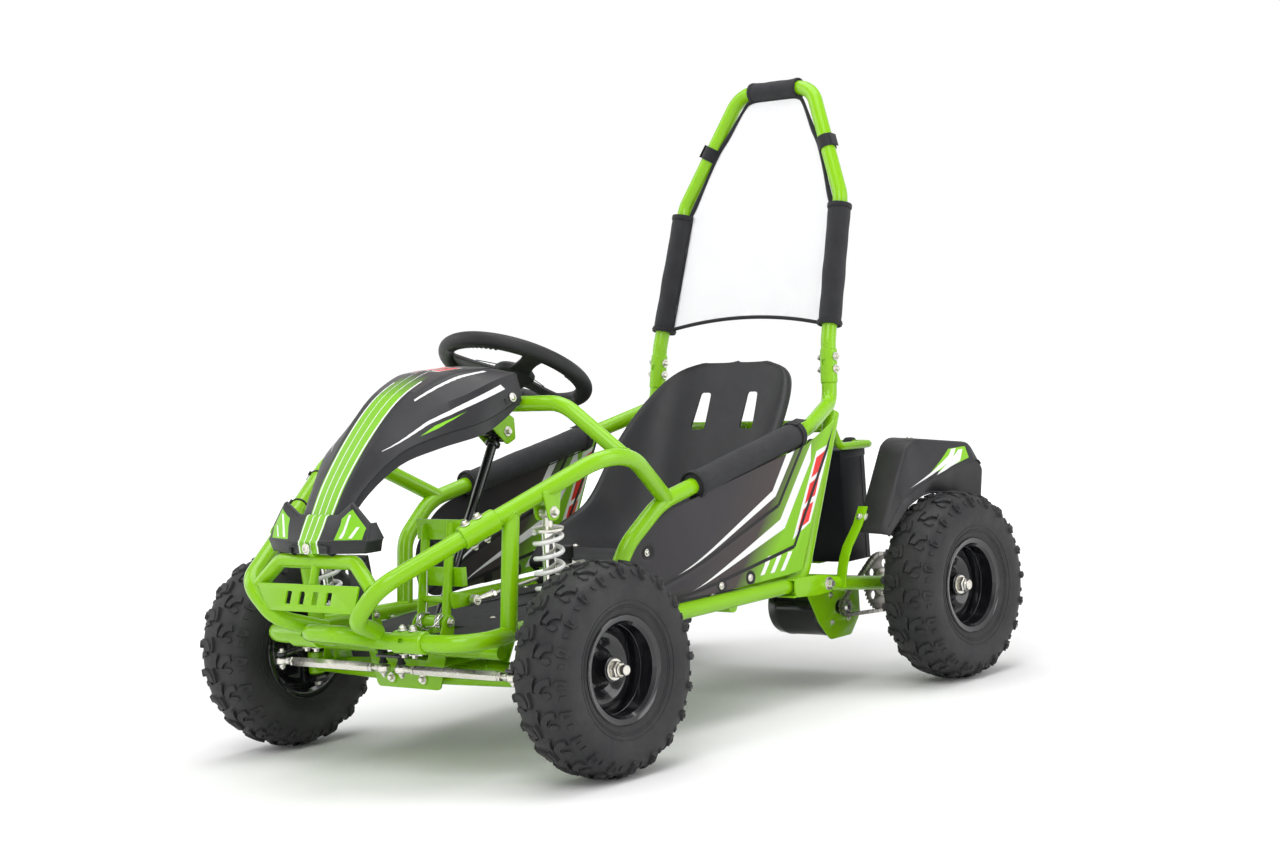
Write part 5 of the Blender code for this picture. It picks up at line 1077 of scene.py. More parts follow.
def makePedals():
    y, z = pedals["brakePivot"]
    x = pedals["brakeX"]
    hinge = front(x, y, z)
    parts = [bushing(hinge, 0.031, 0.0056, 0.0100)]
    left = bend([front(x + 0.027, y, z), front(x + 0.027, y + 0.013, z + 0.080),
        front(x + 0.027, y + 0.026, z + 0.152)], [0.1])
    parts.append(tube(left, 0.0075))
    bar = [(y - 0.010, z - 0.008), (y + 0.010, z - 0.008), (y + 0.034, z + 0.150), (y + 0.018, z + 0.150)]
    parts.append(slab(bar, 0.004, "YZ", front(x - 0.028, 0, 0), radius=0.007))
    for height, tall in ((0.141, 0.032), (0.068, 0.030)):
        lean = 0.020 + 0.006 * height / 0.07
        middle = front(x, y - 0.006 + lean, z + height)
        folded = mm((-50, 10), (-49.5, 0), (49.5, 0), (50, 10), (46.5, 10), (46, 3), (-46, 3), (-46.5, 10))
        parts.append(slab(folded, tall, "XY", middle, edge=0.0006))
    ends = [front(place, y + 0.011, z + 0.033) for place in (x - 0.03, cylinderX - 0.012)]
    parts.append(pin(*ends, 0.0055))
    lug = [(y + 0.004, z + 0.020), (y + 0.052, z + 0.021), (y + 0.052, z + 0.037), (y + 0.004, z + 0.048)]
    parts.append(slab(lug, 0.004, "YZ", front(cylinderX - 0.012, 0, 0), radius=0.006))
    makePiece("brake_pedal_frame", "brake_pedal", ["brake_pedal"], [(greenPaint, *parts)])
    springs = []
    for side in (-1, 1):
        middle = hinge + xAxis * side * 0.020
        line = wireCoil(middle, xAxis, 0.0128, 4.25, 0.0030)
        first = [line[0] + Vector((0, 0.010, 0.070)), line[0] + Vector((0, 0.004, 0.020))]
        last = [line[-1] + Vector((0, -0.020, -0.012)), line[-1] + Vector((0, -0.034, -0.010))]
        springs.append(tube(first + line + last, 0.0012, 10))
    makePiece("brake_return_springs", "brake_pedal", (), [(chrome, *springs)])
    start = front(cylinderX, y + 0.044, z + 0.029)
    end = front(cylinderX, 0.138, 0.110)
    rod = [bushing(start, 0.006, 0.0035, 0.0085, 0.001),
        tube([toward(start, end, 0.007), toward(start, end, 0.036)], [0.0040, 0.0058]),
        pin(toward(start, end, 0.034), end, 0.0030),
        turned(mm((0, 37), (6.5, 37), (7, 39), (7, 43), (0, 43)), start, end - start, 6)]
    makePiece("brake_rod_steel", "brake_rod", ["brake_rod"], [(zinc, *rod)])
    throughBolt("brake_pedal", start - xAxis * 0.005, (1, 0, 0), 0.011, 0.6)
    y, z = pedals["throttlePivot"]
    x = pedals["throttleX"]
    hinge = front(x, y, z)
    shapes = [bushing(hinge, 0.0142, 0.0046, 0.0075)]
    shapes.append(slab([(y - 0.007, z - 0.002), (y + 0.003, z - 0.004), (y - 0.011, z + 0.070),
        (y - 0.019, z + 0.068)], 0.027, "YZ", front(x, 0, 0), radius=0.002))
    shapes.append(slab([(y - 0.009, z + 0.030), (y - 0.004, z + 0.031), (y - 0.014, z + 0.098),
        (y - 0.020, z + 0.097)], 0.050, "YZ", front(x, 0, 0), edge=0.0015))
    for k in range(5):
        height = 0.038 + k * 0.013
        shapes.append(block(front(x, y - 0.0045 - 0.010 * height / 0.067, z + height),
            (0.044, 0.006, 0.0045), edge=0.0012))
    makePiece("throttle_treadle", "throttle_pedal", ["throttle_pedal"], [(satinBlack, *shapes)])


makeFloorFrame()
makeRearFrame()
makePedals()
print("floor frame, rear frame and pedals made")


# steering
steering = dict(wheelAlong=0.425, ringRadius=0.118, grip=0.013, ribs=13)


def makeSteeringWheel():
    centre, up = column(steering["wheelAlong"]), column(1) - column(0)
    turn = Matrix.Rotation(-tilt, 3, "X")
    ring = [centre + turn @ Vector((*spot, 0)) for spot in ringLine((0, 0), steering["ringRadius"], 160)]
    grip = tube(ring, steering["grip"], 28, True)
    ribs = []
    for middle in (30, 150, 270):
        for k in range(steering["ribs"]):
            angle = radians(middle + (k - (steering["ribs"] - 1) / 2) * 4.4)
            out = turn @ Vector((cos(angle), sin(angle), 0))
            line = []
            for step in range(9):
                lean = radians(150 + step * 16)
                line.append(centre + out * (steering["ringRadius"] + cos(lean) * 0.0129)
                    + up * sin(lean) * 0.0129)
            ribs.append(tube(line, [0.0008] + [0.0017] * 7 + [0.0008], 8))
    spokes, thick = [], 0.00325
    for angle in (90, 210, 330):
        spin = turn @ Matrix.Rotation(radians(angle), 3, "Z")
        rings = []
        for k in range(11):
            share = k / 10
            reach = 0.020 + share * (steering["ringRadius"] - 0.024)
            half = 0.021 - 0.006 * sin(pi * share) + 0.004 * share ** 4
            rise = 0.010 * share ** 0.7 - 0.010
            section = rounded([(-half, -thick), (half, -thick), (half * 0.86, thick),
                (-half * 0.86, thick)], 0.002, 3)
            rings.append([centre + spin @ Vector((reach, u, rise + v)) for u, v in section])
        spokes.append(loft(rings))
        window = [centre + spin @ Vector((0.048 + 0.020 * u, 0.0065 * v, 0.0026))
            for u, v in ((-1, -1), (1, -0.8), (1, 0.8), (-1, 1))]
        spokes.append(tube(window, 0.0008, 8, True))
    hub = turned(mm((0, -24), (20, -24), (28, -16), (34, -10), (34.5, -2), (30, 3), (16, 3.5), (13, 1),
        (0, 1)), centre, up, 40)
    makePiece("steering_wheel_moulding", "steering", ["steering_wheel"],
        [(gripBlack, grip, *ribs), (satinBlack, *spokes, hub)])
    for k in range(3):
        angle = radians(30 + 120 * k)
        spot = centre + turn @ Vector((*polar(0.022, angle), 0.0022))
        fasten("steering", "button", spot, up, 0.5)
    fasten("steering", "nut", centre + up * 0.001, up, 1.1)


def makeSteeringColumn():
    bar = pin(column(-0.073), column(steering["wheelAlong"] - 0.004), 0.0080)
    foot = pin(column(-0.074), column(-0.0435), 0.0125, 0.0015)
    rings = [collar(column(0.315 + k * 0.022 - 0.004), column(0.315 + k * 0.022 + 0.004), 0.0081, 0.0125,
        0.001) for k in (-1, 1)]
    tip = -0.110
    arm = [(-0.012, -0.004), (-0.011, tip + 0.038), (-0.028, tip + 0.022), (-0.028, tip), (0.028, tip),
        (0.028, tip + 0.022), (0.011, tip + 0.038), (0.012, -0.004)]
    holes = [ringLine((k * 0.018, -0.099), 0.0045) for k in (-1, 1)]
    pitman = slab(arm, 0.004, "XY", front(0, 0, 0.0195), holes, 0.006)
    makePiece("steering_column_bar", "steering", ["steering_column"],
        [(glossBlack, bar, foot, pitman, *rings)])
    caps = []
    for side in (-1, 1):
        post = front(side * 0.020, -0.099, 0)
        caps.append(turned(mm((0, 31), (5, 30), (7.8, 26.5), (8.2, 22), (0, 22)), post, zAxis, 20))
        caps.append(turned(mm((0, 16.8), (4.5, 16.8), (5, 12), (7, 8.5), (7.4, 6), (0, 6)),
            post, zAxis, 20))
        fasten("steering", "nut", post + zAxis * -0.0085, (0, 0, -1), 0.75)
    makePiece("pitman_boots", "steering", (), [(softRubber, *caps)])


def rodEnd(eye, other):
    heading = (other - eye).normalized()
    ring = turned(doubled(mm((4.6, -5.8), (8.5, -5.8), (10.8, -3.6))), eye, zAxis, 28, True)
    neck = tube([eye + heading * 0.009, eye + heading * 0.016, eye + heading * 0.020],
        [0.0058, 0.0060, 0.0048], 20)
    thread = pin(eye + heading * 0.018, eye + heading * 0.040, 0.0042)
    lock = turned(mm((0, 24), (7, 24), (7.5, 24.8), (7.5, 29.2), (7, 30), (0, 30)), eye, heading, 6)
    return [ring, neck, thread, lock]


def makeTieRods():
    for name, side in sides:
        outer, inner = front(side * 0.260, -0.099, -0.002), front(side * 0.020, -0.099, -0.002)
        bar = turned(mm((0, 31), (6.8, 31), (8, 33), (8, 207), (6.8, 209), (0, 209)), inner,
            outer - inner, 6)
        parts = [bar, *rodEnd(outer, inner), *rodEnd(inner, outer)]
        makePiece(f"tie_rod_{name}_bar", f"tie_rod_{name}", [f"tie_rod_{name}"], [(zinc, *parts)])


makeSteeringWheel()
makeSteeringColumn()
makeTieRods()
print("steering made")


# front suspension
def makeArms():
    for name, side in sides:
        body = f"front_arm_{name}"
        start, end = front(side * 0.035, -0.0615, -0.022), front(side * 0.035, 0.0895, -0.022)
        boss = front(side * 0.288, 0, -0.025)
        post = front(side * 0.290, 0, 0)
        barrel = collar(start, end, 0.0058, 0.0115)
        knob = collar(post + zAxis * -0.040, post + zAxis * -0.004, 0.0068, 0.0135, 0.001)
        parts = [barrel, knob]
        for y in (-0.046, 0.074):
            foot = front(side * 0.035, y, -0.022)
            tip = toward(boss, foot, 0.010)
            parts += [tube([toward(foot, boss, 0.008), tip], 0.011, 28),
                weld(foot, boss, [start, end], 0.011, 0.0115, reach=0.05)]
            parts.append(weld(boss, foot, [post + zAxis * -0.050, post + zAxis * 0.02], 0.011,
                0.0135, reach=0.09))
        eye = front(side * 0.246, 0.009, 0.013)
        parts += shockEars(eye, -1, 0.036, 0.022)
        gusset = [(side * 0.226, -0.012), (side * 0.268, -0.004), (side * 0.268, 0.012),
            (side * 0.226, 0.026)]
        parts.append(slab(gusset, 0.003, "XY", front(0, 0, -0.0150), radius=0.004))
        makePiece(f"front_arm_{name}_fork", body, [body], [(greenPaint, *parts)])
        throughBolt(body, eye, (side, 0, 0), 0.0145, 1.0)


def makeKnuckles():
    for name, side in sides:
        body = f"knuckle_{name}"
        post, out = front(side * 0.290, 0, 0), xAxis * side
        parts = [block(post + out * 0.0200 + zAxis * -0.022, (0.009, 0.034, 0.062), edge=0.0015)]
        parts += [block(post + out * 0.004 + zAxis * z, (0.040, 0.030, 0.012), edge=0.0025)
            for z in (0.0030, -0.0470)]
        parts.append(pin(post + zAxis * -0.050, post + zAxis * 0.006, 0.006))
        outline = mm((280, 0), (304, 0), (272, -99), (268, -109), (252, -109), (248, -99))
        outline = [(side * x, y) for x, y in outline]
        parts.append(slab(outline if side > 0 else outline[::-1], 0.006, "XY", front(0, 0, 0.009),
            radius=0.006, edge=0.0010))
        spindle = pin(post + out * 0.018, front(side * 0.400, 0, 0), 0.008, 0.001)
        shoulder = pin(post + out * 0.018, front(side * 0.3328, 0, 0), 0.013, 0.001)
        ball = front(side * 0.260, -0.099, -0.002)
        boot = turned(mm((0, 11.8), (4.5, 11.8), (5.2, 10), (7.4, 8.2), (7.8, 6), (0, 6)),
            ball - zAxis * 0.002, zAxis, 20)
        stud = pin(ball + zAxis * -0.012, ball + zAxis * 0.014, 0.004)
        makePiece(f"knuckle_{name}_forging", body, [body], [(glossBlack, *parts),
            (zinc, spindle, shoulder, stud), (softRubber, boot)])
        fasten(body, "nut", post + zAxis * 0.009, (0, 0, 1), 0.95)
        fasten(body, "bolt", post + zAxis * -0.053, (0, 0, -1), 0.95)
        fasten(body, "nut", ball + zAxis * -0.0065, (0, 0, -1), 0.75)
        fasten(body, "bolt", ball + zAxis * 0.0140, (0, 0, 1), 0.75)


# the rubber bush in a shock absorber's eye, and its steel sleeve
def eyeShapes(eye):
    radius, half = 0.0105, 0.009
    ring = bushing(eye, half - 0.001, radius - 0.0028, radius, 0.0010, 28)
    rubber = turned([(0.0056, -half + 0.0005), (radius - 0.0030, -half + 0.0012), (radius - 0.0026, 0),
        (radius - 0.0030, half - 0.0012), (0.0056, half - 0.0005)], eye, xAxis, 24, True)
    bush = bushing(eye, half + 0.0030, 0.0042, 0.0056, 0.0004, 20)
    return ring, rubber, bush


def springLine(start, end, radius, turns):
    axis = end - start
    spoke = spokesOf(axis.normalized())
    count = round(turns * 28)
    line = []
    flat = 0.75                                  # turns at each end that lie almost flat
    rises = [min(1.0, 0.22 + 0.78 * min(k / count * turns, turns - k / count * turns) / flat)
        for k in range(count + 1)]
    total, travelled = sum(rises[1:]), 0.0
    for k in range(count + 1):
        travelled += rises[k] if k else 0
        line.append(start + axis * travelled / total + spoke(2 * pi * turns * k / count) * radius)
    return line


# stroke is the rod's travel at the joint's limit; it is not used
def makeShock(nodes, bodies, top, foot, turns, coat, stroke):
    axis, length = (foot - top).normalized(), (foot - top).length
    flange, seatAt = 0.0245, 0.026
    topEye, footEye = eyeShapes(top), eyeShapes(foot)
    neck = tube([top + axis * 0.006, top + axis * 0.014, top + axis * 0.024], [0.0068, 0.0078, 0.0090], 24)
    seat = turned([(0, seatAt - 0.0050), (0.012, seatAt - 0.0048), (0.0200, seatAt - 0.0034),
        (flange, seatAt - 0.0022), (flange, seatAt + 0.0012), (0.0232, seatAt + 0.0020),
        (0.0165, seatAt + 0.0016), (0.0160, seatAt + 0.0046), (0, seatAt + 0.0046)], top, axis, 36)
    barrel = turned([(0, seatAt + 0.002), (0.0105, seatAt + 0.002), (0.0105, length * 0.60 - 0.004),
        (0.0098, length * 0.60 - 0.0015), (0.0060, length * 0.60), (0, length * 0.60)], top, axis, 32)
    makePiece(f"{nodes[0]}_barrel", bodies[0], [nodes[0]], [(zinc, topEye[0], topEye[2], neck, seat),
        (chrome, barrel), (softRubber, topEye[1])])
    low = length - seatAt
    rod = pin(top + axis * length * 0.62, foot - axis * 0.008, 0.0050)
    stop = turned([(0.0052, length * 0.62), (0.0085, length * 0.625), (0.0092, length * 0.64),
        (0.0078, length * 0.655), (0.0088, length * 0.67), (0.0070, length * 0.685),
        (0.0052, length * 0.69)], top, axis, 24, True)
    cup = turned([(0, low + 0.0050), (0.012, low + 0.0048), (0.0200, low + 0.0034), (flange, low + 0.0022),
        (flange, low - 0.0012), (0.0232, low - 0.0020), (0.0120, low - 0.0016), (0, low - 0.0016)][::-1],
        top, axis, 36)
    shank = tube([foot - axis * 0.023, foot - axis * 0.014, foot - axis * 0.006],
        [0.0086, 0.0078, 0.0068], 24)
    makePiece(f"{nodes[1]}_rod", bodies[1], [nodes[1]], [(zinc, footEye[0], footEye[2], cup, shank),
        (chrome, rod), (softRubber, footEye[1], stop)])
    room, wire = 0.0052, 0.0036
    line = springLine(top + axis * (seatAt + room), top + axis * (low - room), 0.0210, turns)
    coil = makePiece(f"{nodes[2]}_coil", bodies[0], [nodes[2]], [(coat, tube(line, wire, 16))])
    tall = low - seatAt - 2 * (room - wire)
    1 - stroke / tall
    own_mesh(coil)


makeArms()
makeKnuckles()
for name, side in sides:
    makeShock([f"shock_body_{name}", f"shock_rod_{name}", f"shock_spring_{name}"],
        [f"shock_{name}", f"shock_rod_{name}"], front(side * 0.261, -0.001, 0.235),
        front(side * 0.246, 0.009, 0.013), 7.5, springWhite, 0.0215)
makeShock(["rear_shock_body", "rear_shock_rod", "rear_shock_spring"], ["rear_shock", "rear_shock_rod"],
    rear(0, -0.109, 0.235), rear(0, -0.162, 0.060), 5, glossBlack, 0.0054)
print("front suspension and shock absorbers made")


# wheels
tyre = dict(pitches=20, section=mm((37.5, 72.2), (39.8, 74.5), (40.2, 80), (41.8, 86.2), (46.2, 95.5),
    (50.5, 108), (52.2, 120), (51.2, 133), (46.2, 145.5), (37.5, 153.5), (26, 157.8),
    (13, 159.6), (0, 160)))


# the carcass's line from its crown outward, and how far each of its points is along it
def tyreSkin():
    line = curveThrough([(x, 0, r) for x, r in tyre["section"]][::-1], 90)
    runs, total = [0.0], 0.0
    for a, b in zip(line, line[1:]):
        total += (b - a).length
        runs.append(total)
    return line, runs


skinLine, skinRuns = tyreSkin()


def onTyre(across, forward, height):             # across and forward from the middle of the tread
    side, run = (1 if across >= 0 else -1), abs(across)
    k = min(max(int(np.searchsorted(skinRuns, run)), 1), len(skinRuns) - 1)
    share = (run - skinRuns[k - 1]) / (skinRuns[k] - skinRuns[k - 1])
    place = skinLine[k - 1].lerp(skinLine[k], share)
    heading = (skinLine[k] - skinLine[k - 1]).normalized()
    x, r = place.x - heading.z * height, place.z + heading.x * height
    angle = forward / kart["tyre"]
    return Vector((side * x, r * sin(angle), r * cos(angle)))


def lugShape(outline, height):                   # sunk into the carcass, with leaning flanks
    sink, lean = 0.0012, 0.0010
    middle = (sum(p[0] for p in outline) / len(outline), sum(p[1] for p in outline) / len(outline))
    rings = []
    for level, inset in ((-sink, -lean * 0.6), (height - 0.0007, lean * 0.5), (height, lean)):
        ring = []
        for s, a in outline:
            away = Vector((s - middle[0], a - middle[1]))
            scale = 1 - inset / max(away.length, 0.003)
            ring.append(onTyre(middle[0] + away.x * scale, middle[1] + away.y * scale, level))
        rings.append(ring)
    return loft(rings)


def arc(centre, radius, first, last, count):
    return [polar(radius, radians(first + (last - first) * k / count), centre) for k in range(count + 1)]


def treadPattern():                              # the lugs of one pitch, about the X axis
    pitch = 2 * pi * kart["tyre"] / tyre["pitches"]
    shapes = []
    for side in (1, -1):
        shift = pitch / 2 if side < 0 else 0.0
        outer = arc((0.0310, -0.010), 0.0235, 172, 82, 9)
        inner = arc((0.0335, -0.013), 0.0160, 82, 168, 9)
        groups = [(outer + inner, 0.0046)]
        groups.append((mm((16.5, -14), (30, -19), (36, -13.5), (33, -8.5), (24, -7.5)), 0.0030))
        groups.append((mm((2, -6), (5.6, -9.5), (6.4, 4), (10, 13.5), (6.2, 16.5), (2.2, 6)), 0.0050))
        groups.append((mm((42, -3.5), (56, -4.8), (61, 2), (59, 7.5), (42.5, 10.5), (40, 4)), 0.0056))
        groups.append((mm((45.5, -24), (54, -22.5), (56, -16), (47, -15)), 0.0022))
        for outline, height in groups:
            placed = [(side * s, a + shift) for s, a in outline]
            shapes.append(lugShape(placed, height))
        window = mm((46.5, 0), (54, 1.2), (47, 6.2))
        shapes.append(tube([onTyre(side * s, a + shift, 0.0056) for s, a in window], 0.0006, 6, True))
    return joined(*shapes)


def makeTyre(name, centre, body):
    section = [(r, x) for x, _, r in skinLine]
    wall = [(r, -x) for r, x in section[::-1]] + section[1:]
    inner = mm((72.2, 30), (80, 34.5), (100, 44), (124, 46), (148, 34), (155, 0))
    bore = inner + [(r, -x) for r, x in inner[::-1][1:]]
    carcass = turned(wall + bore, Vector(), xAxis, 120, True)
    marks = []
    for side in (1, -1):
        for radius, run in mm((0.9, 101), (0.6, 104.5), (0.8, 93.5)):
            ring = [onTyre(side * run, kart["tyre"] * 2 * pi * k / 96, 0.0001) for k in range(96)]
            marks.append(tube(ring, radius, 6, True))
    treads = around(treadPattern(), tyre["pitches"], tyreRubber)
    points, faces = joined(carcass, *marks, treads)
    makePiece(f"{name}_tyre_tread", body, [f"{name}_tyre"], [(tyreRubber,
        ([point + centre for point in points], faces))], 38)


def makeRim(name, side, centre, body, boss):
    barrel, edge = 0.0715, 0.043
    profile = [(0.0815, edge + 0.0002), (0.0830, edge - 0.0008), (0.0830, edge - 0.0022),
        (0.0800, edge - 0.0040), (0.0745, edge - 0.0044), (barrel, edge - 0.0080), (barrel, 0.020),
        (0.0690, 0.0120), (0.0690, -0.0120), (barrel, -0.020), (barrel, -edge + 0.008),
        (0.0745, -edge + 0.0044), (0.0800, -edge + 0.0040), (0.0830, -edge + 0.0022),
        (0.0830, -edge + 0.0008), (0.0815, -edge - 0.0002), (0.0780, -edge + 0.0014),
        (0.0735, -edge + 0.0020), (0.0690, -edge + 0.0065), (0.0688, -0.021), (0.0663, -0.0135),
        (0.0640, -0.0100), (0.0560, -0.0130), (0.0500, -0.0180), (0.0300, -0.0205), (0.0240, -0.0210),
        (0.0105, -0.0210), (0.0105, boss), (0.0170, boss), (0.0192, boss - 0.0012),
        (0.0205, boss - 0.0060), (0.0225, -0.0020), (0.0270, -0.0080), (0.0330, -0.0100),
        (0.0400, -0.0060), (0.0460, 0.0005), (0.0520, 0.0022), (0.0580, 0.0005), (0.0620, -0.0045),
        (0.0655, -0.0055), (0.0668, -0.0020), (0.0688, 0.0120), (0.0690, 0.0200), (0.0690, edge - 0.0070),
        (0.0735, edge - 0.0020), (0.0780, edge - 0.0014)]
    shape = turned(profile, centre, xAxis * side, 96, True)
    valveAt = centre + xAxis * side * -0.002 + (Matrix.Rotation(0.6, 3, "X") @ zAxis * 0.0560)
    valve = turned(mm((0, 0), (5.8, 0), (6, 4), (3.6, 8), (3.4, 19), (0, 19)), valveAt, xAxis * side, 20)
    cap = turned(mm((0, 18), (4, 18), (4.2, 19), (4.2, 26), (3.4, 28), (0, 28)), valveAt, xAxis * side, 14)
    seam = tube([centre + xAxis * side * 0.0125 + Vector((0, cos(2 * pi * k / 72),
        sin(2 * pi * k / 72))) * 0.0688 for k in range(72)], 0.0010, 8, True)
    makePiece(f"{name}_rim_dish", body, [f"{name}_rim"], [(glossBlack, shape, seam),
        (softRubber, valve, cap)])


# the washer, the nut and the threaded end in the middle of a rim
def makeHubEnd(name, side, centre, body, start, radius):
    out = xAxis * side
    washer = collar(centre + out * start, centre + out * (start + 0.0026), radius, 0.0170, 0.0008)
    nut = turned([(radius - 0.001, start + 0.0026), (0.0125, start + 0.0026), (0.0138, start + 0.0036),
        (0.0138, start + 0.0110), (0.0120, start + 0.0125), (radius - 0.001, start + 0.0125)], centre,
        out, 6, True)
    crown = collar(centre + out * (start + 0.0120), centre + out * (start + 0.0160), radius - 0.001,
        0.0105, 0.001)
    makePiece(f"{name}_hub_nut", body, (), [(zinc, washer, nut, crown)])


for name, side in sides:
    centre = front(side * kart["frontTrack"] / 2, 0, 0)
    makeTyre(f"front_{name}", centre, f"front_wheel_{name}")
    makeRim(f"front_{name}", side, centre, f"front_wheel_{name}", 0.020)
    makeHubEnd(f"front_{name}", side, centre, f"knuckle_{name}", 0.0202, 0.0078)
    centre = rear(side * kart["rearTrack"] / 2, 0, 0)
    makeTyre(f"rear_{name}", centre, "axle")
    makeRim(f"rear_{name}", side, centre, "axle", 0.014)
    makeHubEnd(f"rear_{name}", side, centre, "axle", 0.0142, 0.0098)
print("wheels made")


# swing arm and rear drive
drive = dict(x=0.215, pitch=0.008, sprocket=40, pinion=11, motor=(-0.109, -0.030), plateX=0.198, disc=0.070,
    pivot=(-0.244, 0.033), armX=0.262)


def swingPoint(x, along):                        # along the side tube: 0 at the pivot, 1 at the axle
    return rear(x, *drive["pivot"]).lerp(rear(x, 0, 0), along)


def fenderStays(side):
    foot, top = Vector((-0.141, 0.108)), Vector((-0.094, 0.180))
    heading = (top - foot).normalized()
    out = Vector((-heading.y, heading.x))
    outer = mm((-198, 18), (-195, 36), (-190, 54), (-182, 72), (-172, 88))
    outer += [tuple(foot + heading * run + out * 0.0051) for run in (0.012, 0.030, 0.048)]
    inner = [tuple(foot + heading * run + out * 0.0021) for run in (0.048, 0.030, 0.012)]
    inner += mm((-169.5, 85.8), (-179.2, 70.2), (-187, 53), (-192, 35.5), (-195, 18))
    strip = mm((-10, 10), (10, 10), (10, 245.5), (-10, 249))
    return [slab(outer + inner, 0.020, "YZ", rear(side * 0.272, 0, 0), edge=0.0006),
        slab(strip, 0.004, "YZ", rear(side * 0.2755, 0, 0))]


def makeSwingArm():
    x, cross = drive["armX"], 0.27
    parts, bearings, seals = [], [], []
    radius = 0.0125
    parts.append(tube([swingPoint(-x, cross), swingPoint(x, cross)], radius))
    for side in (1, -1):
        line = [swingPoint(side * x, 0.02), swingPoint(side * x, 0.96)]
        parts.append(tube(line, radius, 28))
        parts.append(weld(swingPoint(side * x, cross), swingPoint(0, cross), line, radius, radius))
        hinge, centre = swingPoint(side * x, 0), rear(side * x, 0, 0)
        parts.append(bushing(hinge, 0.0160, 0.0078, 0.0140, 0.0008))
        seals.append(bushing(hinge, 0.0164, 0.0064, 0.0077, 0.0004))
        casing = mm((20.6, -13.5), (20.6, 13.5), (21.6, 15), (27, 15), (28, 14), (28, -14),
            (27, -15), (21.6, -15))
        parts.append(turned(casing, centre, xAxis, 48, True))
        bearings.append(bushing(centre, 0.0118, 0.0108, 0.0206, 0.0006))
        seals.append(bushing(centre, 0.0124, 0.0128, 0.0186, 0.0004))
        for turn in (0.6, 2.2, 3.8, 5.4):
            spot = centre + Vector((0, cos(turn), sin(turn))) * 0.0246
            fasten("swing_arm", "button", spot + xAxis * side * 0.0150, xAxis * side, 0.32)
        parts += fenderStays(side)
        fasten("swing_arm", "bolt", rear(side * 0.2755, 0, 0.2475), (0, 0, 1), 0.7)
        foot = Vector((-0.141, 0.108)).lerp(Vector((-0.094, 0.180)), 0.32)
        fasten("swing_arm", "nut", rear(side * 0.272, foot.x - 0.0045, foot.y + 0.0029),
            (0, -0.837, 0.547), 0.7)
    y, z = drive["motor"]
    outline = mm((60, -20), (60, 30), (20, 54), (-70, 68), (-92, 62), (-92, 40), (-60, -20),
        (-30, -54), (30, -54))
    holes = [ringLine((y, z), 0.0125, 28)]
    for k in range(4):
        turn = pi / 4 + k * pi / 2
        spot = polar(0.034, turn, (y, z))
        holes.append(ringLine(spot, 0.0028, 12))
        fasten("swing_arm", "bolt", rear(drive["plateX"] + 0.0020, *spot), xAxis, 0.55)
    parts.append(slab([(y + a, z + b) for a, b in outline], 0.004, "YZ", rear(drive["plateX"], 0, 0),
        holes, 0.012))
    lower = rear(0, -0.162, 0.060)
    ear = mm((-13.5, 4), (-9, 11.5), (0, 13.8), (9, 11.5), (13.5, 4), (2, -36), (-30, -36))
    parts += plates(ear, lower, 0.0125, 0.003)
    throughBolt("swing_arm", lower, xAxis, 0.0140, 0.8)
    bracket = mm((-92, -12), (-48, -8), (-48, 8), (-92, 14))
    parts.append(slab(bracket, 0.004, "YZ", rear(-0.2475, 0, 0), radius=0.004))
    makePiece("swing_arm_fork", "swing_arm", ["swing_arm"], [(greenPaint, *parts), (steel, *bearings),
        (softRubber, *seals)])


def makeAxle():
    reach, shoulder = kart["rearTrack"] / 2 + 0.034, 0.0150
    inner, outer = drive["armX"] + 0.0165, kart["rearTrack"] / 2 - 0.0215
    half = [(0.0, 0), (0.0100, 0), (0.0100, inner - 0.001), (shoulder - 0.001, inner),
        (shoulder, inner + 0.001), (shoulder, inner + 0.012), (shoulder - 0.0012, inner + 0.0135),
        (shoulder, inner + 0.015)]
    half += [(shoulder, outer - 0.001), (shoulder - 0.001, outer), (0.0100, outer),
        (0.0100, reach - 0.0185)]
    for k in range(8):                           # the threaded end
        half += [(0.0100, reach - 0.0180 + k * 0.0020), (0.0094, reach - 0.0170 + k * 0.0020)]
    half += [(0.0086, reach - 0.0004), (0.0078, reach), (0, reach)]
    shapes = [turned(half[1:], rear(0, 0, 0), xAxis * side, 32) for side in (1, -1)]
    keys = [block(rear(side * x, 0, 0.0096), (0.022, 0.005, 0.0026))
        for side, x in ((1, drive["x"]), (-1, drive["x"]))]
    rings = []
    for side in (1, -1):
        for place in (0.2455, 0.2455 - 0.005):
            centre = rear(side * place, 0, 0)
            rings.append(bushing(centre, 0.0018, 0.0101, 0.0128, 0.0004))
    makePiece("rear_axle_shaft", "axle", ["rear_axle"], [(zinc, *shapes, *keys), (steel, *rings)])


def pitchRadius(teeth):
    return drive["pitch"] / 2 / sin(pi / teeth)


def toothLine(teeth, y, z, phase):
    profile = ((0.0, -0.0023), (0.13, -0.0021), (0.24, -0.0010), (0.33, 0.0006), (0.41, 0.0020),
        (0.47, 0.0025), (0.53, 0.0025), (0.59, 0.0020), (0.67, 0.0006), (0.76, -0.0010), (0.87, -0.0021))
    points = []
    for tooth in range(teeth):
        for share, rise in profile:
            angle, reach = phase + 2 * pi * (tooth + share) / teeth, pitchRadius(teeth) + rise
            points.append(polar(reach, angle, (y, z)))
    return points


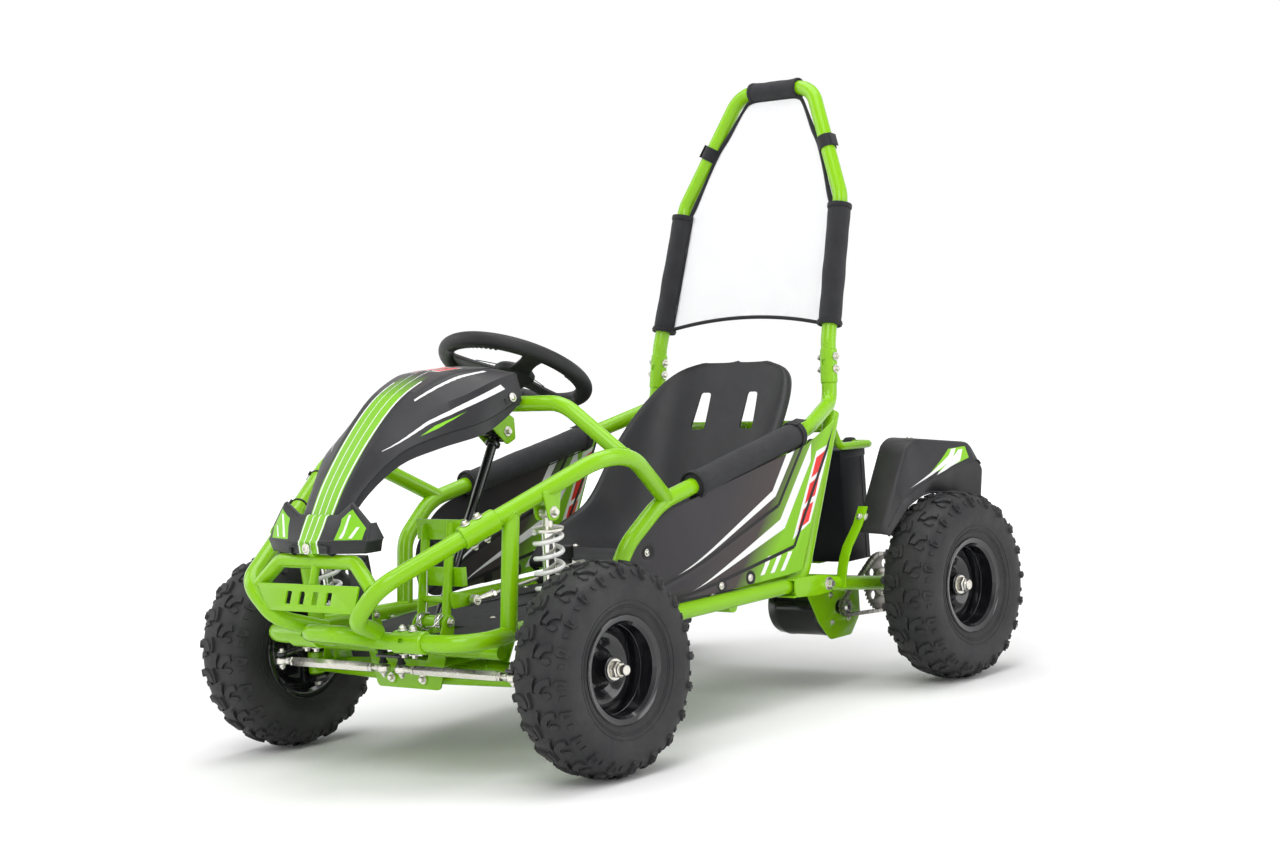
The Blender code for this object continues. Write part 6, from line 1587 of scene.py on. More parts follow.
# the pins' places round both sprockets, with the outward direction
def chainNodes():
    large, small = pitchRadius(drive["sprocket"]), pitchRadius(drive["pinion"])
    end = Vector(drive["motor"])
    heading, openAngle = atan2(end.y, end.x), acos((large - small) / end.length)
    stations = []
    for centre, radius, teeth, middle, sweep in ((Vector((0, 0)), large, drive["sprocket"], heading + pi,
            2 * pi - 2 * openAngle), (end, small, drive["pinion"], heading, 2 * openAngle)):
        step = 2 * pi / teeth
        count = int(sweep / step)
        first = middle - step * count / 2
        outs = [Vector(polar(1, first + step * k)) for k in range(count + 1)]
        stations.append([(centre + out * radius, out) for out in outs])
    nodes, phases = [], []
    for index, arc in enumerate(stations):
        nodes += arc
        following = stations[1 - index][0]
        gap = (following[0] - arc[-1][0]).length
        count = round(gap / drive["pitch"])
        if index == 1 and (len(nodes) + count - 1) % 2:
            count += 1 if gap / drive["pitch"] > count else -1
        across = (following[0] - arc[-1][0]).normalized()
        out = Vector((across.y, -across.x))
        nodes += [(arc[-1][0].lerp(following[0], k / count), out) for k in range(1, count)]
        phases.append(atan2(arc[0][1].y, arc[0][1].x))
    return nodes, phases


pins, toothPhase = chainNodes()


def makeSprocket():
    holes = [ringLine((0, 0), 0.0102, 32)]
    for k in range(5):
        turn = 2 * pi * k / 5
        holes.append(ringLine(polar(0.034, turn), 0.0078, 20))
    disc = slab(toothLine(drive["sprocket"], 0, 0, toothPhase[0]), 0.004, "YZ", rear(drive["x"], 0, 0),
        holes, edge=0.0005)
    hub = turned(doubled(mm((10.2, -8), (16.5, -8), (18, -6.5), (18, -2.5), (24, -2))),
        rear(drive["x"], 0, 0), xAxis, 48, True)
    makePiece("sprocket_wheel", "axle", ["sprocket"], [(steel, disc), (zinc, hub)], 26)
    for k in range(5):
        turn = 2 * pi * (k + 0.5) / 5
        fasten("axle", "bolt", rear(drive["x"] + 0.0022, *polar(0.0215, turn)), xAxis, 0.34)


def makeDisc():
    radius, centre = drive["disc"], rear(-drive["x"], 0, 0)
    rim = []
    for k in range(144):
        turn = 2 * pi * k / 144
        reach = radius - 0.0012 * (1 - cos(turn * 12)) / 2
        rim.append(polar(reach, turn))
    holes = [ringLine((0, 0), 0.0102, 32)]
    for k in range(24):
        turn, reach = 2 * pi * k / 24, (0.0625, 0.0545)[k % 2]
        holes.append(ringLine(polar(reach, turn), 0.0030, 14))
    for k in range(6):
        turn = 2 * pi * (k + 0.5) / 6
        holes.append(ringLine(polar(0.0385, turn), 0.0078, 20))
    disc = slab(rim, 0.0035, "YZ", centre, holes, edge=0.0004)
    hub = turned(doubled(mm((10.2, -8), (16.5, -8), (18, -6.5), (18, -2.4), (25, -2.2))), centre,
        xAxis, 48, True)
    makePiece("brake_disc_rotor", "axle", ["brake_disc"], [(chrome, disc), (steel, hub)], 26)
    for k in range(6):
        turn = 2 * pi * k / 6
        fasten("axle", "button", rear(-drive["x"] - 0.0022, *polar(0.0220, turn)), -xAxis, 0.36)


def makeCaliper():
    centre, size = rear(-0.2229, -0.069, 0.010), (0.0522, 0.038, 0.040)
    slot = turned([(0, -0.0031), (drive["disc"] + 0.0022, -0.0031), (drive["disc"] + 0.0022, 0.0031),
        (0, 0.0031)], rear(-drive["x"], 0, 0), xAxis, 64)
    window = block(rear(-drive["x"], -0.074, 0.010), (0.013, 0.050, 0.020), edge=0.002)
    body = carved(block(centre, size, edge=0.0045), slot, window)
    caps, pads, bolts = [], [], []
    for height in (-0.010, 0.010):
        caps.append(pin(*(rear(x, -0.069, 0.010 + height) for x in (-0.2490, -0.1975)), 0.0030))
    caps.append(turned(mm((0, 0), (11.5, 0), (12.5, 1), (12.5, 3.2), (8.5, 4), (8, 3.4), (0, 3.4)),
        rear(-0.1975, -0.068, 0.010), xAxis, 32))
    for offset in (0.0046, -0.0046):
        pads.append(block(rear(-drive["x"] + offset, -0.062, 0.010), (0.0020, 0.020, 0.026)))
    banjo = rear(-0.2230, -0.070, 0.0315)
    bolts += [collar(banjo, banjo + zAxis * 0.0060, 0.0028, 0.0062, 0.0006, 24),
        turned(mm((0, 6.2), (5, 6.2), (5.2, 6.8), (5, 10), (0, 10.4)), banjo, zAxis, 6)]
    bleed = rear(-0.2050, -0.080, 0.0300)
    bolts.append(turned(mm((0, 0), (3, 0), (3, 4), (1.6, 5), (1.6, 8.5), (0, 8.5)), bleed, zAxis, 12))
    makePiece("brake_caliper_body", "swing_arm", ["brake_caliper"],
        [(glossBlack, body), (zinc, *caps, *bolts), (steel, *pads)])
    for height in (-0.009, 0.011):
        fasten("swing_arm", "bolt", rear(-0.2495, -0.069, height), -xAxis, 0.55)


def makeMotor():
    y, z = drive["motor"]
    face, radius = 0.1957, 0.0520
    profile = [(0.0, face - 0.120), (0.0430, face - 0.120), (0.0490, face - 0.1185),
        (0.0508, face - 0.1150), (0.0508, face - 0.1010), (0.0528, face - 0.0995), (0.0528, face - 0.0940),
        (radius, face - 0.0925)]
    profile += [(radius, face - 0.0225), (0.0528, face - 0.0215), (0.0528, face - 0.0145),
        (0.0512, face - 0.0130), (0.0500, face - 0.0020), (0.0485, face), (0.0140, face),
        (0.0115, face + 0.0010), (0.0115, face + 0.0055), (0.0105, face + 0.0062), (0, face + 0.0062)]
    drum = turned(profile, rear(0, y, z), xAxis, 72)
    ribs = []
    for k in range(10):                          # the vent ribs of the rear cap
        turn = 2 * pi * k / 10
        middle = rear(face - 0.1195, *polar(0.030, turn, (y, z)))
        ribs.append(block(middle, (0.0030, 0.022, 0.0050), Matrix.Rotation(turn, 3, "X"), 0.0008))
    boss = turned(mm((0, 0), (11, 0), (12, 0.8), (12, 2), (0, 3)), rear(face - 0.1185, y, z), -xAxis, 32)
    gland = rear(face - 0.1080, y - 0.020, z + 0.0480)
    out = Vector((0, -0.35, 0.94))
    grommet = turned(mm((0, -4), (8.5, -4), (8.5, 4), (6.2, 5.5), (5.5, 11), (0, 11)), gland, out, 24)
    makePiece("motor_drum", "swing_arm", ["motor"], [(glossBlack, drum, *ribs, boss),
        (softRubber, grommet)], 30)
    for turn in (0.5, 0.5 + pi):
        fasten("swing_arm", "button", rear(face - 0.1195, *polar(0.040, turn, (y, z))), -xAxis, 0.4)


def makePinion():
    y, z = drive["motor"]
    disc = slab(toothLine(drive["pinion"], y, z, toothPhase[1]), 0.004, "YZ",
        rear(drive["x"], 0, 0), edge=0.0005)
    shaft = turned(mm((0, 204.2), (5.8, 204.2), (6, 204.6), (6, 220), (5.2, 220.8), (0, 221)),
        rear(0, y, z), xAxis, 28)
    shoulder = turned([(0.0058, drive["x"] - 0.0065), (0.0090, drive["x"] - 0.0062),
        (0.0094, drive["x"] - 0.0020), (0.0058, drive["x"] - 0.0020)], rear(0, y, z), xAxis, 32, True)
    clip = collar(rear(drive["x"] + 0.0022, y, z), rear(drive["x"] + 0.0032, y, z), 0.0056, 0.0088, 0.0003)
    makePiece("motor_pinion_wheel", "pinion", ["motor_pinion"],
        [(steel, disc, shoulder), (chrome, shaft, clip)], 26)


def linkShape(width, rollers):
    pitch = drive["pitch"]
    outline = [polar(0.0033, pi * k / 6 - pi / 2, (pitch, 0)) for k in range(7)] + [(pitch / 2, 0.0025)]
    outline += [polar(0.0033, pi * k / 6 + pi / 2) for k in range(7)] + [(pitch / 2, -0.0025)]
    shapes = []
    for half in (-1, 1):
        shapes.append(loft([[Vector((x, half * width + t, z)) for x, z in outline]
            for t in (-0.0004, 0.0004)]))
    radius, reach = (0.0022, 0.0026) if rollers else (0.0012, 0.0046)
    for x in (0, pitch):
        shapes.append(turned(doubled([(0, -reach), (radius, -reach)]), (x, 0, 0), yAxis, 10))
    return joined(*shapes)


def makeChain():
    results = []
    for odd, width in ((0, 0.0041), (1, 0.0031)):
        places, facings, headings = [], [], []
        for index in range(odd, len(pins), 2):
            (here, out), (there, outThere) = pins[index], pins[(index + 1) % len(pins)]
            places.append(rear(drive["x"], here.x, here.y))
            headings.append((rear(drive["x"], there.x, there.y) - places[-1]).normalized())
            both = out + outThere
            facings.append(Vector((0, both.x, both.y)).normalized())
        mesh = pointMesh(places, facings)
        mesh.attributes.new("heading", "FLOAT_VECTOR", "POINT").data.foreach_set("vector",
            [c for h in headings for c in h])
        results.append(grown("links", mesh, linkShape(width, odd == 1), steel))
    makePiece("roller_chain", "swing_arm", ["chain"], [(zinc, results[0]), (steel, results[1])], 30)


makeSwingArm()
makeAxle()
makeSprocket()
makeDisc()
makeCaliper()
makeMotor()
makePinion()
makeChain()
print("rear drive made")


# fairing over the steering: half sections at distances behind the front axle, from the ridge to the skirt
fairing = dict(wall=0.003, fold=0.0030, rows=48, ledge=0.0022, cheekBolt=(0.1312, 0.076, 0.405),
    noseBolt=(0, -0.2570, 0.2065))
hoodStations = [
    (-0.2535, (0, 0.2125), (0.028, 0.2115), (0.038, 0.2090), (0.042, 0.2060), (0.042, 0.1995)),
    (-0.236, (0, 0.227), (0.028, 0.225), (0.041, 0.220), (0.047, 0.213), (0.047, 0.199)),
    (-0.191, (0, 0.297), (0.030, 0.295), (0.044, 0.289), (0.054, 0.281), (0.055, 0.264)),
    (-0.131, (0, 0.365), (0.036, 0.362), (0.055, 0.350), (0.080, 0.335), (0.082, 0.317)),
    (-0.066, (0, 0.420), (0.044, 0.415), (0.071, 0.391), (0.104, 0.358), (0.107, 0.338)),
    (0.004, (0, 0.450), (0.056, 0.444), (0.101, 0.415), (0.127, 0.372), (0.130, 0.352)),
    (0.050, (0, 0.455), (0.064, 0.450), (0.118, 0.432), (0.131, 0.386), (0.133, 0.370)),
    (0.090, (0, 0.455), (0.069, 0.451), (0.124, 0.441), (0.133, 0.404), (0.134, 0.394)),
    (0.096, (0, 0.453), (0.069, 0.449), (0.122, 0.438), (0.130, 0.408), (0.131, 0.400)),
    (0.0985, (0, 0.448), (0.067, 0.444), (0.118, 0.434), (0.126, 0.410), (0.127, 0.402)),
]
noseColumns = [(0.112, 0.030, 0.240), (0.110, 0.000, 0.240), (0.078, -0.010, 0.272), (0.045, -0.016, 0.252),
    (0.000, -0.020, 0.252)]


def fairingFinish():
    finish = plasticFinish("fairingMoulding", (0.015, 0.015, 0.017), 0.40)
    x, y, z = finish.axes()
    ahead, high, wide = y - frontY, z - kart["tyre"], x.join("ABSOLUTE")
    crisp = 0.0004                               # how soft a stripe's edge is
    dirt = finish.noise(26, 3) * 0.10
    fade = (0.012 - ahead - dirt * 0.2).join("MULTIPLY", 14, clamp=True)
    lime = finish.polygon(wide, ahead, mm((0, -300), (24, -300), (26.5, -200), (45, 20), (0, 50))) * fade
    grey = finish.polygon(wide, ahead, mm((0, -50), (44, -50), (60, 70), (0, 85)))
    colour = finish.blend(grey * 0.8, finish.base, (0.050, 0.042, 0.044))
    colour = finish.blend(lime, colour, (0.190, 0.480, 0.012))
    bars = finish.anyOf(wide, ahead, (
        mm((16.5, -300), (19, -300), (32.5, -20), (29, -20)),
        mm((4.5, -300), (6.2, -300), (12, 20), (10.8, 20)),
        mm((52, -60), (54.5, -60), (86, 70), (79, 70))), crisp)
    bars = bars.most(finish.anyOf(ahead, high, (
        mm((-140, 342.5), (-140, 342), (-66, 376.5), (-66, 380.5)),
        mm((-66, 376.5), (66, 419), (60, 426.5), (-66, 380.5))), crisp))
    # the wings of the nose
    bars = bars.most(finish.anyOf(wide, high, [
        [(0.060 + shift, 0.222), (0.066 + shift, 0.222),
         (0.078 + shift * 0.9, 0.256 - shift), (0.073 + shift * 0.9, 0.256 - shift)]
        for shift in (0, 0.018)], crisp))
    limes = finish.polygon(ahead, high, mm((-125, 342), (-60, 373.5), (50, 408.5), (54, 405),
        (-58, 369.5)), crisp)
    wings = finish.polygon(wide, high, mm((52, 219.5), (101, 219.5), (104, 236), (79, 264),
        (57, 250)), crisp)
    colour = finish.blend(limes.most(wings), colour, (0.200, 0.520, 0.012))
    colour = finish.blend(bars, colour, (0.78, 0.78, 0.78))
    for index in range(3):                       # plain slanted blocks
        left = -0.034 + index * 0.024
        outer = finish.polygon(x, ahead, [(left - 0.002, 0.020), (left + 0.015, 0.020),
            (left + 0.024, 0.066), (left + 0.007, 0.066)], crisp)
        inner = finish.polygon(x, ahead, [(left + 0.0004, 0.022), (left + 0.0130, 0.022),
            (left + 0.0212, 0.064), (left + 0.0086, 0.064)], crisp)
        top = high.step(0.43, 0.002)
        colour = finish.blend(outer * top, colour, (0.78, 0.78, 0.78))
        colour = finish.blend(inner * top, colour, red)
    finish.set("Base Color", colour)
    return finish


fairingSkin = fairingFinish()


def makeHood():
    ledge = fairing["ledge"]
    sections = []
    for ahead, *half in hoodStations:
        (x1, z1), (x3, z3), (x4, z4) = half[1], half[3], half[4]
        line = [half[0], half[1], (x1 + 0.0012, z1 - 0.0016), half[2], half[3], (x3 - ledge, z3 - 0.0012),
            (x4 - ledge, z4)]
        sections.append([Vector((x, ahead, z)) for x, z in line])
    columns = [curveThrough([section[k] for section in sections], fairing["rows"]) for k in range(7)]
    rows = []
    for index in range(fairing["rows"]):
        half = [column[index] for column in columns]
        full = [Vector((-p.x, p.y, p.z)) for p in half[:0:-1]] + half
        rows.append([front(*p) for p in full])
    body = shell(rows, fairing["wall"], 0.0006, fairing["fold"])
    heights = []
    for x, ahead, brow in noseColumns:
        heights.append([front(x * 0.93, -0.232 + ahead, 0.1990), front(x * 0.985, -0.2335 + ahead, 0.2145),
            front(x, -0.234 + ahead, 0.2165), front(x * 0.995, -0.2310 + ahead, 0.2185),
            front(x * 0.97, -0.222 + ahead * 0.4, brow), front(x * 0.95, -0.2185 + ahead * 0.35,
            brow + 0.0015)])
    rows = [[column[k] for column in heights] for k in range(6)]
    rows = [row + [Vector((-p.x, p.y, p.z)) for p in row[-2::-1]] for row in rows]
    nose = shell(rows, fairing["wall"], 0.0006, 0.0022)
    tabs = [slab(mm((60, 388), (60, 404), (92, 408), (92, 392)), 0.026, "YZ", front(x, 0, 0), edge=0.001)
        for x in (-0.1195, 0.1195)]
    makePiece("hood_moulding", "chassis", ["hood"], [(fairingSkin, body, nose), (satinBlack, *tabs)], 30)
    x, y, z = fairing["cheekBolt"]
    for side in (1, -1):
        fasten("chassis", "button", front(side * (x + 0.0016), y, z), (side, 0, 0.18), 0.80)
    fasten("chassis", "button", front(*fairing["noseBolt"]), (0, -1, -0.06), 0.90)


# side panels
panelEdges = dict(wall=0.003, rows=46, columns=150, groove=0.0020, grooveWidth=0.0085,
    bolts=mm((239, 141), (394, 66.5), (468, 69.5)))
panelGrooves = [mm((205, 62), (556, 180), (656, 300)), mm((275, 55), (590, 106), (724, 300))]


def panelLines():
    bottoms = [front(0.237, 0.199, 0.073), front(0.240, 0.236, 0.057), front(0.250, 0.284, 0.056),
        front(0.265, 0.354, 0.057)]
    bottoms += [rear(0.269, -0.464, 0.058), rear(0.270, -0.384, 0.060), rear(0.271, -0.322, 0.062),
        rear(0.272, -0.305, 0.064)]
    tops = [front(0.237, 0.191, 0.107), front(0.240, 0.203, 0.146), front(0.250, 0.240, 0.178),
        front(0.260, 0.280, 0.201)]
    ahead, behind = waistKnee(1), rear(0.243, -0.224, 0.298)
    for y in (-0.574, -0.454, -0.354, -0.264):
        place = ahead.lerp(behind, (rearY + y - ahead.y) / (behind.y - ahead.y))
        tops.append(Vector((0.268, place.y, place.z - 0.0165)))
    return bottoms, tops + [rear(0.2715, -0.183, 0.309)]


def panelFinish():
    finish = plasticFinish("sidePanelMoulding", (0.016, 0.015, 0.017), 0.42)
    _, y, z = finish.axes()
    v, w = y - frontY, z - kart["tyre"]
    slope = v - w * 0.86                         # runs across the diagonal stripes
    grow = (slope - 0.235).join("MULTIPLY", 5.5, clamp=True)
    colour = finish.blend(grow, (0.030, 0.027, 0.031), (0.062, 0.046, 0.042))
    colour = finish.blend((slope - 0.372).join("MULTIPLY", 13, clamp=True), colour, (0.215, 0.500, 0.014))
    crisp = 0.0005                               # how soft a stripe's edge is
    whites = finish.anyOf(v, w, [
        mm((262, 80), (548, 196), (541, 206)), mm((541, 206), (548, 196), (629, 290), (608, 290)),
        mm((330, 68), (566, 140), (556, 156)), mm((556, 156), (566, 140), (650, 244), (656, 276)),
        mm((585, 118), (635, 142), (706, 270), (668, 260)),
        *[[(left, 0.0700), (left + 0.0110, 0.0700), (left + 0.0360, 0.0990), (left + 0.0250, 0.0990)]
          for left in (0.492, 0.519, 0.546)]], crisp)
    colour = finish.blend(whites, colour, white)
    # plain slanted blocks on the white band
    reds = finish.anyOf(v, w, [
        [(left, low), (left + 0.0290, low + 0.0120),
         (left + 0.0460, low + 0.0440), (left + 0.0180, low + 0.0330)]
        for low, left in mm((132, 602), (174, 625), (216, 648))], crisp)
    colour = finish.blend(reds, colour, red)
    shadeStrips = []
    for line in panelGrooves:                    # painted shade: dark lines in the grooves
        for a, b in zip(line, line[1:]):
            a, b = Vector(a), Vector(b)
            normal = Vector((a.y - b.y, b.x - a.x)).normalized() * 0.0030
            shadeStrips.append([tuple(place) for place in (a + normal, a - normal, b - normal, b + normal)])
    recessShade = finish.anyOf(v, w, shadeStrips, 0.0006)
    # painted shade: dark discs in the bolts' recesses
    for bolt in panelEdges["bolts"]:
        reach = ((v - bolt[0]) * (v - bolt[0]) + (w - bolt[1]) * (w - bolt[1])).join("SQRT")
        recessShade = recessShade.most(1 - reach.step(0.0122, 0.0006))
    # the painted shade in the grooves and recesses goes over every colour
    finish.set("Base Color", finish.blend(recessShade, colour, (0.012, 0.011, 0.013)))
    return finish


panelSkin = panelFinish()


def makePanels():
    bottoms, tops = panelLines()
    lows, highs = curveThrough(bottoms, panelEdges["columns"]), curveThrough(tops, panelEdges["columns"])
    count = panelEdges["rows"]
    grid = np.array([[tuple(low.lerp(high, k / (count - 1))) for low, high in zip(lows, highs)]
        for k in range(count)])
    flat = np.stack([grid[..., 1] - frontY, grid[..., 2] - kart["tyre"]], -1).reshape(-1, 2)
    depth = np.zeros(len(flat))
    for line in panelGrooves:
        line3 = [Vector((*place, 0)) for place in line]
        near = lineGap(np.concatenate([flat, np.zeros((len(flat), 1))], 1), line3)
        share = np.clip(1 - near / panelEdges["grooveWidth"], 0, 1)
        depth = np.maximum(depth, share * share * (3 - 2 * share))
    for bolt in panelEdges["bolts"]:
        near = np.linalg.norm(flat - np.array(bolt), axis=1)
        share = np.clip((0.0150 - near) / 0.0045, 0, 1)
        depth = np.maximum(depth, share * share * (3 - 2 * share) * 1.2)
    grid[..., 0] -= depth.reshape(grid.shape[:2]) * panelEdges["groove"]
    for name, side in sides:
        rows = [[Vector((side * x, y, z)) for x, y, z in row] for row in grid]
        sheet = shell(rows, panelEdges["wall"], 0.0006)
        makePiece(f"side_panel_{name}_moulding", "chassis", [f"side_panel_{name}"],
            [(panelSkin, sheet)], 40)
        for v, w in panelEdges["bolts"]:
            spot = min((tuple(p) for row in grid for p in row), key=lambda p: abs(p[1] - frontY - v)
                + abs(p[2] - kart["tyre"] - w))
            fasten("chassis", "button", (side * (spot[0] + 0.0016), frontY + v, kart["tyre"] + w),
                (side, 0, 0), 0.66)


def makeFloor():
    left = mm((180, -118), (180, 60), (232, 264), (232, 504))
    outline = left + [(-x, y) for x, y in reversed(left)]
    holes = [
        mm((-24, -30), (24, -30), (24, 45), (-24, 45)),
        mm((5, -90), (95, -90), (95, -34), (5, -34)),
        mm((-110, -96), (-60, -96), (-60, -34), (-110, -34)),
        mm((94, 166), (106, 166), (106, 194), (94, 194)),
    ]
    sheet = slab(outline, 0.0025, "XY", front(0, 0, 0.04225),
        [rounded(hole, 0.004) for hole in holes], 0.012)
    ribs = []
    for x in (-0.150, -0.050, 0.050, 0.150):     # pressed stiffening ribs
        line = [front(x, 0.215, 0.0425), front(x, 0.225, 0.0445), front(x, 0.470, 0.0445),
            front(x, 0.480, 0.0425)]
        ribs.append(tube(line, [0.0015, 0.0026, 0.0026, 0.0015], 12))
    makePiece("floor_sheet", "chassis", ["floor_pan"], [(gritFloor, sheet, *ribs)])
    for x, y in mm((165, -66), (-165, -66), (200, 94), (-200, 94), (215, 434), (-215, 434),
            (0, 434), (0, 130)):
        fasten("chassis", "button", front(x, y, 0.0436), (0, 0, 1), 0.6)


# bucket seat: distance from the rear axle, height, half width and the sides' rise along its centre line
bucket = dict(wall=0.004, rows=56, columns=37, roll=0.0070)
seatStations = [(-0.536, 0.102, 0.128, 0.006), (-0.522, 0.118, 0.138, 0.014), (-0.484, 0.117, 0.148, 0.028),
    (-0.424, 0.103, 0.155, 0.048), (-0.354, 0.092, 0.160, 0.072), (-0.294, 0.097, 0.165, 0.090),
    (-0.249, 0.130, 0.170, 0.095), (-0.214, 0.185, 0.172, 0.082), (-0.179, 0.255, 0.172, 0.066),
    (-0.144, 0.325, 0.163, 0.044), (-0.125, 0.366, 0.145, 0.024), (-0.1165, 0.385, 0.131, 0.014),
    (-0.1110, 0.3975, 0.114, 0.008), (-0.1080, 0.4045, 0.093, 0.004), (-0.1070, 0.4065, 0.074, 0.003)]


def makeSeat():
    stations = curveThrough([Vector((y, z, half)) for y, z, half, rise in seatStations], bucket["rows"])
    rises = curveThrough([Vector((rise, 0, 0)) for y, z, half, rise in seatStations], bucket["rows"])
    grid, headings = [], []
    for index, (station, rise) in enumerate(zip(stations, rises)):
        before, after = stations[max(index - 1, 0)], stations[min(index + 1, len(stations) - 1)]
        heading = Vector((0, after.x - before.x, after.y - before.y)).normalized()
        inward = Vector((0, -heading.z, heading.y))
        headings.append((heading, inward))
        centre = rear(0, station.x, station.y)
        row = []
        for k in range(bucket["columns"]):
            turn = -1 + 2 * k / (bucket["columns"] - 1)
            share = sin(turn * pi / 2) * 0.45 + turn * 0.55
            row.append(centre + xAxis * share * station.z + inward * rise.x * abs(share) ** 4)
        grid.append(row)
    places = np.array([[tuple(point) for point in row] for row in grid])
    ease = np.abs(np.linspace(-1, 1, bucket["columns"])) ** 3
    for turn in range(26):                       # the sides sweep round the hip in one curve
        middle = (places[:-2] + places[2:]) / 2
        places[1:-1] += (middle - places[1:-1]) * ease[None, :, None] * 0.9
    roll, bends = bucket["roll"], [radians(a) for a in (35, 80, 125, 170)]
    rows = []
    for index, row in enumerate(places):
        row = [Vector(point) for point in row]
        inward = headings[index][1]
        ends = []
        for first, second in ((row[0], row[1]), (row[-1], row[-2])):
            out = (first - second).normalized()
            back = (-inward - out * (-inward).dot(out)).normalized()
            ends.append([first + out * roll * sin(a) + back * roll * (1 - cos(a)) for a in bends])
        rows.append(list(reversed(ends[0])) + row + ends[1])
    caps = []
    for first, second in ((rows[0], rows[1]), (rows[-1], rows[-2])):
        cap = []
        for a in bends:
            line = []
            for p, q in zip(first, second):
                out = (p - q).normalized()
                back = Vector((0, -out.z, out.y)) * (1 if first is rows[0] else -1)
                line.append(p + out * roll * sin(a) + back * roll * (1 - cos(a)))
            cap.append(line)
        caps.append(cap)
    body = shell(list(reversed(caps[0])) + rows + caps[1], bucket["wall"], 0.0008)
    slots = []
    for side in (-1, 1):
        outline = rounded([(side * 0.040, 0.293), (side * 0.072, 0.293), (side * 0.066, 0.357),
            (side * 0.042, 0.357)], 0.006)
        slots.append(slab(outline, 0.130, "XZ", rear(0, -0.140, 0), edge=0.0))
    body = carved(body, *slots)
    feet = []
    for y, low, high, rise in ((-0.352, 0.0518, 0.092, 0.0045), (-0.474, 0.0438, 0.114, 0.0060)):
        for x in (-0.088, 0.088):
            feet.append(block(rear(x, y, (low + high) / 2), (0.028, 0.022, high - low), edge=0.002))
            fasten("chassis", "button", rear(x, y, high + rise), (0, 0, 1), 0.8)
    makePiece("seat_bucket", "chassis", ["seat"], [(satinBlack, body, *feet)], 50)


# battery box
batteryBox = dict(x=0.190, front=-0.066, rear=0.008, low=0.043, high=0.243, wall=0.002, lid=0.016)


def makeBatteryBox():
    b = batteryBox
    middle = rear(0, (b["front"] + b["rear"]) / 2, (b["low"] + b["high"]) / 2)
    size = Vector((2 * b["x"], b["rear"] - b["front"], b["high"] - b["low"]))
    inner = size - Vector((2, 2, 2)) * b["wall"]
    hole = pin(rear(-0.15, -0.029, b["low"] - 0.01), rear(-0.15, -0.029, b["low"] + 0.01), 0.010)
    case = carved(block(middle, size, edge=0.0020), block(middle, inner, edge=0.0008), hole)
    lidMiddle = rear(0, (b["front"] + b["rear"]) / 2, b["high"] - b["lid"] / 2 + 0.0012)
    lid = carved(block(lidMiddle, (size.x + 0.0024, size.y + 0.0024, b["lid"]), edge=0.0020),
        block(lidMiddle - zAxis * 0.002, (size.x - 0.0004, size.y - 0.0004, b["lid"]), edge=0.0006))
    seams = [tube([rear(side * (b["x"] - 0.0001), b["rear"] - 0.012, b["low"] + 0.004),
        rear(side * (b["x"] - 0.0001), b["rear"] - 0.012, b["high"] - b["lid"])], 0.0007, 8)
        for side in (1, -1)]
    grommet = turned(mm((6, -4), (12, -4), (13, -2.8), (9.8, -1.4), (9.8, 1.4), (12.5, 2.8), (11.5, 4),
        (6, 4)), rear(-0.15, -0.029, b["low"] + 0.001), zAxis, 28, True)
    latches = []
    for x in (-0.110, 0.110):
        latches += [block(rear(x, b["rear"] + 0.0018, b["high"] - 0.022), (0.020, 0.0018, 0.034)),
            block(rear(x, b["rear"] + 0.0034, b["high"] - 0.016), (0.013, 0.0022, 0.020),
            Matrix.Rotation(0.10, 3, "X"))]
        latches.append(pin(rear(x - 0.011, b["rear"] + 0.0032, b["high"] - 0.0275),
            rear(x + 0.011, b["rear"] + 0.0032, b["high"] - 0.0275), 0.0012))
    makePiece("battery_case", "chassis", ["battery_box"], [(boxBlack, case, lid, *seams),
        (softRubber, grommet), (zinc, *latches)], 30)


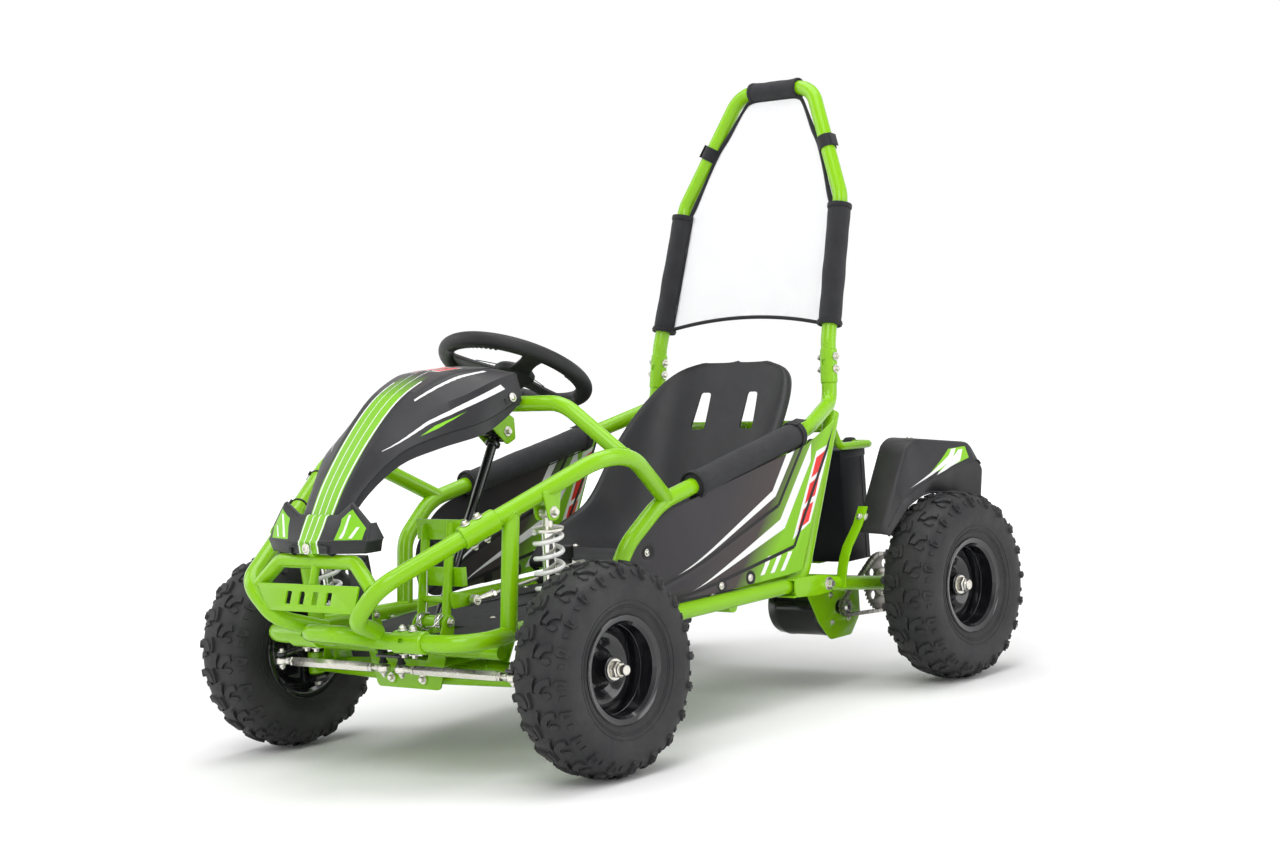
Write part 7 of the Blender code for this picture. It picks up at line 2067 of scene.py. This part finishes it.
def makeBatteries():
    centre = rear(0.030, -0.029, 0.1393)
    cases, lids, posts, reds, straps = [], [], [], [], []
    for i in (-1, 1):
        for k in (-1, 1):
            place = centre + Vector((i * 0.0755, 0, k * 0.0475))
            cases.append(block(place - zAxis * 0.003, (0.1490, 0.0640, 0.0870), edge=0.0025))
            lids.append(block(place + zAxis * 0.0415, (0.1470, 0.0620, 0.0045), edge=0.0015))
            for sign in (-1, 1):
                post = place + Vector((sign * 0.062, -0.018, 0.0400))
                posts.append(block(post + zAxis * 0.0040, (0.0062, 0.0010, 0.0060), edge=0.0003))
                (reds if sign > 0 else straps).append(block(post - zAxis * 0.0004, (0.0110, 0.0120, 0.0050),
                    edge=0.0015))
    leads = []
    for k in (-1, 1):
        a, b = (centre + Vector((x, -0.018, k * 0.0475 + 0.0415)) for x in (-0.0135, 0.0135))
        leads.append(tube([a, a + Vector((0.004, -0.0065, 0.0015)), b + Vector((-0.004, -0.0065, 0.0015)),
            b], 0.0016, 10))
    for x in (-0.075, 0.075):
        band = [centre + Vector((x, y, z)) for y, z in mm((-33.5, -94.5), (-33.5, 93.5), (33.5, 93.5),
            (33.5, -94.5))]
        straps.append(loft([[p + xAxis * s for s, p in ((-0.008, q), (0.008, q))]
            + [p + xAxis * s + (p - centre).normalized() * 0.0008 for s, p in ((0.008, q), (-0.008, q))]
            for q in band], True))
    makePiece("battery_cells", "chassis", ["battery_pack"], [(satinBlack, *cases, *lids), (zinc, *posts),
        (redRubber, *reds), (softRubber, *straps, *leads)])
    fins = []
    floor = 0.0453
    middle = rear(-0.157, -0.029, floor + 0.105)
    core = block(middle + yAxis * 0.006, (0.052, 0.044, 0.120), edge=0.002)
    for index in range(9):
        fins.append(block(middle + Vector((0, -0.0225, -0.054 + index * 0.0135)), (0.051, 0.0150, 0.0030),
            edge=0.0005))
    foot = block(rear(-0.157, -0.029, floor + 0.0235), (0.012, 0.030, 0.047))
    plug = [block(rear(-0.157, -0.020, floor + 0.0420), (0.030, 0.014, 0.010), edge=0.001)]
    makePiece("speed_controller", "chassis", ["controller"], [(zinc, core, *fins, foot),
        (softRubber, *plug)])


# rear fenders
fenderStations = [
    ((0.270, -0.141, 0.108), (0.322, -0.141, 0.106), (0.330, -0.140, 0.105), (0.338, -0.139, 0.104)),
    ((0.270, -0.094, 0.180), (0.322, -0.094, 0.178), (0.336, -0.092, 0.158), (0.349, -0.090, 0.152)),
    ((0.270, -0.052, 0.250), (0.325, -0.052, 0.247), (0.343, -0.054, 0.177), (0.351, -0.052, 0.165)),
    ((0.270, -0.030, 0.262), (0.328, -0.028, 0.259), (0.349, -0.014, 0.190), (0.342, -0.012, 0.1660)),
    ((0.270, 0.052, 0.252), (0.334, 0.052, 0.248), (0.354, 0.052, 0.203), (0.340, 0.050, 0.158)),
    ((0.270, 0.124, 0.242), (0.339, 0.124, 0.238), (0.357, 0.121, 0.208), (0.350, 0.112, 0.135)),
    ((0.270, 0.130, 0.206), (0.340, 0.130, 0.204), (0.358, 0.130, 0.192), (0.352, 0.127, 0.125)),
]


def fenderFinish():
    finish = plasticFinish("fenderMoulding", (0.019, 0.018, 0.020), 0.44)
    x, y, z = finish.axes()
    v, w, wide = y - rearY, z - kart["tyre"], x.join("ABSOLUTE")
    side = (wide - 0.3245).join("MULTIPLY", 900, clamp=True) * (w - v * 0.16).step(0.166, 0.002)
    lime = finish.polygon(v, w, mm((-20, 196), (52, 234), (103, 234), (98, 214), (62, 208)), 0.0005)
    flash = finish.anyOf(v, w, (
        mm((-66, 178), (50, 215), (46, 223)),
        mm((46, 223), (50, 215), (74, 233), (60, 233)),
        mm((-4, 193), (70, 211), (92, 230), (80, 230))), 0.0005)
    colour = finish.blend(lime * side, finish.base, (0.215, 0.500, 0.014))
    finish.set("Base Color", finish.blend(flash * side, colour, (0.78, 0.78, 0.78)))
    return finish


fenderSkin = fenderFinish()


def makeFenders():
    for name, side in sides:
        columns = []
        for k in range(4):
            places = [Vector(station[k]) for station in fenderStations]
            columns.append(bend(places, [0.030, 0.020, 0.045, 0.060, 0.014], 7))
        count = 40
        even = []
        for column in columns:                   # the same number of rows in every column
            gaps = [0.0]
            for a, b in zip(column, column[1:]):
                gaps.append(gaps[-1] + (b - a).length)
            even.append([Vector([np.interp(gaps[-1] * k / (count - 1), gaps, [p[axis] for p in column])
                for axis in range(3)]) for k in range(count)])
        rows = [[rear(side * column[k].x, column[k].y, column[k].z) for column in even]
            for k in range(count)]
        body = shell(rows, 0.003, 0.0007, 0.0060, 25)
        rail = [row[-1] + zAxis * -0.0015 for row in rows]
        lip = tube(rail, 0.0024, 10)
        ledge = tube([row[2] + Vector((side * 0.0010, 0, 0.0012)) for row in rows[2:-1]], 0.0016, 10)
        makePiece(f"fender_{name}_moulding", "swing_arm", [f"fender_{name}"],
            [(fenderSkin, body, lip, ledge)], 36)
        fasten("swing_arm", "button", rear(side * 0.279, -0.1265, 0.1330), (0, -0.84, 0.54), 0.85)
        fasten("swing_arm", "button", rear(side * 0.296, 0.000, 0.2585), (0, 0.15, 1), 0.75)


makeHood()
makePanels()
makeFloor()
makeSeat()
makeBatteryBox()
makeBatteries()
makeFenders()
print("panels, seat and battery box made")


# soft pieces: cloth sleeves on the tubes, swollen by a short cloth simulation
softwear = dict(padRadius=0.0218, padFrom=-0.562, padTo=-0.258, voxel=0.0045, pressure=4.0, most=0.0035)


def onWaist(side, behind):                       # a place on the straight of a waist tube
    ahead, back = waistKnee(side), rear(side * 0.243, -0.224, 0.298)
    return ahead.lerp(back, (rearY + behind - ahead.y) / (back.y - ahead.y))


def swollen(shape):                              # cloth with a little pressure, held to a few millimetres
    body = temporary(shape)
    modifier = body.modifiers.new("remesh", "REMESH")
    modifier.mode, modifier.voxel_size = "VOXEL", softwear["voxel"]
    smooth = baked(body)
    body = temporary(smooth)
    cloth = body.modifiers.new("cloth", "CLOTH")
    cloth.settings.use_pressure, cloth.settings.uniform_pressure_force = True, softwear["pressure"]
    cloth.settings.effector_weights.gravity = 0
    cloth.settings.quality = 4
    cloth.settings.tension_stiffness = cloth.settings.compression_stiffness = 12
    cloth.point_cache.frame_start, cloth.point_cache.frame_end = 1, 20
    scene = bpy.context.scene
    for number in range(1, 21):
        scene.frame_set(number)
    bpy.context.view_layer.update()
    evaluated = body.evaluated_get(bpy.context.evaluated_depsgraph_get())
    moved = [Vector(vertex.co) for vertex in evaluated.data.vertices]
    scene.frame_set(1)
    body.modifiers.clear()
    for vertex, place in zip(body.data.vertices, moved):
        step = place - vertex.co
        if step.length > softwear["most"]:
            step *= softwear["most"] / step.length
        vertex.co += step
    modifier = body.modifiers.new("fine", "SUBSURF")
    modifier.levels = modifier.render_levels = 1
    return baked(body)


def clothSleeve(start, end, inset, radius, wrinkle, seed):   # closed, with shallow creases, round a tube
    heading = (end - start).normalized()
    start, end = start + heading * inset, end - heading * inset
    heading, length = (end - start).normalized(), (end - start).length
    spoke = spokesOf(heading)
    rows = []
    count, turns = 44, 40
    for index in range(count):
        share = index / (count - 1)
        ring = []
        for k in range(turns):
            angle = 2 * pi * k / turns
            crease = sin(share * 19 + seed + 2 * sin(angle + seed)) * sin(angle * 2 + seed * 3 + share * 5)
            pinch = 1 - 0.05 * max(0, 1 - min(share, 1 - share) * 16)
            reach = (radius + wrinkle * crease) * pinch
            ring.append(start + heading * length * share + spoke(angle) * reach)
        rows.append(ring)
    return swollen(loft(rows))


def hemPair(start, end, inset, radius, thick):   # a hem near each end of a cloth sleeve
    heading = (end - start).normalized()
    profile = [(radius - 0.002, -thick), (radius + 0.0006, -thick), (radius + 0.0011, 0),
        (radius + 0.0006, thick), (radius - 0.002, thick)]
    return [turned(profile, place, heading, 40, True)
        for place in (start + heading * inset, end - heading * inset)]


stitch = tube([(-0.0013, 0, 0.0001), (-0.0006, 0, 0.0006), (0.0006, 0, 0.0006),
    (0.0013, 0, 0.0001)], 0.00032, 5)


def ringStitches(centre, heading, radius):
    spoke = spokesOf(heading)
    facings = [spoke(2 * pi * k / 36) for k in range(36)]
    places = [centre + facing * radius for facing in facings]
    return grown("line", pointMesh(places, facings, ring=True), stitch, threadGrey, Pitch=0.0042)


def makePads():
    for number, (name, side) in enumerate(sides):
        start, end = onWaist(side, softwear["padFrom"]), onWaist(side, softwear["padTo"])
        heading = (end - start).normalized()
        body = clothSleeve(start, end, 0.003, softwear["padRadius"], 0.0006, number * 1.7)
        hems = hemPair(start, end, 0.0085, softwear["padRadius"] + 0.0018, 0.0055)
        down = (-zAxis - heading * (-zAxis).dot(heading)).normalized()
        out = heading.cross(down) * (1 if heading.cross(down).x * side > 0 else -1)
        seamLine = (down * 0.9 - out * 0.42).normalized()
        seam = tube([start + heading * d + seamLine * (softwear["padRadius"] + 0.0021)
            for d in np.linspace(0.006, (end - start).length - 0.006, 24)], 0.0010, 8)
        flapAt = end - heading * 0.022 + out * 0.006 + zAxis * (softwear["padRadius"] + 0.0012)
        flap = loft([[flapAt + heading * d + out * w + zAxis * h
            for w, h in mm((-10, 0), (10, -2.6), (10, -1.2), (-10, 1.4))] for d in (0, 0.016, 0.030)])
        pad = makePiece(f"side_pad_{name}_sleeve", "chassis", [f"side_pad_{name}"], [(padCloth, body)], 60)
        thread = [ringStitches(place, heading, softwear["padRadius"] + 0.0029)
            for place in (start + heading * 0.0085, end - heading * 0.0085)]
        makePiece(f"side_pad_{name}_hems", "chassis", (), [(webbing, *hems, seam, flap),
            (threadGrey, *thread)], 40)


# the net behind the driver's head
net = dict(foot=(0.193, -0.076, 0.466), head=(0.181, -0.0014, 0.697), sleeve=0.0214, run=0.228,
    hemRise=0.020, binding=0.0034, strap=0.47)


def onNet(x, height, bulge=0.0):                 # height up the lean, bulge toward the rear
    low, high = Vector(net["foot"]), Vector(net["head"])
    lean = Vector((0, high.y - low.y, high.z - low.z)).normalized()
    back = Vector((0, lean.z, -lean.y))
    return rear(0, low.y, low.z) + xAxis * x + lean * height + back * bulge


# half width and height of the free edge above the side sleeves
def netEdge(share):
    corners = mm((164, 226), (156, 245), (145.5, 272), (131, 310), (116.8, 346), (98.5, 375), (79, 410),
        (64, 434), (54, 440))
    return curveThrough([Vector((x, h, 0)) for x, h in corners], 21)[round(share * 20)]


def makeNet():
    rows = []
    rise = net["hemRise"]
    for index in range(34):                      # between the side sleeves
        share = index / 33
        half = 0.1860 + (0.1640 - 0.1860) * share ** 3
        row = []
        for k in range(41):
            turn = -1 + 2 * k / 40
            foot = 0.004 + rise * (1 - turn * turn)
            height = foot + (0.226 - foot) * share
            row.append(onNet(turn * half, height, 0.004 * (1 - turn * turn) * sin(pi * height / 0.44)))
        rows.append(row)
    for index in range(1, 21):
        half, height, _ = netEdge(index / 20)
        lift = sin(pi * min(1, height / 0.44))
        rows.append([onNet(turn * half, height, 0.004 * (1 - turn * turn) * lift)
            for turn in np.linspace(-1, 1, 41)])
    panel = shell(rows, 0.0006)
    piece = makePiece("hoop_net_panel", "chassis", ["hoop_net"], [(netMesh, panel)], 60)
    flat = 0.0
    for first, second in zip(rows, rows[1:]):
        for a, b, c, d in zip(first, first[1:], second[1:], second):
            flat += ((c - a).cross(d - b)).length / 2
    bindings = []
    bindings.append(tube(rows[0], net["binding"], 8))
    for column in (0, -1):
        line = [rows[index][column] for index in range(33, 54)]
        bindings.append(tube(line, [0.0040 + 0.0008 * sin(k * 0.7) for k in range(len(line))], 8))
    bindings.append(tube(rows[-1], 0.0026, 8))
    hems = makePiece("hoop_net_binding", "chassis", (), [(webbing, *bindings)], 60)
    for number, (name, side) in enumerate(sides):
        low, high = (rear(side * x, y, z) for x, y, z in (net["foot"], net["head"]))
        end = toward(low, high, net["run"])
        heading = (end - low).normalized()
        body = clothSleeve(low, end, 0.002, net["sleeve"] - 0.0008, 0.0007, 3.1 + number)
        cover = makePiece(f"hoop_sleeve_{name}", "chassis", (), [(padCloth, body)], 60)
        edge = tube([toward(low, end, d) - xAxis * side * (net["sleeve"] + 0.001)
            for d in np.linspace(0.006, net["run"] - 0.004, 20)], 0.0016, 8)
        rings = hemPair(low, end, 0.006, net["sleeve"], 0.004)
        makePiece(f"hoop_sleeve_{name}_hems", "chassis", (),
            [(webbing, edge, *rings), (threadGrey, ringStitches(low + heading * 0.006, heading,
            net["sleeve"] + 0.0011))], 40)
    left, right = rear(0.0560, 0.0645, 0.901), rear(-0.0560, 0.0645, 0.901)
    body = clothSleeve(left, right, 0.002, 0.0180, 0.0006, 5.0)
    top = makePiece("hoop_sleeve_top", "chassis", (), [(padCloth, body)], 60)
    ends = hemPair(left, right, 0.005, 0.0180, 0.0035)
    fin = []
    for x, drop in mm((-54, 4), (-30, 1), (0, 0), (30, 1), (54, 4)):
        low, high = onNet(0, 0.440 - drop), onNet(0, 0.4585 - drop * 0.4)
        low.x = high.x = x
        fin.append([low - yAxis * 0.0012, low + yAxis * 0.0012,
            high + yAxis * 0.0016, high - yAxis * 0.0016])
    makePiece("hoop_sleeve_top_hems", "chassis", (), [(webbing, *ends, loft(fin))], 40)
    straps = []
    for side in (-1, 1):                         # hook-and-loop straps round the hoop
        a, b = rear(side * 0.181, -0.0014, 0.697), rear(side * 0.083, 0.0645, 0.901)
        heading, centre = (b - a).normalized(), a.lerp(b, net["strap"])
        profile = mm((13.8, -12.5), (15.8, -12.5), (16, 0), (15.8, 12.5), (13.8, 12.5))
        straps.append(turned(profile, centre, heading, 40, True))
        across = (yAxis - heading * heading.dot(yAxis)).normalized()
        tail = heading.cross(across).normalized()
        tail = tail if tail.x * side > 0 else -tail
        lap = centre + tail * 0.0152
        turn = Matrix((heading, tail.cross(heading), tail)).transposed()
        straps.append(slab(mm((-12.5, -10), (12.5, -10), (12.5, 7), (-12.5, 7)), 0.0016, "XY",
            lap + tail * 0.0012, edge=0.0005, turn=turn))
        hem = min((onNet(side * netEdge(k / 20).x, netEdge(k / 20).y) for k in range(21)),
            key=lambda point: (point - centre).length)
        strapAcross = (hem - centre).normalized()
        straps.append(loft([[place + heading * w + yAxis * t
            for w, t in mm((-11.5, -0.9), (11.5, -0.9), (11.5, 0.9), (-11.5, 0.9))]
            for place in (centre + strapAcross * 0.0145, hem + strapAcross * 0.001)]))
    strapPiece = makePiece("hoop_straps", "chassis", (), [(webbing, *straps)], 40)
    print("net's flat area", round(flat, 4))


# zip ties, and the clamp on the battery rack
def zipTie(centre, heading, radius, facing):
    heading = heading.normalized()
    facing = (facing - heading * facing.dot(heading)).normalized()
    profile = doubled([(radius + 0.0001, -0.0019), (radius + 0.0013, -0.0019)])
    turn = Matrix((heading, facing.cross(heading), facing)).transposed()
    head = block(centre + facing * (radius + 0.0024), (0.0052, 0.0060, 0.0038), turn, 0.0005)
    tail = block(centre + facing * (radius + 0.0018) + facing.cross(heading) * 0.0085,
        (0.0036, 0.0120, 0.0011), turn, 0.0002)
    return [turned(profile, centre, heading, 36, True), head, tail]


def makeTies():
    ties = []
    upper = upperLine(-1)
    for distance in (0.060, 0.155):
        place = toward(upper[0], upper[1], distance)
        ties += zipTie(place, upper[1] - upper[0], tubes["frame"], Vector((-0.6, -0.5, 0.6)))
    rail = railLine(-1)
    middle = len(rail) // 2
    ties += zipTie(rail[middle], rail[middle + 1] - rail[middle], tubes["frame"], zAxis)
    makePiece("zip_ties", "chassis", (), [(softRubber, *ties)], 40)
    clampAt = rear(0.150, 0.020, 0.248)
    clampRing = turned(mm((7.2, -8), (11.2, -8), (11.8, 0), (11.2, 8), (7.2, 8)), clampAt, xAxis, 30, True)
    makePiece("rack_clamp", "chassis", (), [(softRubber, clampRing,
        block(clampAt - zAxis * 0.0135, (0.014, 0.005, 0.014), edge=0.001))], 40)


makePads()
makeNet()
makeTies()
print("soft pieces made")


# the floor, for the picture only
def makeStage():
    mesh = bpy.data.meshes.new("studioFloor")
    mesh.from_pydata([(-14, -14, 0), (14, -14, 0), (14, 14, 0), (-14, 14, 0)], [], [(0, 1, 2, 3)])
    paper = Finish("palePaper", (0.90, 0.90, 0.90), 0.9)
    x, y, _ = paper.axes()
    # painted light: the paper's emission brightens it away from the kart, as a lit backdrop looks
    reach = (x * x + y * y).join("SQRT")
    paintedGlow = (reach - 1.3).join("MULTIPLY", 0.42, clamp=True)
    paper.set("Emission Color", paper.blend(paintedGlow, (0, 0, 0), (0.55, 0.55, 0.55)))
    paper.set("Emission Strength", 1.0)
    mesh.materials.append(paper.material)
    linked("studioFloor", mesh)


makeStage()
makeFasteners()
